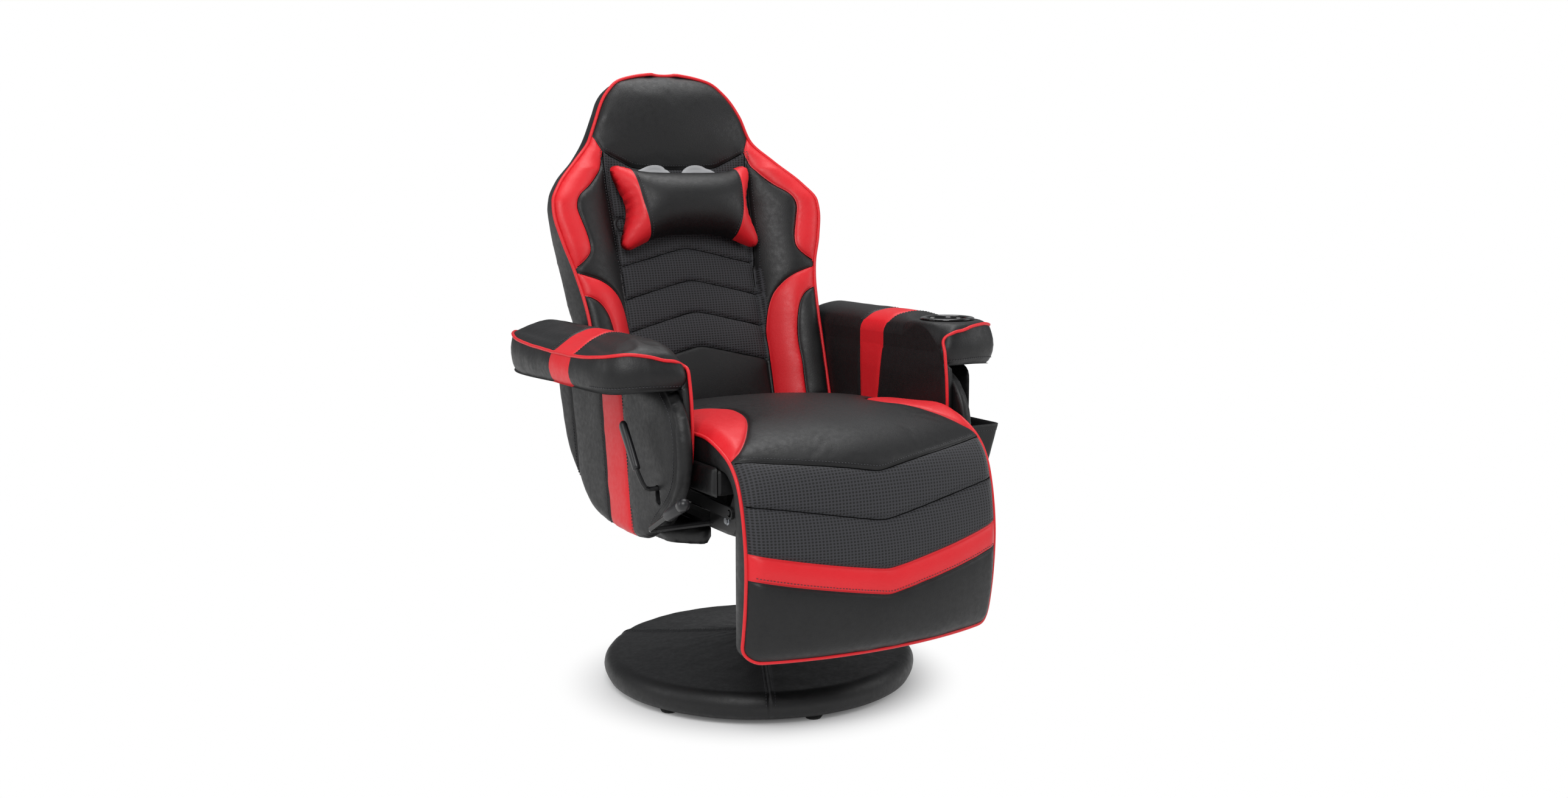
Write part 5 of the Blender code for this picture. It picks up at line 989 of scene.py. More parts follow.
def outward_faces(piece):
    """Turn every face of a closed mesh outwards."""
    shape = bmesh.new()
    shape.from_mesh(piece.data)
    bmesh.ops.remove_doubles(shape, verts=shape.verts, dist=1e-6)
    bmesh.ops.recalc_face_normals(shape, faces=shape.faces)
    shape.to_mesh(piece.data)
    shape.free()


def cut(piece, tools):
    """Cut closed tools out of a closed piece."""
    for tool in tools:
        modifier = piece.modifiers.new("cut", "BOOLEAN")
        modifier.operation = "DIFFERENCE"
        modifier.solver = "EXACT"
        modifier.object = tool
    graph = bpy.context.evaluated_depsgraph_get()
    result = bpy.data.meshes.new_from_object(piece.evaluated_get(graph))
    piece.modifiers.clear()
    piece.data = result
    for tool in tools:
        bpy.data.objects.remove(tool)


def back_prism(name, ring):
    """A closed tool that goes square through the back along a ring."""
    points = np.vstack([back_place(ring[:, 0], n, ring[:, 1]) for n in (-0.15, 0.06)])
    piece = mesh_piece(name, points, ring_faces(2, len(ring)), [black_leather], smooth=False)
    outward_faces(piece)
    return piece


def back_openings():
    """Tools for the four openings through the back's padding and its rear cover."""
    return [back_prism("opening", ring) for side in (1, -1)
            for ring in (harness_oval(side, 0.0006), grommet_ring(side, GROMMET_SLEEVE + 0.0004))]


stations = np.concatenate([np.linspace(BACK_BOTTOM, 0.64, 90), np.linspace(0.645, BACK_TOP, 40)])
right_edge = [(float(eased(BACK_WIDTHS, s)), s) for s in stations]
back_outline = right_edge + mirror_line(right_edge[::-1])
WING_EDGE = ((0.153, 0.541), (0.1655, 0.5046), (0.195, 0.469), (0.224, 0.445), (0.234, 0.422), (0.229, 0.395),
             (0.219, 0.354), (0.224, 0.328), (0.26, 0.298))
BAND_INNER = ((0.26, 0.2965), (0.2046, 0.279), (0.172, 0.256), (0.156, 0.226), (0.147, 0.179), (0.1465, 0.1355),
              (0.146, 0.088), (0.145, 0.022))
BAND_OUTER = ((0.251, 0.254), (0.22, 0.238), (0.202, 0.208), (0.193, 0.153), (0.194, 0.095), (0.193, 0.022))
PANEL_SIDE = ((0.152, 0.538), (0.153, 0.525), (0.148, 0.357), (0.1435, 0.3), (0.142, 0.262))
HEAD_SEAM = ((-0.153, 0.541), (-0.11, 0.5215), (-0.083, 0.512), (-0.03, 0.5095), (0.03, 0.5095), (0.083, 0.512),
             (0.11, 0.5215), (0.153, 0.541))
CHEVRON_APEX = (0.349, 0.2845, 0.2215, 0.1535)
CHEVRON_DROP, CHEVRON_SOFT, HEAD_LOW, HEAD_HIGH = 0.037, 0.012, 0.541, 0.575
WING_LOW, BAND_TOP, PANEL_WIDEST = 0.3, 0.297, 0.153
wing_right, band_in_right = flat_curve(WING_EDGE), flat_curve(BAND_INNER)
band_out_right, side_right = flat_curve(BAND_OUTER), flat_curve(PANEL_SIDE)
head_seam = flat_curve(HEAD_SEAM)
head_rise = np.array([(PANEL_WIDEST, HEAD_LOW), (float(eased(BACK_WIDTHS, HEAD_HIGH)), HEAD_HIGH)])
back_chevrons = [np.array([(w, apex - CHEVRON_DROP * (sqrt(w * w + CHEVRON_SOFT ** 2) - CHEVRON_SOFT) / 0.145)
                           for w in np.linspace(-0.1435, 0.1435, 49)]) for apex in CHEVRON_APEX]
pairs = [wing_right, band_in_right, band_out_right, side_right, head_rise]
rings = [np.vstack([ring, ring[:1]]) for side in (1, -1)
         for ring in (harness_oval(side, 0.005), grommet_ring(side, 0.013))]
back_seams = [head_seam] + back_chevrons + pairs + [np.array(line) * (-1, 1) for line in pairs] + rings
flat, triangles, loop = cut_panel(back_outline, back_seams, 0.0052)


def back_lift(points):
    """Height of the finished front: the plain form, swollen between seams and drawn down along them."""
    d = off_lines(points, back_seams)
    rim = off_outline(points, back_outline)
    return back_form(*points.T) + seam_swell(d, 0.0042, 0.0038) * ramp(rim, 0.016), d, rim


lift, off_seam, off_rim = back_lift(flat)
lift += 0.0013 * wrinkle(flat, 0.026, 8.0) * np.exp(-np.minimum(off_seam, off_rim) / 0.016)
lift += 0.0016 * wrinkle(flat, 0.08, 9.0) * ramp(off_rim, 0.03)
lift -= 0.006 * np.clip(1 - off_rim / 0.012, 0, 1) ** 2
back_front = back_place(flat[:, 0], lift, flat[:, 1])
inset = 1 - eased(REAR_WIDTHS, flat[:, 1]) / eased(BACK_WIDTHS, flat[:, 1])
back_rear = back_place(flat[:, 0] * (1 - inset), BACK_REAR + 0.0003, flat[:, 1])
rim_flat, rim_lift = flat[loop], lift[loop]
wall_rings = []
for t in (0.12, 0.35, 0.65, 0.9):
    swell = 0.004 * sin(pi * t)
    wall_rings.append(back_place(rim_flat[:, 0] * (1 - inset[loop] * t) + np.sign(rim_flat[:, 0]) * swell * 0.6,
                                 rim_lift + (BACK_REAR + 0.0003 - rim_lift) * t, rim_flat[:, 1]))
middles = flat[triangles].mean(axis=1)
a, up = np.abs(middles[:, 0]), middles[:, 1]
back_panel = np.zeros(len(middles), dtype=int)
wing_w = np.interp(up, wing_right[::-1, 1], wing_right[::-1, 0])
in_wing = (a > wing_w) & (up > WING_LOW) & (up < HEAD_LOW)
in_wing |= (up >= HEAD_LOW) & (up < HEAD_HIGH) & (a > np.interp(up, head_rise[:, 1], head_rise[:, 0]))
back_panel[in_wing] = 1
in_w = np.interp(up, band_in_right[::-1, 1], band_in_right[::-1, 0])
out_w = np.interp(up, band_out_right[::-1, 1], band_out_right[::-1, 0], right=1.0)
back_panel[(a > in_w) & (a < out_w) & (up < BAND_TOP)] = 1
sides = np.concatenate([band_in_right[::-1], side_right[::-1]])
sides = sides[np.argsort(sides[:, 1])]
side_w = np.minimum(np.interp(up, sides[:, 1], sides[:, 0]), PANEL_WIDEST)
lowest = np.interp(middles[:, 0], *back_chevrons[-1].T)
highest = np.interp(middles[:, 0], *head_seam.T)
back_panel[(a < side_w) & (up > lowest) & (up < highest) & (back_panel == 0)] = 2
back_pad = pad_from_panel("back_padding", flat, triangles, loop, back_front, back_rear, wall_rings,
                          [black_leather, red_leather, spacer_mesh], back_panel)
free = np.zeros(len(back_pad.data.vertices))
free[:len(flat)] = ramp(np.minimum(off_seam, off_rim), SEAM_FADE)
free[:len(flat)] *= ramp(off_lines(flat, rings), 0.03)
inflate(back_pad, free, 0.006)
outward_faces(back_pad)
cut(back_pad, back_openings())
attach(back_pad, "back")
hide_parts("back_cushion")

rim_line = spaced(back_outline, LINE_STEP)
rim_lift = back_lift(rim_line)[0] - 0.004
piping("back_piping", [(back_place(rim_line[:, 0] * 1.003, rim_lift, rim_line[:, 1]), False)], 0.0032, red_leather,
       "back")


def on_back(line, aside, rise=0.0004):
    """A flat line of the back, moved aside, carried onto its finished surface."""
    line = moved_aside(spaced(line, LINE_STEP), aside)
    return back_place(line[:, 0], back_lift(line)[0] + rise, line[:, 1])


shade_lines = [on_back(line, 0.0)[1:-1] for line in back_chevrons + [head_seam, side_right, side_right * (-1, 1)]]
thin_lines = [on_back(line * (way, 1), 0.0)[2:-2] for line in (wing_right, band_in_right, band_out_right)
              for way in (1, -1)]
# Painted seam shade: near-black cords in the grooves of the back's seams.
for name, lines, rise, radius in (("back_painted_seam_shade", shade_lines, SHADE_CORD_RISE, SHADE_CORD_RADIUS),
                                  ("back_panel_painted_seam_shade", thin_lines, 0.0002, 0.0008)):
    piping(name, [(line, False) for line in laid_on(back_pad, lines, rise)], radius, seam_shade_cord, "back")
topstitched = [(line, 1) for line in back_chevrons + [head_seam, side_right]] + [(side_right * (-1, 1), -1)]
sew("back_stitches", laid_on(back_pad, [on_back(line, STITCH_ASIDE * way) for line, way in topstitched]),
    black_stitches, "back")


# ----------------------------------------------------------
# Harness trims and strap grommets: grey oval bezels moulded in ABS, pushed through the back from the front, and two
# turned black grommets beside them for the pillow's cord.
# ----------------------------------------------------------
def ring_piece(name, rings, materials):
    """A closed tube through rings of as many points each, the last joined to the first."""
    faces = ring_faces(len(rings), len(rings[0]), closed=True)
    piece = mesh_piece(name, np.vstack(rings), faces, materials)
    outward_faces(piece)
    return piece


# Injection-moulded grey ABS: light silver grey, evenly satin, with a very fine grain.
grey_abs = surface("moulded_grey_abs", "Noise", {"Scale": 1 / 0.001, "Detail": 2.0}, "#b4b5b7", (0.34, 0.46))

for side, name in ((1, "left"), (-1, "right")):
    level = float(back_lift(harness_oval(side, 0.004))[0].max()) + 0.003
    rings = []
    for grow, rise, tie in ((0.0125, -0.002, 1.0), (0.0132, 0.0016, 1.0), (0.012, 0.0034, 0.9),
                            (0.007, 0.0024, 0.5), (0.002, 0.0012, 0.1), (-0.003, 0.0, 0.0),
                            (-0.0044, -0.003, 0.0)):
        ring = harness_oval(side, grow)
        rings.append(back_place(ring[:, 0], back_lift(ring)[0] * tie + level * (1 - tie) + rise, ring[:, 1]))
    for grow, n in ((-0.0044, SLEEVE_REAR), (-0.0001, SLEEVE_REAR), (-0.0001, -0.05)):
        ring = harness_oval(side, grow)
        rings.append(back_place(ring[:, 0], n, ring[:, 1]))
    trim = ring_piece("harness_bezel_" + name, rings, [grey_abs])
    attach(trim, "back")
    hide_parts("harness_trim_" + name)

    level = float(back_lift(grommet_ring(side, 0.014))[0].mean())
    rings = []
    for radius, n in ((0.0168, level - 0.0006), (0.017, level + 0.001), (0.0155, level + 0.0022),
                      (0.0105, level + 0.003), (0.008, level + 0.002), (GROMMET_BORE, level),
                      (GROMMET_BORE, SLEEVE_REAR), (GROMMET_SLEEVE, SLEEVE_REAR), (GROMMET_SLEEVE, level - 0.001)):
        ring = grommet_ring(side, radius)
        rings.append(back_place(ring[:, 0], n, ring[:, 1]))
    grommet = ring_piece("turned_grommet_" + name, rings, [black_abs])
    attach(grommet, "back")
    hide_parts("strap_grommet_" + name)


# ----------------------------------------------------------
# Rear cover: a thin foam-backed sheet of black leatherette drawn over the rear of the back's frame and closed to the
# padding round its edge. A yoke seam and two long seams shape it, each topstitched, and the four openings go through.
# ----------------------------------------------------------
REAR_RIM, REAR_WALL, REAR_LOW, REAR_HIGH = -0.0623, 0.003, 0.049, 0.694
REAR_DEPTH = ((0, .026), (.53, .026), (.66, .014), (.7, .007))
rear_right = [(float(eased(REAR_WIDTHS, s)) - 0.001, s) for s in np.linspace(REAR_LOW, REAR_HIGH, 110)]
rear_outline = rear_right + mirror_line(rear_right[::-1])
yoke = flat_curve(((-0.262, 0.34), (-0.15, 0.33), (0.0, 0.326), (0.15, 0.33), (0.262, 0.34)))
long_right = flat_curve(((0.15, 0.33), (0.152, 0.24), (0.146, 0.14), (0.138, 0.05)))
rear_seams = [yoke, long_right, long_right * (-1, 1)]
flat, triangles, loop = cut_panel(rear_outline, rear_seams, 0.0062)
rim = off_outline(flat, rear_outline)
d = off_lines(flat, rear_seams)
round_in = np.minimum(0.035, 0.3 * eased(REAR_WIDTHS, flat[:, 1]))
form = eased(REAR_DEPTH, flat[:, 1]) * quarter(ramp(rim, round_in))
form -= (0.002 * np.exp(-(d / 0.0024) ** 2) + 0.0016 * np.exp(-d / SEAM_FADE)) * ramp(rim, 0.02)
form += 0.0012 * wrinkle(flat, 0.06, 61.0) * ramp(rim, 0.03)
form = np.maximum(form, 0.0015)
rear = pad_from_panel("back_rear_cover", flat, triangles, loop, back_place(flat[:, 0], REAR_RIM - form, flat[:, 1]),
                      back_place(flat[:, 0], REAR_RIM - np.maximum(form - REAR_WALL, 0), flat[:, 1]), [],
                      [black_leather])
outward_faces(rear)
cut(rear, back_openings())
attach(rear, "back")
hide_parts("back_cover")
rows = []
for line, aside in ((yoke, 0.006), (yoke, -0.006), (long_right, 0.006), (long_right * (-1, 1), -0.006)):
    line = moved_aside(spaced(line, LINE_STEP)[3:-3], aside)
    rows.append(back_place(line[:, 0], REAR_RIM - 0.028, line[:, 1]))
sew("rear_stitches", laid_on(rear, rows), black_stitches, "back")


# ----------------------------------------------------------
# Arm rests: a deep foam pad on each arm in black leatherette with a red stripe sewn in across it. Red piping
# edges the top from the rear corner, over the front and down the front edge of the arm's inner face.
# ----------------------------------------------------------
ARM_INNER, ARM_OUTER, PAD_BOTTOM, PAD_EDGE = 0.2495, 0.392, 0.5793, 0.633
# The rest's outline at its piping, as a place across and a place front to back, from the inner rear corner.
REST_OUTLINE = ((0.25, 0.262), (0.2498, 0.15), (0.2497, 0.0), (0.2498, -0.12), (0.25, -0.19),
                (0.2512, -0.209), (0.257, -0.2195), (0.27, -0.2235), (0.29, -0.2235), (0.318, -0.22),
                (0.344, -0.212), (0.364, -0.2), (0.378, -0.178), (0.386, -0.14), (0.3895, -0.08),
                (0.391, 0.0), (0.39, 0.11), (0.385, 0.19), (0.374, 0.24), (0.35, 0.268),
                (0.305, 0.2775), (0.268, 0.276), (0.254, 0.271))
REST_FORWARD = ((-0.2235, 1.0), (-0.205, 0.92), (-0.17, 0.4), (-0.12, 0.0))
REST_OUTWARD = ((0.2495, 0.0), (0.3, 0.0), (0.392, 1.0))
REST_ACROSS = ((0.2495, 0.627), (0.252, 0.639), (0.26, 0.651), (0.28, 0.663), (0.31, 0.6675),
               (0.342, 0.66), (0.374, 0.644), (0.392, 0.633))
STRIPE_INNER, STRIPE_OUTER = (-0.031, 0.049), (-0.081, 0.003)
REST_FRONT, REST_REAR, REST_CORNER, RIGHT_LOWER, RIGHT_REAR_DROP = -0.2235, 0.2775, 0.032, 0.009, 0.008
CUP_X, CUP_Y, CUP_RADIUS, CUP_RIM, CUP_SEAT, CUP_FLOOR = 0.312, -0.146, 0.0395, 0.0105, 0.657, 0.592


def stripe_line(k, reach=0.0):
    """One edge of the stripe across the rest, from the inner to the outer rim, with a reach past both."""
    share = np.linspace(-reach, 1 + reach, 24)
    return np.stack([ARM_INNER + (ARM_OUTER - ARM_INNER) * share,
                     STRIPE_INNER[k] + (STRIPE_OUTER[k] - STRIPE_INNER[k]) * share], axis=1)


def in_stripe(x, y):
    """1 for places on the red stripe, 0 for others."""
    share = (x - ARM_INNER) / (ARM_OUTER - ARM_INNER)
    edges = [STRIPE_INNER[k] + (STRIPE_OUTER[k] - STRIPE_INNER[k]) * share for k in range(2)]
    return ((y > edges[0]) & (y < edges[1])).astype(int)


def next_middle(values):
    """Values half-way between each and the next one round a ring."""
    return (values + np.roll(values, -1)) / 2


rest_outline = flat_curve(REST_OUTLINE, 4, closed=True)
rest_seams = [stripe_line(0, 0.02), stripe_line(1, 0.02)]


def cup_press(points):
    """1 under the cup holder's rim, where the foam is pressed level, and 0 away from it."""
    near = np.clip((0.084 - np.hypot(points[:, 0] - CUP_X, points[:, 1] - CUP_Y)) / 0.03, 0, 1)
    return near * near * (3 - 2 * near)


def rest_top(points, side):
    """Height of the rest's top: rolled over at the inner edge, crowned, and run down to the piping all round."""
    x, y = points[:, 0], points[:, 1]
    front, rear = ramp(y - REST_FRONT, 0.1), ramp(REST_REAR - y, 0.06)
    share = quarter(front) * quarter(rear)
    # The rest with the cup holder is stuffed fuller at its front edge.
    edge = PAD_EDGE - 0.01 * ramp(y - 0.05, 0.22) ** 1.5
    edge = edge + (0.01 * ramp(0.05 - y, 0.15) if side > 0 else 0.0)
    z = edge + (eased(REST_ACROSS, x) - edge) * share
    # The front edge turns down round the inner corner.
    bend = ramp(x - ARM_INNER, REST_CORNER)
    z -= REST_CORNER * (1 - quarter(bend)) * np.exp(-((y - REST_FRONT) / 0.03) ** 2)
    if side > 0:
        z += (CUP_SEAT - 0.0004 - z) * cup_press(points)
    else:
        z -= RIGHT_LOWER
    d = off_lines(points, rest_seams)
    rim = off_outline(points, rest_outline)
    dip = 0.0026 * np.exp(-(d / 0.0032) ** 2) + 0.0016 * np.exp(-d / 0.012)
    return z - dip * np.clip(rim / 0.01, 0.3, 1), d, rim


for side, name in ((1, "left"), (-1, "right")):
    flat, triangles, loop = cut_panel(rest_outline, rest_seams, 0.0048)
    top_z, off_seam, off_rim = rest_top(flat, side)
    calm = 1 - cup_press(flat) if side > 0 else np.ones(len(flat))
    top_z += 0.001 * wrinkle(flat, 0.055, 41.0 + side) * ramp(off_rim, 0.02) * calm
    top_z += 0.0007 * wrinkle(flat, 0.018, 43.0 + side) * np.exp(-np.minimum(off_rim, off_seam) / 0.012) * calm
    front = xyz(side * flat[:, 0], flat[:, 1], top_z)
    rim_x, rim_y, rim_z = *flat[loop].T, top_z[loop]
    forward, outward = eased(REST_FORWARD, rim_y), eased(REST_OUTWARD, rim_x)
    heading = np.stack([np.roll(rim_x, -1) - np.roll(rim_x, 1), np.roll(rim_y, -1) - np.roll(rim_y, 1)], axis=1)
    heading /= np.linalg.norm(heading, axis=1)[:, None]
    facing = np.stack([heading[:, 1], -heading[:, 0]], axis=1)
    # The rest with the cup holder ends higher at its front, the other hangs lower at its rear.
    tuck = -0.004 if side > 0 else 0.003
    rear_drop = 0.0 if side > 0 else RIGHT_REAR_DROP
    low_z = PAD_BOTTOM - 0.006 * outward - tuck * forward - rear_drop * outward * ramp(rim_y, 0.2)
    wall_rings = []
    folds = wrinkle(flat[loop], 0.012, 45.0 + side)
    for t in (0.05, 0.12, 0.22, 0.36, 0.52, 0.68, 0.82, 0.92, 0.98):
        swell = 0.0055 * sin(pi * min(1.0, t * 1.05)) * (0.4 + 0.6 * outward + 0.8 * forward)
        swell += 0.0012 * folds * exp(-t / 0.35) * (0.3 + forward)
        swell += 0.0014 * wrinkle([(place, t * 0.06) for place in rim_x + rim_y], 0.03, 47.0 + side)
        swell = np.where(rim_x < 0.2515, np.minimum(swell, 0.0), swell)
        swell -= 0.006 * max(0.0, (t - 0.86) / 0.14) ** 2 * (0.2 + 0.8 * outward + forward).clip(0, 1)
        x = rim_x + facing[:, 0] * swell
        y = rim_y + facing[:, 1] * swell - 0.004 * forward * sin(pi / 2 * t)
        wall_rings.append(xyz(side * x, y, rim_z + (low_z - rim_z) * t))
    low_forward, low_outward = eased(REST_FORWARD, flat[:, 1]), eased(REST_OUTWARD, flat[:, 0])
    back = xyz(side * flat[:, 0], flat[:, 1] - 0.002 * low_forward, PAD_BOTTOM - tuck * low_forward
               - (0.006 + rear_drop * ramp(flat[:, 1], 0.2)) * low_outward)
    of_face = in_stripe(*flat[triangles].mean(axis=1).T)
    of_wall = in_stripe(next_middle(rim_x), next_middle(rim_y))
    rest = pad_from_panel("arm_rest_" + name, flat, triangles, loop, front, back, wall_rings,
                          [black_leather, red_leather], of_face, of_wall)
    free = np.zeros(len(rest.data.vertices))
    free[:len(flat)] = ramp(np.minimum(off_seam, off_rim), SEAM_FADE) * calm
    inflate(rest, free, 0.003)
    outward_faces(rest)
    if side > 0:
        circle_angles = [2 * pi * i / 64 for i in range(64)]
        hole = turned_piece("cup_hole", [(0, CUP_FLOOR - 0.0003), (CUP_RADIUS + 0.0006, CUP_FLOOR - 0.0003),
                                         (CUP_RADIUS + 0.0006, 0.7), (0, 0.7)],
                            circle_angles, [black_leather], (CUP_X, CUP_Y))
        cut(rest, [hole])
    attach(rest, "seat")
    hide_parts("arm_pad_" + name)

    rows = []
    for k, aside in ((0, -0.006), (1, 0.006)):
        line = stripe_line(k)[1:-1] + (0, aside)
        rows += laid_on(rest, [xyz(side * line[:, 0], line[:, 1], rest_top(line, side)[0])])
    hem = [i for i in range(len(loop)) if forward[i] > 0.2]
    first = hem.index(min(hem, key=lambda i: rim_x[i]))
    hem = hem[first:] + hem[:first]
    ring = wall_rings[6]
    rows.append(np.array([ring[i] + np.array((0, -0.0006, -0.001)) for i in hem]))
    sew("arm_rest_stitches_" + name, rows, black_stitches, "seat")

    around = [i for i in range(len(loop)) if rim_x[i] > 0.2535 or rim_y[i] < -0.16]
    start = max(around, key=lambda i: rim_y[i] - 2 * abs(rim_x[i] - 0.33))
    order = [(start + k) % len(loop) for k in range(len(loop))]
    if rim_y[order[12]] > rim_y[order[0]] or rim_x[order[12]] < rim_x[order[0]]:
        order = [(start - k) % len(loop) for k in range(len(loop))]
    path = []
    for i in order:
        if rim_x[i] < 0.2512 and rim_y[i] < -0.1:
            break
        path.append((side * (rim_x[i] + facing[i][0] * 0.0008), rim_y[i] + facing[i][1] * 0.0008, rim_z[i]))
    down = [(side * x, y, z) for x, y, z in (
        (0.25, -0.2265, 0.608), (0.249, -0.2305, 0.59), (0.2485, -0.2345, 0.566),
        (0.2484, -0.2365, 0.543), (0.2484, -0.238, 0.516), (0.2484, -0.2365, 0.482),
        (0.2486, -0.23, 0.45), (0.249, -0.218, 0.426))]
    path = spaced(smooth_route(path[::4] + down, 4), 0.004)
    piping("arm_piping_" + name, [(path, False)], 0.0029, red_leather, "seat")


# ----------------------------------------------------------
# Arm sides: a padded panel outside and a lined board inside, stapled round the arm. The red stripe of the rest
# runs on down both, the outer panel has a stuffed roll at its front, and a wrapped foot bolts under the chassis.
# ----------------------------------------------------------
SIDE_INNER, SIDE_OUTER, BOARD_OUTER = 0.2618, 0.2898, 0.2616
SIDE_OUTLINE = ((0.268, 0.579), (0.249, 0.512), (0.222, 0.436), (0.19, 0.395), (0.153, 0.362), (0.121, 0.336),
                (0.085, 0.319), (0.03, 0.31), (-0.028, 0.308), (-0.07, 0.3075), (-0.105, 0.311),
                (-0.145, 0.328), (-0.185, 0.352), (-0.22, 0.376), (-0.247, 0.405), (-0.2635, 0.436),
                (-0.27, 0.469), (-0.2665, 0.503), (-0.255, 0.533), (-0.232, 0.56), (-0.2, 0.579))
BOARD_OUTLINE = ((0.258, 0.6125), (0.25, 0.56), (0.243, 0.512), (0.216, 0.438), (0.186, 0.399), (0.15, 0.367),
                 (0.118, 0.342), (0.083, 0.325), (0.03, 0.316), (-0.028, 0.314), (-0.07, 0.3135),
                 (-0.103, 0.317), (-0.142, 0.334), (-0.18, 0.357), (-0.204, 0.388), (-0.216, 0.422),
                 (-0.2275, 0.45), (-0.2345, 0.482), (-0.237, 0.516), (-0.236, 0.543), (-0.234, 0.566),
                 (-0.23, 0.588), (-0.226, 0.604), (-0.222, 0.6125))
SIDE_STRIPE = (((-0.037, 0.58), (-0.044, 0.545), (-0.06, 0.44), (-0.08, 0.306)),
               ((0.049, 0.58), (0.043, 0.545), (0.029, 0.44), (0.01, 0.306)))
BOARD_STRIPE = (((-0.031, 0.614), (-0.02, 0.54), (-0.006, 0.437), (-0.004, 0.312)),
                ((0.049, 0.614), (0.046, 0.54), (0.04, 0.437), (0.038, 0.312)))
ROLL_SEAM = ((-0.186, 0.58), (-0.224, 0.552), (-0.243, 0.52), (-0.2495, 0.475), (-0.242, 0.43), (-0.218, 0.396),
             (-0.176, 0.362), (-0.146, 0.334))
REAR_SEAM = ((0.19, 0.58), (0.172, 0.48), (0.15, 0.362))
LEVER_SLOT = ((-0.197, 0.3865), (-0.183, 0.4195))
FOOT_OUTLINE = ((0.249, 0.096), (0.249, -0.04), (0.249, -0.11), (0.243, -0.132), (0.23, -0.15),
                (0.213, -0.166), (0.198, -0.176), (0.186, -0.173), (0.178, -0.16), (0.1735, -0.138),
                (0.173, -0.04), (0.173, 0.096))
SLOT_ROUND, SLOT_STEPS = 0.007, 24
FOOT_LOW, FOOT_HIGH = 0.305, 0.3346
side_curve, board_curve = flat_curve(SIDE_OUTLINE, 3), flat_curve(BOARD_OUTLINE, 3)
foot_curve = flat_curve(FOOT_OUTLINE, 3, closed=True)
side_seams = [flat_curve(line) for line in SIDE_STRIPE + (ROLL_SEAM, REAR_SEAM)]
board_seams = [flat_curve(line) for line in BOARD_STRIPE]


def between(y, z, seams):
    """1 for places between two upright seams, 0 for others."""
    edges = [np.interp(z, line[::-1, 1], line[::-1, 0]) for line in seams]
    return ((y > edges[0]) & (y < edges[1])).astype(int)


def side_depth(points):
    """Thickness of the padded side: round at its rim, drawn down along its seams."""
    rim = off_outline(points, side_curve)
    d = off_lines(points, side_seams)
    round_in = ramp(rim, 0.024)
    form = 0.005 + (SIDE_OUTER - SIDE_INNER - 0.005) * quarter(round_in)
    dip = 0.0035 * np.exp(-d / SEAM_FADE) + 0.0026 * np.exp(-(d / 0.003) ** 2)
    dip += 0.0045 * np.exp(-off_lines(points, side_seams[2:3]) / 0.01)
    return form - dip * ramp(rim, 0.02), d, rim


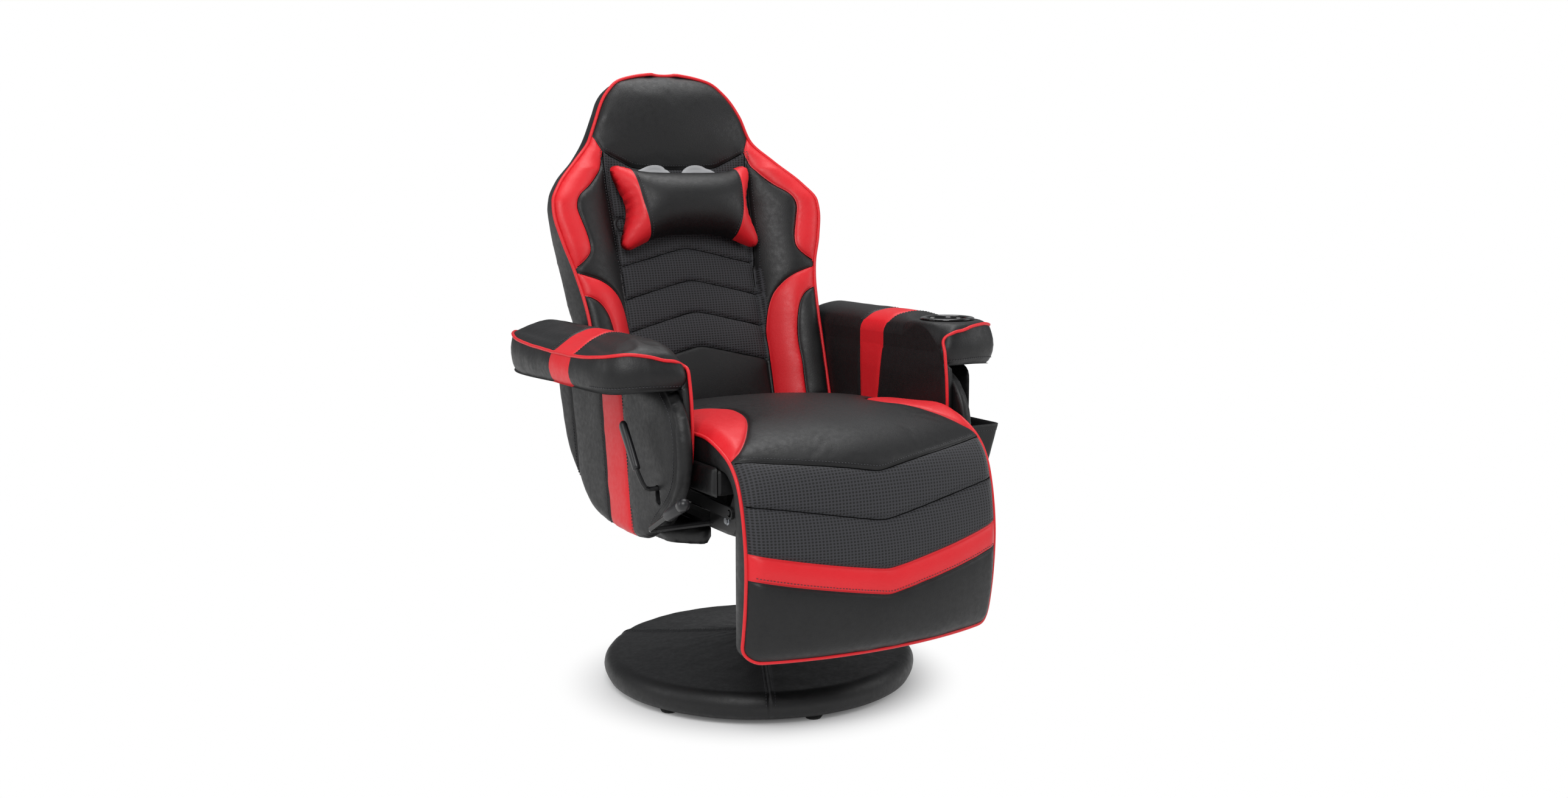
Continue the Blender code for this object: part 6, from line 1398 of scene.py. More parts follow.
for side, name in ((1, "left"), (-1, "right")):
    flat, triangles, loop = cut_panel(side_curve[::-1], side_seams, 0.0052)
    depth, off_seam, off_rim = side_depth(flat)
    depth += 0.0014 * wrinkle(flat, 0.026, 12.0 + side) * np.exp(-np.minimum(off_seam, off_rim) / 0.02)
    depth += 0.0013 * wrinkle(flat, 0.07, 14.0 + side) * ramp(off_rim, 0.03)
    front = xyz(side * (SIDE_INNER + depth), flat[:, 0], flat[:, 1])
    back = xyz(side * (SIDE_INNER + 0.0002), flat[:, 0] * 0.985, flat[:, 1])
    of_face = between(*flat[triangles].mean(axis=1).T, side_seams[:2])
    of_wall = between(*(next_middle(values) for values in flat[loop].T), side_seams[:2])
    panel = pad_from_panel("arm_side_pad_" + name, flat, triangles, loop, front, back, [],
                           [black_leather, red_leather], of_face, of_wall)
    outward_faces(panel)

    flat, triangles, loop = cut_panel(board_curve[::-1], board_seams, 0.0055)
    rim = off_outline(flat, board_curve)
    d = off_lines(flat, board_seams)
    # The lining runs on into the rest without a seam, so it dips under the rest's cover at its upper end.
    below = np.where(flat[:, 1] > 0.57, 0.05, rim)
    padded = ramp(flat[:, 1] - 0.436, 0.02) * ramp(0.6125 - flat[:, 1], 0.05)
    depth = 0.003 * np.clip(below / 0.012, 0.0, 1) ** 0.5 * padded
    depth -= 0.0012 * ramp(flat[:, 1] - 0.585, 0.0275)
    depth -= 0.0022 * np.exp(-(d / 0.0035) ** 2) * padded
    depth += 0.0007 * wrinkle(flat, 0.045, 21.0 + side) * ramp(rim, 0.02) * padded
    front = xyz(side * (ARM_INNER - depth), flat[:, 0], flat[:, 1])
    back = xyz(side * BOARD_OUTER, flat[:, 0], np.minimum(flat[:, 1], 0.579))
    middles = flat[triangles].mean(axis=1)
    of_face = between(*middles.T, board_seams) * (middles[:, 1] > 0.42)
    board = pad_from_panel("arm_lined_board_" + name, flat, triangles, loop, front, back, [],
                           [black_leather, red_leather], of_face)
    outward_faces(board)
    for piece in (panel, board):
        if side < 0:
            (y_low, z_low), (y_high, z_high) = LEVER_SLOT
            slot = [(0.5 * (y_low + y_high) + 0.5 * (y_high - y_low) * cos(a),
                     (z_high - SLOT_ROUND if sin(a) > 0 else z_low + SLOT_ROUND) + SLOT_ROUND * sin(a))
                    for a in (2 * pi * (i + 0.5) / SLOT_STEPS for i in range(SLOT_STEPS))]
            tool = mesh_piece("slot_tool", [(x, y, z) for x in (-0.35, -0.24) for y, z in slot],
                              ring_faces(2, SLOT_STEPS), [black_leather], smooth=False)
            outward_faces(tool)
            cut(piece, [tool])
        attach(piece, "seat")
    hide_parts("arm_side_panel_" + name)
    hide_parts("arm_wall_" + name)

    rows = []
    for line, aside in zip(side_seams, (-0.006, 0.006, 0.006, 0.006)):
        line = moved_aside(spaced(line, LINE_STEP)[2:-2], aside)
        rows.append(xyz(side * (SIDE_INNER + side_depth(line)[0] + STITCH_RISE), line[:, 0], line[:, 1]))
    sew("arm_side_stitches_" + name, rows, black_stitches, "seat")

    flat, triangles, loop = cut_panel(foot_curve, [], 0.0065)
    rim = off_outline(flat, foot_curve)
    turned = 1 - quarter(ramp(rim, 0.012))
    folds = 0.0008 * wrinkle(flat, 0.03, 61.0 + side)
    foot = pad_from_panel("arm_foot_" + name, flat, triangles, loop,
                          xyz(side * flat[:, 0], flat[:, 1], FOOT_LOW + 0.013 * turned + folds),
                          xyz(side * flat[:, 0], flat[:, 1], FOOT_HIGH - 0.005 * turned), [], [black_leather])
    outward_faces(foot)
    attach(foot, "seat")


# ----------------------------------------------------------
# Head pillow: a dog-bone pillow with a smooth black middle and two gathered red ends, stuffed with fibre. An
# elastic cord through the two grommets holds it to the back.
# ----------------------------------------------------------
def bag_height(flat, triangles, loop):
    """Height of a blown-up bag over a flat panel, from 0 at its rim to 1: the root of an even load's sag."""
    load, pull = np.zeros(len(flat)), np.zeros((len(flat), len(flat)))
    for k in range(3):
        i, j, m = triangles[:, k], triangles[:, (k + 1) % 3], triangles[:, (k + 2) % 3]
        a, b = flat[i] - flat[m], flat[j] - flat[m]
        area = np.abs(a[:, 0] * b[:, 1] - a[:, 1] * b[:, 0])
        weight = 0.5 * (a * b).sum(axis=1) / np.maximum(area, 1e-10)
        for p, q in ((i, j), (j, i)):
            np.add.at(pull, (p, q), -weight)
            np.add.at(pull, (p, p), weight)
        np.add.at(load, i, area / 6)
    inner = np.setdiff1d(np.arange(len(flat)), loop)
    sag = np.zeros(len(flat))
    sag[inner] = np.linalg.solve(pull[np.ix_(inner, inner)], load[inner])
    return np.sqrt(np.clip(sag, 0, None) / sag.max())


PILLOW_CENTRE, PILLOW_REST, PILLOW_THICKNESS, PILLOW_HEM = 0.422, -0.0357, 0.086, 0.022
PILLOW_OUTLINE = ((0.0, 0.069), (0.045, 0.0695), (0.085, 0.072), (0.112, 0.079), (0.132, 0.086), (0.145, 0.083),
                  (0.148, 0.069), (0.1405, 0.044), (0.13, 0.02), (0.1265, 0.002), (0.1295, -0.018),
                  (0.139, -0.042), (0.147, -0.064), (0.144, -0.0765), (0.131, -0.08), (0.108, -0.0715),
                  (0.08, -0.06), (0.045, -0.053), (0.0, -0.0515))
pillow_knots = [(w, PILLOW_CENTRE + h) for w, h in PILLOW_OUTLINE]
pillow_knots += [(-w, s) for w, s in pillow_knots[1:-1][::-1]]
pillow_outline = flat_curve(pillow_knots, 4, closed=True)[::-1]
pillow_seam = flat_curve(((0.113, PILLOW_CENTRE + 0.082), (0.111, PILLOW_CENTRE + 0.045), (0.106, PILLOW_CENTRE),
                          (0.099, PILLOW_CENTRE - 0.035), (0.09, PILLOW_CENTRE - 0.068)), 4)
pillow_seams = [pillow_seam, pillow_seam * (-1, 1)]
flat, triangles, loop = cut_panel(pillow_outline, pillow_seams, 0.0042)
rim = off_outline(flat, pillow_outline)
d = off_lines(flat, pillow_seams)
top = PILLOW_HEM + (PILLOW_THICKNESS - PILLOW_HEM) * bag_height(flat, triangles, loop)
# The end seams are drawn up on a thread, so the red cloth gathers into short folds there.
gather = np.exp(-((np.abs(flat[:, 0]) - 0.132) / 0.016) ** 2) * np.exp(-rim / 0.016) * np.exp(
    -((flat[:, 1] - PILLOW_CENTRE) / 0.04) ** 2)
top += 0.003 * np.sin((flat[:, 1] - PILLOW_CENTRE) / 0.0026) * gather
top -= 0.0018 * np.exp(-(d / 0.0024) ** 2) * ramp(rim, 0.015)
floor_n = PILLOW_REST + 0.0008 + 0.9 * np.maximum(0.0, np.abs(flat[:, 0]) - 0.128)
low = np.minimum(floor_n + 0.02 * (1 - ramp(rim, 0.03)) ** 2, PILLOW_REST + top)
middles = flat[triangles].mean(axis=1)
seam_w = np.interp(middles[:, 1], pillow_seam[::-1, 1], pillow_seam[::-1, 0])
pillow = pad_from_panel("head_pillow_soft", flat, triangles, loop,
                        back_place(flat[:, 0], PILLOW_REST + top, flat[:, 1]),
                        back_place(flat[:, 0], low, flat[:, 1]), [], [black_leather, red_leather],
                        (np.abs(middles[:, 0]) > seam_w).astype(int), wall=1)
pillow.data.polygons.foreach_set("material_index", np.array(
    [p.material_index if k < len(triangles) else int(abs(p.center.x) > 0.1)
     for k, p in enumerate(pillow.data.polygons)], dtype=np.int32))
free = np.zeros(len(pillow.data.vertices))
free[:len(flat)] = ramp(rim, 0.01) * np.clip(0.35 + d / 0.02, 0, 1)
inflate(pillow, free, 0.008, slack=0.004)
outward_faces(pillow)
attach(pillow, "back")
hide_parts("head_pillow")
rows = []
for line, side in zip(pillow_seams, (1, -1)):
    line = spaced(line, 0.005)[2:-2] - np.array((0.0045 * side, 0.0))
    nearest = np.argmin(np.linalg.norm(line[:, None, :] - flat[None, :, :], axis=2), axis=1)
    rows.append(back_place(line[:, 0], PILLOW_REST + top[nearest] + 0.003, line[:, 1]))
sew("pillow_stitches", laid_on(pillow, rows), black_stitches, "back")


# ----------------------------------------------------------
# Pillow cord: round black elastic, braided, taut between the pillow and the rear of the back. It runs through both
# grommets and is sewn into the pillow's rear at each end.
# ----------------------------------------------------------
# Braided elastic cord: black with a diagonal braid of 1.2 mm, its ridges painted lighter as a highlight and the dull
# grooves between them darker as shade.
elastic = surface("braided_elastic", "Wave", {"Scale": 1 / 0.0048, "Distortion": 1.5, "Detail": 1.0},
                  ("#0c0c0d", "#2b2b2e"), 0.68, (0.4, 0.0005), {"bands_direction": "DIAGONAL"})
coat(elastic, "pillow_strap")


# ----------------------------------------------------------
# Cup holder: a deep cup of glossy black ABS, blow-moulded with a rolled rim, dropped into a hole in the left rest.
# Its rim lies on the pressed foam and hides the edge of the hole.
# ----------------------------------------------------------
# Polished black ABS: deep black, mirror-like, with the faintest cloudiness.
gloss_abs = surface("gloss_black_abs", "Noise", {"Scale": 1 / 0.03, "Detail": 2.0}, "#0d0d0e", (0.1, 0.18),
                    **{"Coat Weight": 0.4})

cup_outer = CUP_RADIUS + CUP_RIM
cup_profile = [(0, CUP_FLOOR), (CUP_RADIUS - 0.004, CUP_FLOOR), (CUP_RADIUS - 0.0012, CUP_FLOOR + 0.0012),
               (CUP_RADIUS, CUP_FLOOR + 0.004), (CUP_RADIUS, CUP_SEAT), (cup_outer - 0.0016, CUP_SEAT),
               (cup_outer - 0.0003, CUP_SEAT + 0.0012), (cup_outer - 0.001, CUP_SEAT + 0.003),
               (cup_outer - 0.0036, CUP_SEAT + 0.0043), (cup_outer - 0.007, CUP_SEAT + 0.0043),
               (CUP_RADIUS - 0.0008, CUP_SEAT + 0.003), (CUP_RADIUS - 0.002, CUP_SEAT),
               (CUP_RADIUS - 0.002, CUP_FLOOR + 0.008), (CUP_RADIUS - 0.003, CUP_FLOOR + 0.004),
               (CUP_RADIUS - 0.006, CUP_FLOOR + 0.002), (0, CUP_FLOOR + 0.002)]
cup = turned_piece("cup_holder_gloss", cup_profile, [2 * pi * i / 72 for i in range(72)], [gloss_abs],
                   (CUP_X, CUP_Y))
outward_faces(cup)
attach(cup, "seat")
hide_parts("cup_holder")


# ----------------------------------------------------------
# Side pouch: a bag of black leatherette sewn to a flap that hangs from the left rest. The mouth has a turned and
# stitched hem, the front sags a little, and the handset stands in it.
# ----------------------------------------------------------
POUCH_BACK, POUCH_FRONT_Y, POUCH_REAR_Y, POUCH_CORNER = 0.318, -0.205, 0.055, 0.01
POUCH_LOW, POUCH_RIM, POUCH_WALL = 0.345, 0.468, 0.003
POUCH_DEEP_LOW, POUCH_DEEP_HIGH, FLAP_TOP = 0.036, 0.0735, 0.5787


def pouch_ring(z, inset):
    """One level of the bag: a long box with round corners, its outer side slack."""
    up = (z - POUCH_LOW) / (POUCH_RIM - POUCH_LOW)
    low_x = POUCH_BACK + inset
    high_x = POUCH_BACK + POUCH_DEEP_LOW + (POUCH_DEEP_HIGH - POUCH_DEEP_LOW) * up - inset
    low_y, high_y, corner = POUCH_FRONT_Y + inset, POUCH_REAR_Y - inset, POUCH_CORNER
    bends = [(corner * (1 - sin(a)), corner * (1 - cos(a))) for a in (radians(30), radians(60))]
    ring = [(low_x, y) for y in np.linspace(high_y, low_y, 22)]
    ring += [(x, low_y) for x in np.linspace(low_x, high_x - corner, 8)[1:]]
    ring += [(high_x - short, low_y + rise) for short, rise in bends]
    ring += [(high_x, y) for y in np.linspace(low_y + corner, high_y - corner, 22)]
    ring += [(high_x - short, high_y - rise) for short, rise in bends[::-1]]
    ring += [(x, high_y) for x in np.linspace(high_x - corner, low_x, 8)[:-1]]
    ring = np.array(ring)
    slack = ramp(ring[:, 0] - low_x, high_x - low_x) * sin(pi * min(1.0, max(0.0, up)))
    folds = wrinkle(np.stack([ring[:, 1], np.full(len(ring), z)], axis=1), 0.03, 71.0)
    ring[:, 0] += slack * (0.003 * np.sin(pi * (ring[:, 1] - low_y) / (high_y - low_y)) + 0.0015 * folds)
    return np.column_stack([ring, np.full(len(ring), z)])


levels = [(POUCH_LOW, 0.008), (POUCH_LOW + 0.0012, 0.0036), (POUCH_LOW + 0.0036, 0.001)]
levels += [(z, 0.0) for z in np.linspace(POUCH_LOW + 0.008, POUCH_RIM - 0.018, 14)]
levels += [(POUCH_RIM - 0.015, 0.0), (POUCH_RIM - 0.0138, 0.0), (POUCH_RIM - 0.006, -0.0006),
           (POUCH_RIM - 0.0006, -0.0002), (POUCH_RIM, 0.0012), (POUCH_RIM - 0.0006, 0.0028)]
levels += [(z, POUCH_WALL) for z in np.linspace(POUCH_RIM - 0.006, POUCH_LOW + 0.01, 12)]
levels.append((POUCH_LOW + POUCH_WALL, 0.006))
rings = [pouch_ring(z, inset) for z, inset in levels]
pouch = mesh_piece("pouch_bag", np.vstack(rings), ring_faces(len(rings), len(rings[0])), [black_leather])
outward_faces(pouch)
FLAP_LOW, FLAP_CORNER, HEM_INSET, HEM_CORNER, HEM_LOW = 0.452, 0.022, 0.006, 0.016, 0.475


def flap_corners(inset, corner, count):
    """The flap's two upper corners, rounded, from the front to the rear."""
    turns = np.linspace(0, pi / 2, count)
    front = [(inset + corner * (1 - cos(a)), inset + corner * (1 - sin(a))) for a in turns]
    return ([(POUCH_FRONT_Y + y, FLAP_TOP - z) for y, z in front]
            + [(POUCH_REAR_Y - y, FLAP_TOP - z) for y, z in front[::-1]])


flap_outline = [(POUCH_REAR_Y, FLAP_LOW), (POUCH_FRONT_Y, FLAP_LOW)] + flap_corners(0.0, FLAP_CORNER, 7)
flat, triangles, loop = cut_panel(flap_outline, [], 0.008)
edge = 0.001 * np.exp(-off_outline(flat, flap_outline) / 0.003)
flap = pad_from_panel("pouch_flap", flat, triangles, loop, xyz(POUCH_BACK + POUCH_WALL - edge, *flat.T),
                      xyz(POUCH_BACK - 0.0002 + edge, *flat.T), [], [black_leather])
outward_faces(flap)
for piece in (pouch, flap):
    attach(piece, "seat")
    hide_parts("side_pouch")
hem = [p for p in pouch_ring(POUCH_RIM - 0.0115, -0.0004) if p[0] > POUCH_BACK + 0.002]
edge_row = [(POUCH_FRONT_Y + HEM_INSET, HEM_LOW)] + flap_corners(HEM_INSET, HEM_CORNER, 5)
edge_row = [(POUCH_BACK + POUCH_WALL + 0.0002, y, z)
            for y, z in spaced(edge_row + [(POUCH_REAR_Y - HEM_INSET, HEM_LOW)], 0.005)]
sew("pouch_stitches", [hem, edge_row], black_stitches, "seat")


# ----------------------------------------------------------
# Levers: the recline release is a bent rod with a flat moulded paddle in a slot of the right arm's side. Below it the
# height lever is a steel tube with a thick moulded grip and a ball end.
# ----------------------------------------------------------
def loft_along(name, start, heading, across, profile, material, count=28):
    """A closed form along a heading: rings of (place along, half width, half thickness), round at both ends."""
    start, heading, across = (Vector(v) for v in (start, heading, across))
    third = heading.cross(across)
    points = [start + heading * along + across * (wide * cos(a)) + third * (thick * sin(a))
              for along, wide, thick in profile for a in (2 * pi * i / count for i in range(count))]
    piece = mesh_piece(name, points, ring_faces(len(profile), count), [material])
    outward_faces(piece)
    return piece


PADDLE_SLANT, LEVER_SLANT = radians(39), radians(27)
PADDLE_FOOT, PADDLE_HEADING = Vector((-0.3168, -0.176, 0.439)), Vector((0, sin(PADDLE_SLANT), cos(PADDLE_SLANT)))
PADDLE_LENGTH, PADDLE_WIDTH, PADDLE_THICK = 0.092, 0.021, 0.0125
paddle_start = PADDLE_FOOT + PADDLE_HEADING * 0.006
paddle_profile = []
for t in (0.0, 0.006, 0.02, 0.06, 0.15, 0.35, 0.6, 0.8, 0.9, 0.955, 0.985, 1.0):
    tip, foot = max(0.0, (t - 0.9) / 0.1), max(0.0, (0.03 - t) / 0.03)
    ends = min(1.0, sqrt(max(0.02, 1 - tip ** 2)), sqrt(max(0.05, 1 - foot ** 2)))
    paddle_profile.append((PADDLE_LENGTH * t, PADDLE_WIDTH / 2 * (0.75 + 0.25 * min(1.0, t / 0.5)) * ends,
                           PADDLE_THICK / 2 * ends))
paddle = loft_along("recline_paddle", paddle_start, PADDLE_HEADING, (0, cos(PADDLE_SLANT), -sin(PADDLE_SLANT)),
                    paddle_profile, black_abs)
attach(paddle, "recline_lever")
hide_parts("recline_lever_grip")

LEVER_CORNER, LEVER_HEADING = Vector((-0.3058, -0.19, 0.346)), Vector((0, -cos(LEVER_SLANT), sin(LEVER_SLANT)))
LEVER_ARM, GRIP_LENGTH, GRIP_RADIUS = 0.085, 0.072, 0.0105
grip_profile = [(0.0, 0.006), (0.0006, 0.0088), (0.002, 0.0096), (0.004, 0.0098), (0.05, 0.0098),
                (0.0512, 0.009), (0.0524, 0.009), (0.0536, 0.0102)]
grip_profile += [(GRIP_LENGTH - GRIP_RADIUS * (1 - sin(a)), GRIP_RADIUS * max(0.02, cos(a)))
                 for a in np.linspace(0, pi / 2, 10)]
grip = loft_along("height_grip", LEVER_CORNER + LEVER_HEADING * LEVER_ARM, LEVER_HEADING, (1, 0, 0),
                  [(along, radius, radius) for along, radius in grip_profile], black_abs, 36)
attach(grip, "height_lever")
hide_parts("height_lever_grip")


# ----------------------------------------------------------
# Seat side bands: strips of black leatherette over thin wadding, stapled along both sides of the wooden seat box. They
# are gathered a little at the staples, so they show short upright puckers.
# ----------------------------------------------------------
coat(black_leather, "seat_box")
BAND_LOW, BAND_HIGH, BAND_FRONT, BAND_REAR, BAND_FACE = 0.412, 0.46, -0.2985, 0.118, 0.2362
band_outline = [(BAND_REAR, BAND_LOW), (BAND_REAR, BAND_HIGH), (BAND_FRONT, BAND_HIGH), (BAND_FRONT, BAND_LOW)]
for side, name in ((1, "left"), (-1, "right")):
    flat, triangles, loop = cut_panel(band_outline, [], 0.0055)
    rim = off_outline(flat, band_outline)
    puckers = np.sin(flat[:, 0] / 0.006 + 2.5 * wrinkle(flat, 0.05, 81.0 + side)) * np.exp(-rim / 0.012)
    depth = 0.0006 + 0.005 * quarter(ramp(rim, 0.014))
    depth += 0.0008 * puckers * ramp(rim, 0.004)
    band = pad_from_panel("seat_side_band_" + name, flat, triangles, loop, xyz(side * (BAND_FACE + depth), *flat.T),
                          xyz(side * BAND_FACE, *flat.T), [], [black_leather])
    outward_faces(band)
    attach(band, "seat")


# ----------------------------------------------------------
# Rear flap: a strip of black lining cloth stapled along the rear of the seat box and sewn to the foot of the back's
# padding. It hangs slack in the gap between them, so that the back can turn.
# ----------------------------------------------------------
FLAP_HALF, FLAP_THICK = 0.178, 0.0012
FLAP_ROUTE = ((0.1228, 0.45), (0.128, 0.441), (0.142, 0.433), (0.16, 0.4325), (0.178, 0.44), (0.191, 0.453),
              (0.2006, 0.4675))
flap_curve = flat_curve(FLAP_ROUTE)
flap_run = np.concatenate([[0.0], np.cumsum(np.linalg.norm(np.diff(flap_curve, axis=0), axis=1))])
flap_length = float(flap_run[-1])
flap_outline = [(-FLAP_HALF, 0.0), (FLAP_HALF, 0.0), (FLAP_HALF, flap_length), (-FLAP_HALF, flap_length)]
flat, triangles, loop = cut_panel(flap_outline, [], 0.008)
y, z = (np.interp(flat[:, 1], flap_run, flap_curve[:, k]) for k in range(2))
along_y, along_z = (np.interp(flat[:, 1], flap_run, np.gradient(flap_curve[:, k], flap_run)) for k in range(2))
slack = np.clip(np.minimum(flat[:, 1], flap_length - flat[:, 1]) / 0.02, 0, 1)
z = z + 0.0015 * wrinkle(flat, 0.05, 91.0) * slack
half = FLAP_THICK / 2
flap = pad_from_panel("seat_back_flap", flat, triangles, loop,
                      xyz(flat[:, 0], y - along_z * half, z + along_y * half),
                      xyz(flat[:, 0], y + along_z * half, z - along_y * half), [], [lining_cloth])
outward_faces(flap)
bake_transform(flap)


# ----------------------------------------------------------
# Handset: two halves of black ABS with an inset printed panel, silicone keys and a ribbed rubber strain relief. The
# panel shows a figure, the massaged zones, eight lamps for the level and the timer's lamps.
# ----------------------------------------------------------
# Textured polycarbonate film: dark grey with a fine lighter speckle of about 0.6 mm, dull.
panel_film = surface("printed_panel_film", "Noise", {"Scale": 1 / 0.0006, "Detail": 2.0}, ("#1d1d1f", "#3a3a3d"), 0.6)
# Moulded silicone keys: dark grey with a soft, slightly cloudy shine.
silicone = surface("silicone_rubber", "Noise", {"Scale": 1 / 0.004, "Detail": 2.0}, "#38383b", (0.42, 0.55))


def lamp_lens(name, code, strength):
    """A glowing material, its glow a little uneven: a small lamp behind a diffusing lens, or a faint painted glow on a
    print.
    """
    material, tree, out = empty_material(name)
    place = add_node(tree, "ShaderNodeTexCoord")
    milk = add_node(tree, "ShaderNodeTexNoise", {"Vector": place.outputs["Object"], "Scale": 1 / 0.001})
    level = add_node(tree, "ShaderNodeMapRange", {"Value": milk.outputs["Fac"], "To Min": 0.8 * strength,
                                                  "To Max": strength})
    shader = add_node(tree, "ShaderNodeBsdfPrincipled", {
        "Base Color": linear(code), "Emission Color": linear(code), "Emission Strength": level.outputs["Result"],
        "Roughness": 0.3})
    tree.links.new(shader.outputs[0], out.inputs["Surface"])
    return material


# White screen print with a faint painted glow, as if lit, though it is no lamp.
ink = lamp_lens("white_print_painted_glow", "#d9d9da", 0.12)
dark_lens = lamp_lens("dark_lamp_lens", "#6a6a6c", 0.0)
red_lamp = lamp_lens("red_lamp_lens", "#ff5a60", 1.6)
green_lamp = lamp_lens("green_lamp_lens", "#4fc25a", 0.5)
amber_lamp = lamp_lens("amber_lamp_lens", "#ffb060", 1.4)
coat(panel_film, "handset_panel")
coat(rubber, "handset_strain_relief")
coat(silicone, "power_button", "timer_button", "massage_zone_button", "intensity_button", "level_rocker")
HANDSET_Y, HANDSET_Z, PANEL_FACE, KEY_FACE = -0.04, 0.4, 0.3421, 0.3435


def on_panel(points, face=PANEL_FACE):
    """Places across and up the handset, laid on its panel or on a key."""
    return [(face + 0.0001, HANDSET_Y + across, HANDSET_Z + up) for across, up in points]


def round_mark(across, up, radius, first=0.0, last=360.0):
    """Points on a circle or an arc."""
    return [(across + radius * cos(radians(a)), up + radius * sin(radians(a))) for a in np.linspace(first, last, 20)]


def printed(name, text, across, up, size, body, face=PANEL_FACE):
    """A printed figure or sign, as a very thin solid."""
    letters = bpy.data.curves.new(name, "FONT")
    letters.body = text
    letters.size = size
    letters.extrude = 0.00006
    letters.align_x, letters.align_y = "CENTER", "CENTER"
    letters.materials.append(ink)
    piece = plain_mesh(linked(name, letters), body)
    turn = Matrix(((0, 0, 1), (1, 0, 0), (0, 1, 0))).to_4x4()
    piece.data.transform(Matrix.Translation((face + 0.0001, HANDSET_Y + across, HANDSET_Z + up)) @ turn)
    return piece


WAVES = [(round_mark(0.0, 0.0, r, -50, 50), False) for r in (0.001, 0.0017, 0.0024)]
body_line = [(-0.0062, 0.114), (-0.006, 0.1165), (-0.0047, 0.1182), (-0.0027, 0.1188), (-0.0007, 0.1182),
             (0.0006, 0.1165), (0.0008, 0.114), (-0.0006, 0.096), (-0.001, 0.085), (-0.0027, 0.0822),
             (-0.0046, 0.085), (-0.005, 0.096)]
spine_line = [(-0.0052, 0.1145), (-0.0045, 0.117), (-0.0034, 0.1172), (-0.0026, 0.115), (-0.0022, 0.102),
              (-0.0028, 0.0998), (-0.0042, 0.0998), (-0.0047, 0.102)]
drawn = [(on_panel(line), True) for line in (round_mark(-0.0029, 0.1239, 0.0034)[:-1], body_line, spine_line)]
for up in (0.1132, 0.1088):
    drawn += [(on_panel([(a - 0.014, b + up) for a, b in line]), closed) for line, closed in WAVES]
    drawn.append((on_panel([(-0.0104, up), (-0.0066, up - 0.0024)]), False))
piping("panel_drawing", drawn, 0.00018, ink, "seat")
KEY_MARKS = (
    ("massage_zone_button", [([(a - 0.0125, b + 0.073) for a, b in line], closed) for line, closed in WAVES]
     + [(round_mark(-0.0136, 0.073, 0.0004)[:-1], True)]),
    ("intensity_button", [([(0.011, 0.0714), (0.015, 0.0714), (0.013, 0.075)], True)]),
    ("timer_button", [(round_mark(-0.0085, 0.045, 0.0024)[:-1], True),
                      ([(-0.0085, 0.0466), (-0.0085, 0.045), (-0.0073, 0.0444)], False)]),
    ("level_rocker", [([(-0.0006, 0.0608), (0.002, 0.0622)], False), ([(0.0, 0.0628), (0.0014, 0.0602)], False),
                      ([(0.0098, 0.044), (0.0124, 0.0454)], False)]),
    ("power_button", [(round_mark(0.0, 0.029, 0.0029)[:-1], True), ([(0.0, 0.0278), (0.0, 0.0302)], False)]))
for name, lines in KEY_MARKS:
    piping(name + "_mark", [(on_panel(line, KEY_FACE), closed) for line, closed in lines], 0.00022, ink, name)
for k in range(8):
    up = 0.1213 - 0.0052 * k
    printed("level_%d" % (k + 1), str(k + 1), 0.0108, up, 0.004, "seat")
    lamp = soft_block("level_lamp_%d" % (k + 1), (PANEL_FACE - 0.0002, HANDSET_Y + 0.0128, HANDSET_Z + up - 0.0008),
                      (PANEL_FACE + 0.0003, HANDSET_Y + 0.0176, HANDSET_Z + up + 0.0008), 0.0002,
                      red_lamp if k == 7 else dark_lens, 1)
    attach(lamp, "seat")
printed("minutes_15", "15", -0.0164, 0.0538, 0.004, "seat")
printed("minutes_30", "30", -0.01, 0.0569, 0.004, "seat")
for name, across, up, lens in (("zone_lamp_1", -0.0157, 0.1132, green_lamp),
                               ("zone_lamp_2", -0.0157, 0.1088, green_lamp),
                               ("timer_lamp_15", -0.0162, 0.0487, amber_lamp),
                               ("timer_lamp_30", -0.01, 0.0522, dark_lens)):
    lamp = soft_block(name, (PANEL_FACE - 0.0002, HANDSET_Y + across - 0.0006, HANDSET_Z + up - 0.0006),
                      (PANEL_FACE + 0.0003, HANDSET_Y + across + 0.0006, HANDSET_Z + up + 0.0006), 0.0002, lens, 2)
    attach(lamp, "seat")


# ----------------------------------------------------------
# Bolts: zinc-plated flanged hexagon bolts that hold the brackets to the back and the footrest, the arm feet to the
# chassis and the seat plate to its rails.
# ----------------------------------------------------------
# Zinc plate: bluish bright metal, a little cloudy, with a brushed shine.
zinc = surface("zinc_plated_steel", "Noise", {"Scale": 1 / 0.003, "Detail": 3.0}, "#b9bcc0", (0.22, 0.42), Metallic=1.0)

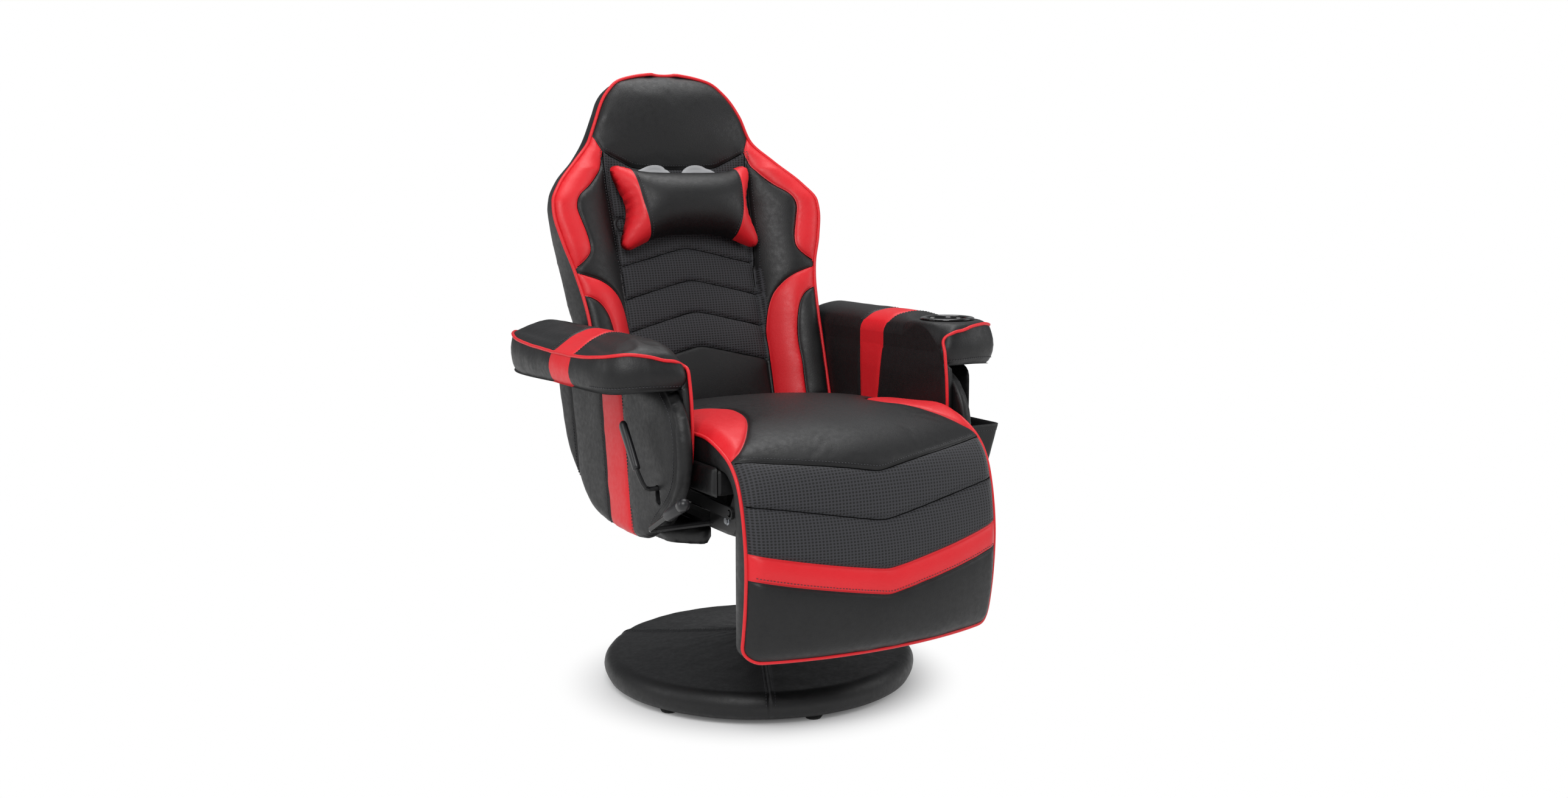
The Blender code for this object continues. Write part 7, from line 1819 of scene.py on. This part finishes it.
bolts, given = node_group("flanged_bolts", (("Head Radius", 0.0058), ("Head Height", 0.004),
                                            ("Flange Radius", 0.0075)))
head = add_node(bolts, "GeometryNodeMeshCylinder", {"Vertices": 6, "Radius": given.outputs["Head Radius"],
                                                    "Depth": given.outputs["Head Height"]})
half = add_node(bolts, "ShaderNodeMath", {0: given.outputs["Head Height"], 1: 0.5}, operation="MULTIPLY")
up = add_node(bolts, "ShaderNodeCombineXYZ", {"Z": half.outputs[0]})
raised = add_node(bolts, "GeometryNodeTransform", {"Geometry": head.outputs["Mesh"], "Translation": up.outputs[0]})
flange = add_node(bolts, "GeometryNodeMeshCylinder", {"Vertices": 24, "Radius": given.outputs["Flange Radius"],
                                                      "Depth": 0.0016})
both = add_node(bolts, "GeometryNodeJoinGeometry")
for part in (flange.outputs["Mesh"], raised.outputs[0]):
    bolts.links.new(part, both.inputs[0])
facing = add_node(bolts, "GeometryNodeInputNamedAttribute", {"Name": "facing"}, data_type="FLOAT_VECTOR")
turn = add_node(bolts, "FunctionNodeAlignRotationToVector", {"Vector": facing.outputs[0]}, axis="Z")
spots = add_node(bolts, "GeometryNodeInstanceOnPoints", {
    "Points": given.outputs["Geometry"], "Instance": both.outputs[0], "Rotation": turn.outputs[0]})
real = add_node(bolts, "GeometryNodeRealizeInstances", {"Geometry": spots.outputs[0]})
plated = add_node(bolts, "GeometryNodeSetMaterial", {"Geometry": real.outputs[0], "Material": zinc})
add_node(bolts, "NodeGroupOutput", {"Geometry": plated.outputs[0]})

BOLTS = (("back", [((s * 0.2075, y, z), (s, 0, 0)) for s in (1, -1)
                   for y, z in ((0.232, 0.47), (0.247, 0.512), (0.259, 0.552))]),
         ("footrest", [((s * 0.2075, -0.33, z), (s, 0, 0)) for s in (1, -1) for z in (0.235, 0.275)]),
         ("seat", [((s * 0.2027, y, z), (s, 0, 0)) for s in (1, -1) for y, z in ((-0.268, 0.366), (0.11, 0.362))]
          + [((s * 0.2, y, 0.3048), (0, 0, -1)) for s in (1, -1) for y in (-0.105, -0.02, 0.065)]
          + [((x, y, 0.331), (0, 0, -1)) for x in (-0.094, 0.094) for y in (-0.088, 0.088)]))
for body, spots in BOLTS:
    guide = bpy.data.meshes.new("bolts_" + body)
    guide.from_pydata([spot for spot, way in spots], [], [])
    guide.attributes.new("facing", "FLOAT_VECTOR", "POINT").data.foreach_set(
        "vector", np.array([way for spot, way in spots], dtype=np.float32).ravel())
    piece = linked("bolts_" + body, guide)
    piece.modifiers.new("bolts", "NODES").node_group = bolts
    plain_mesh(piece, body)
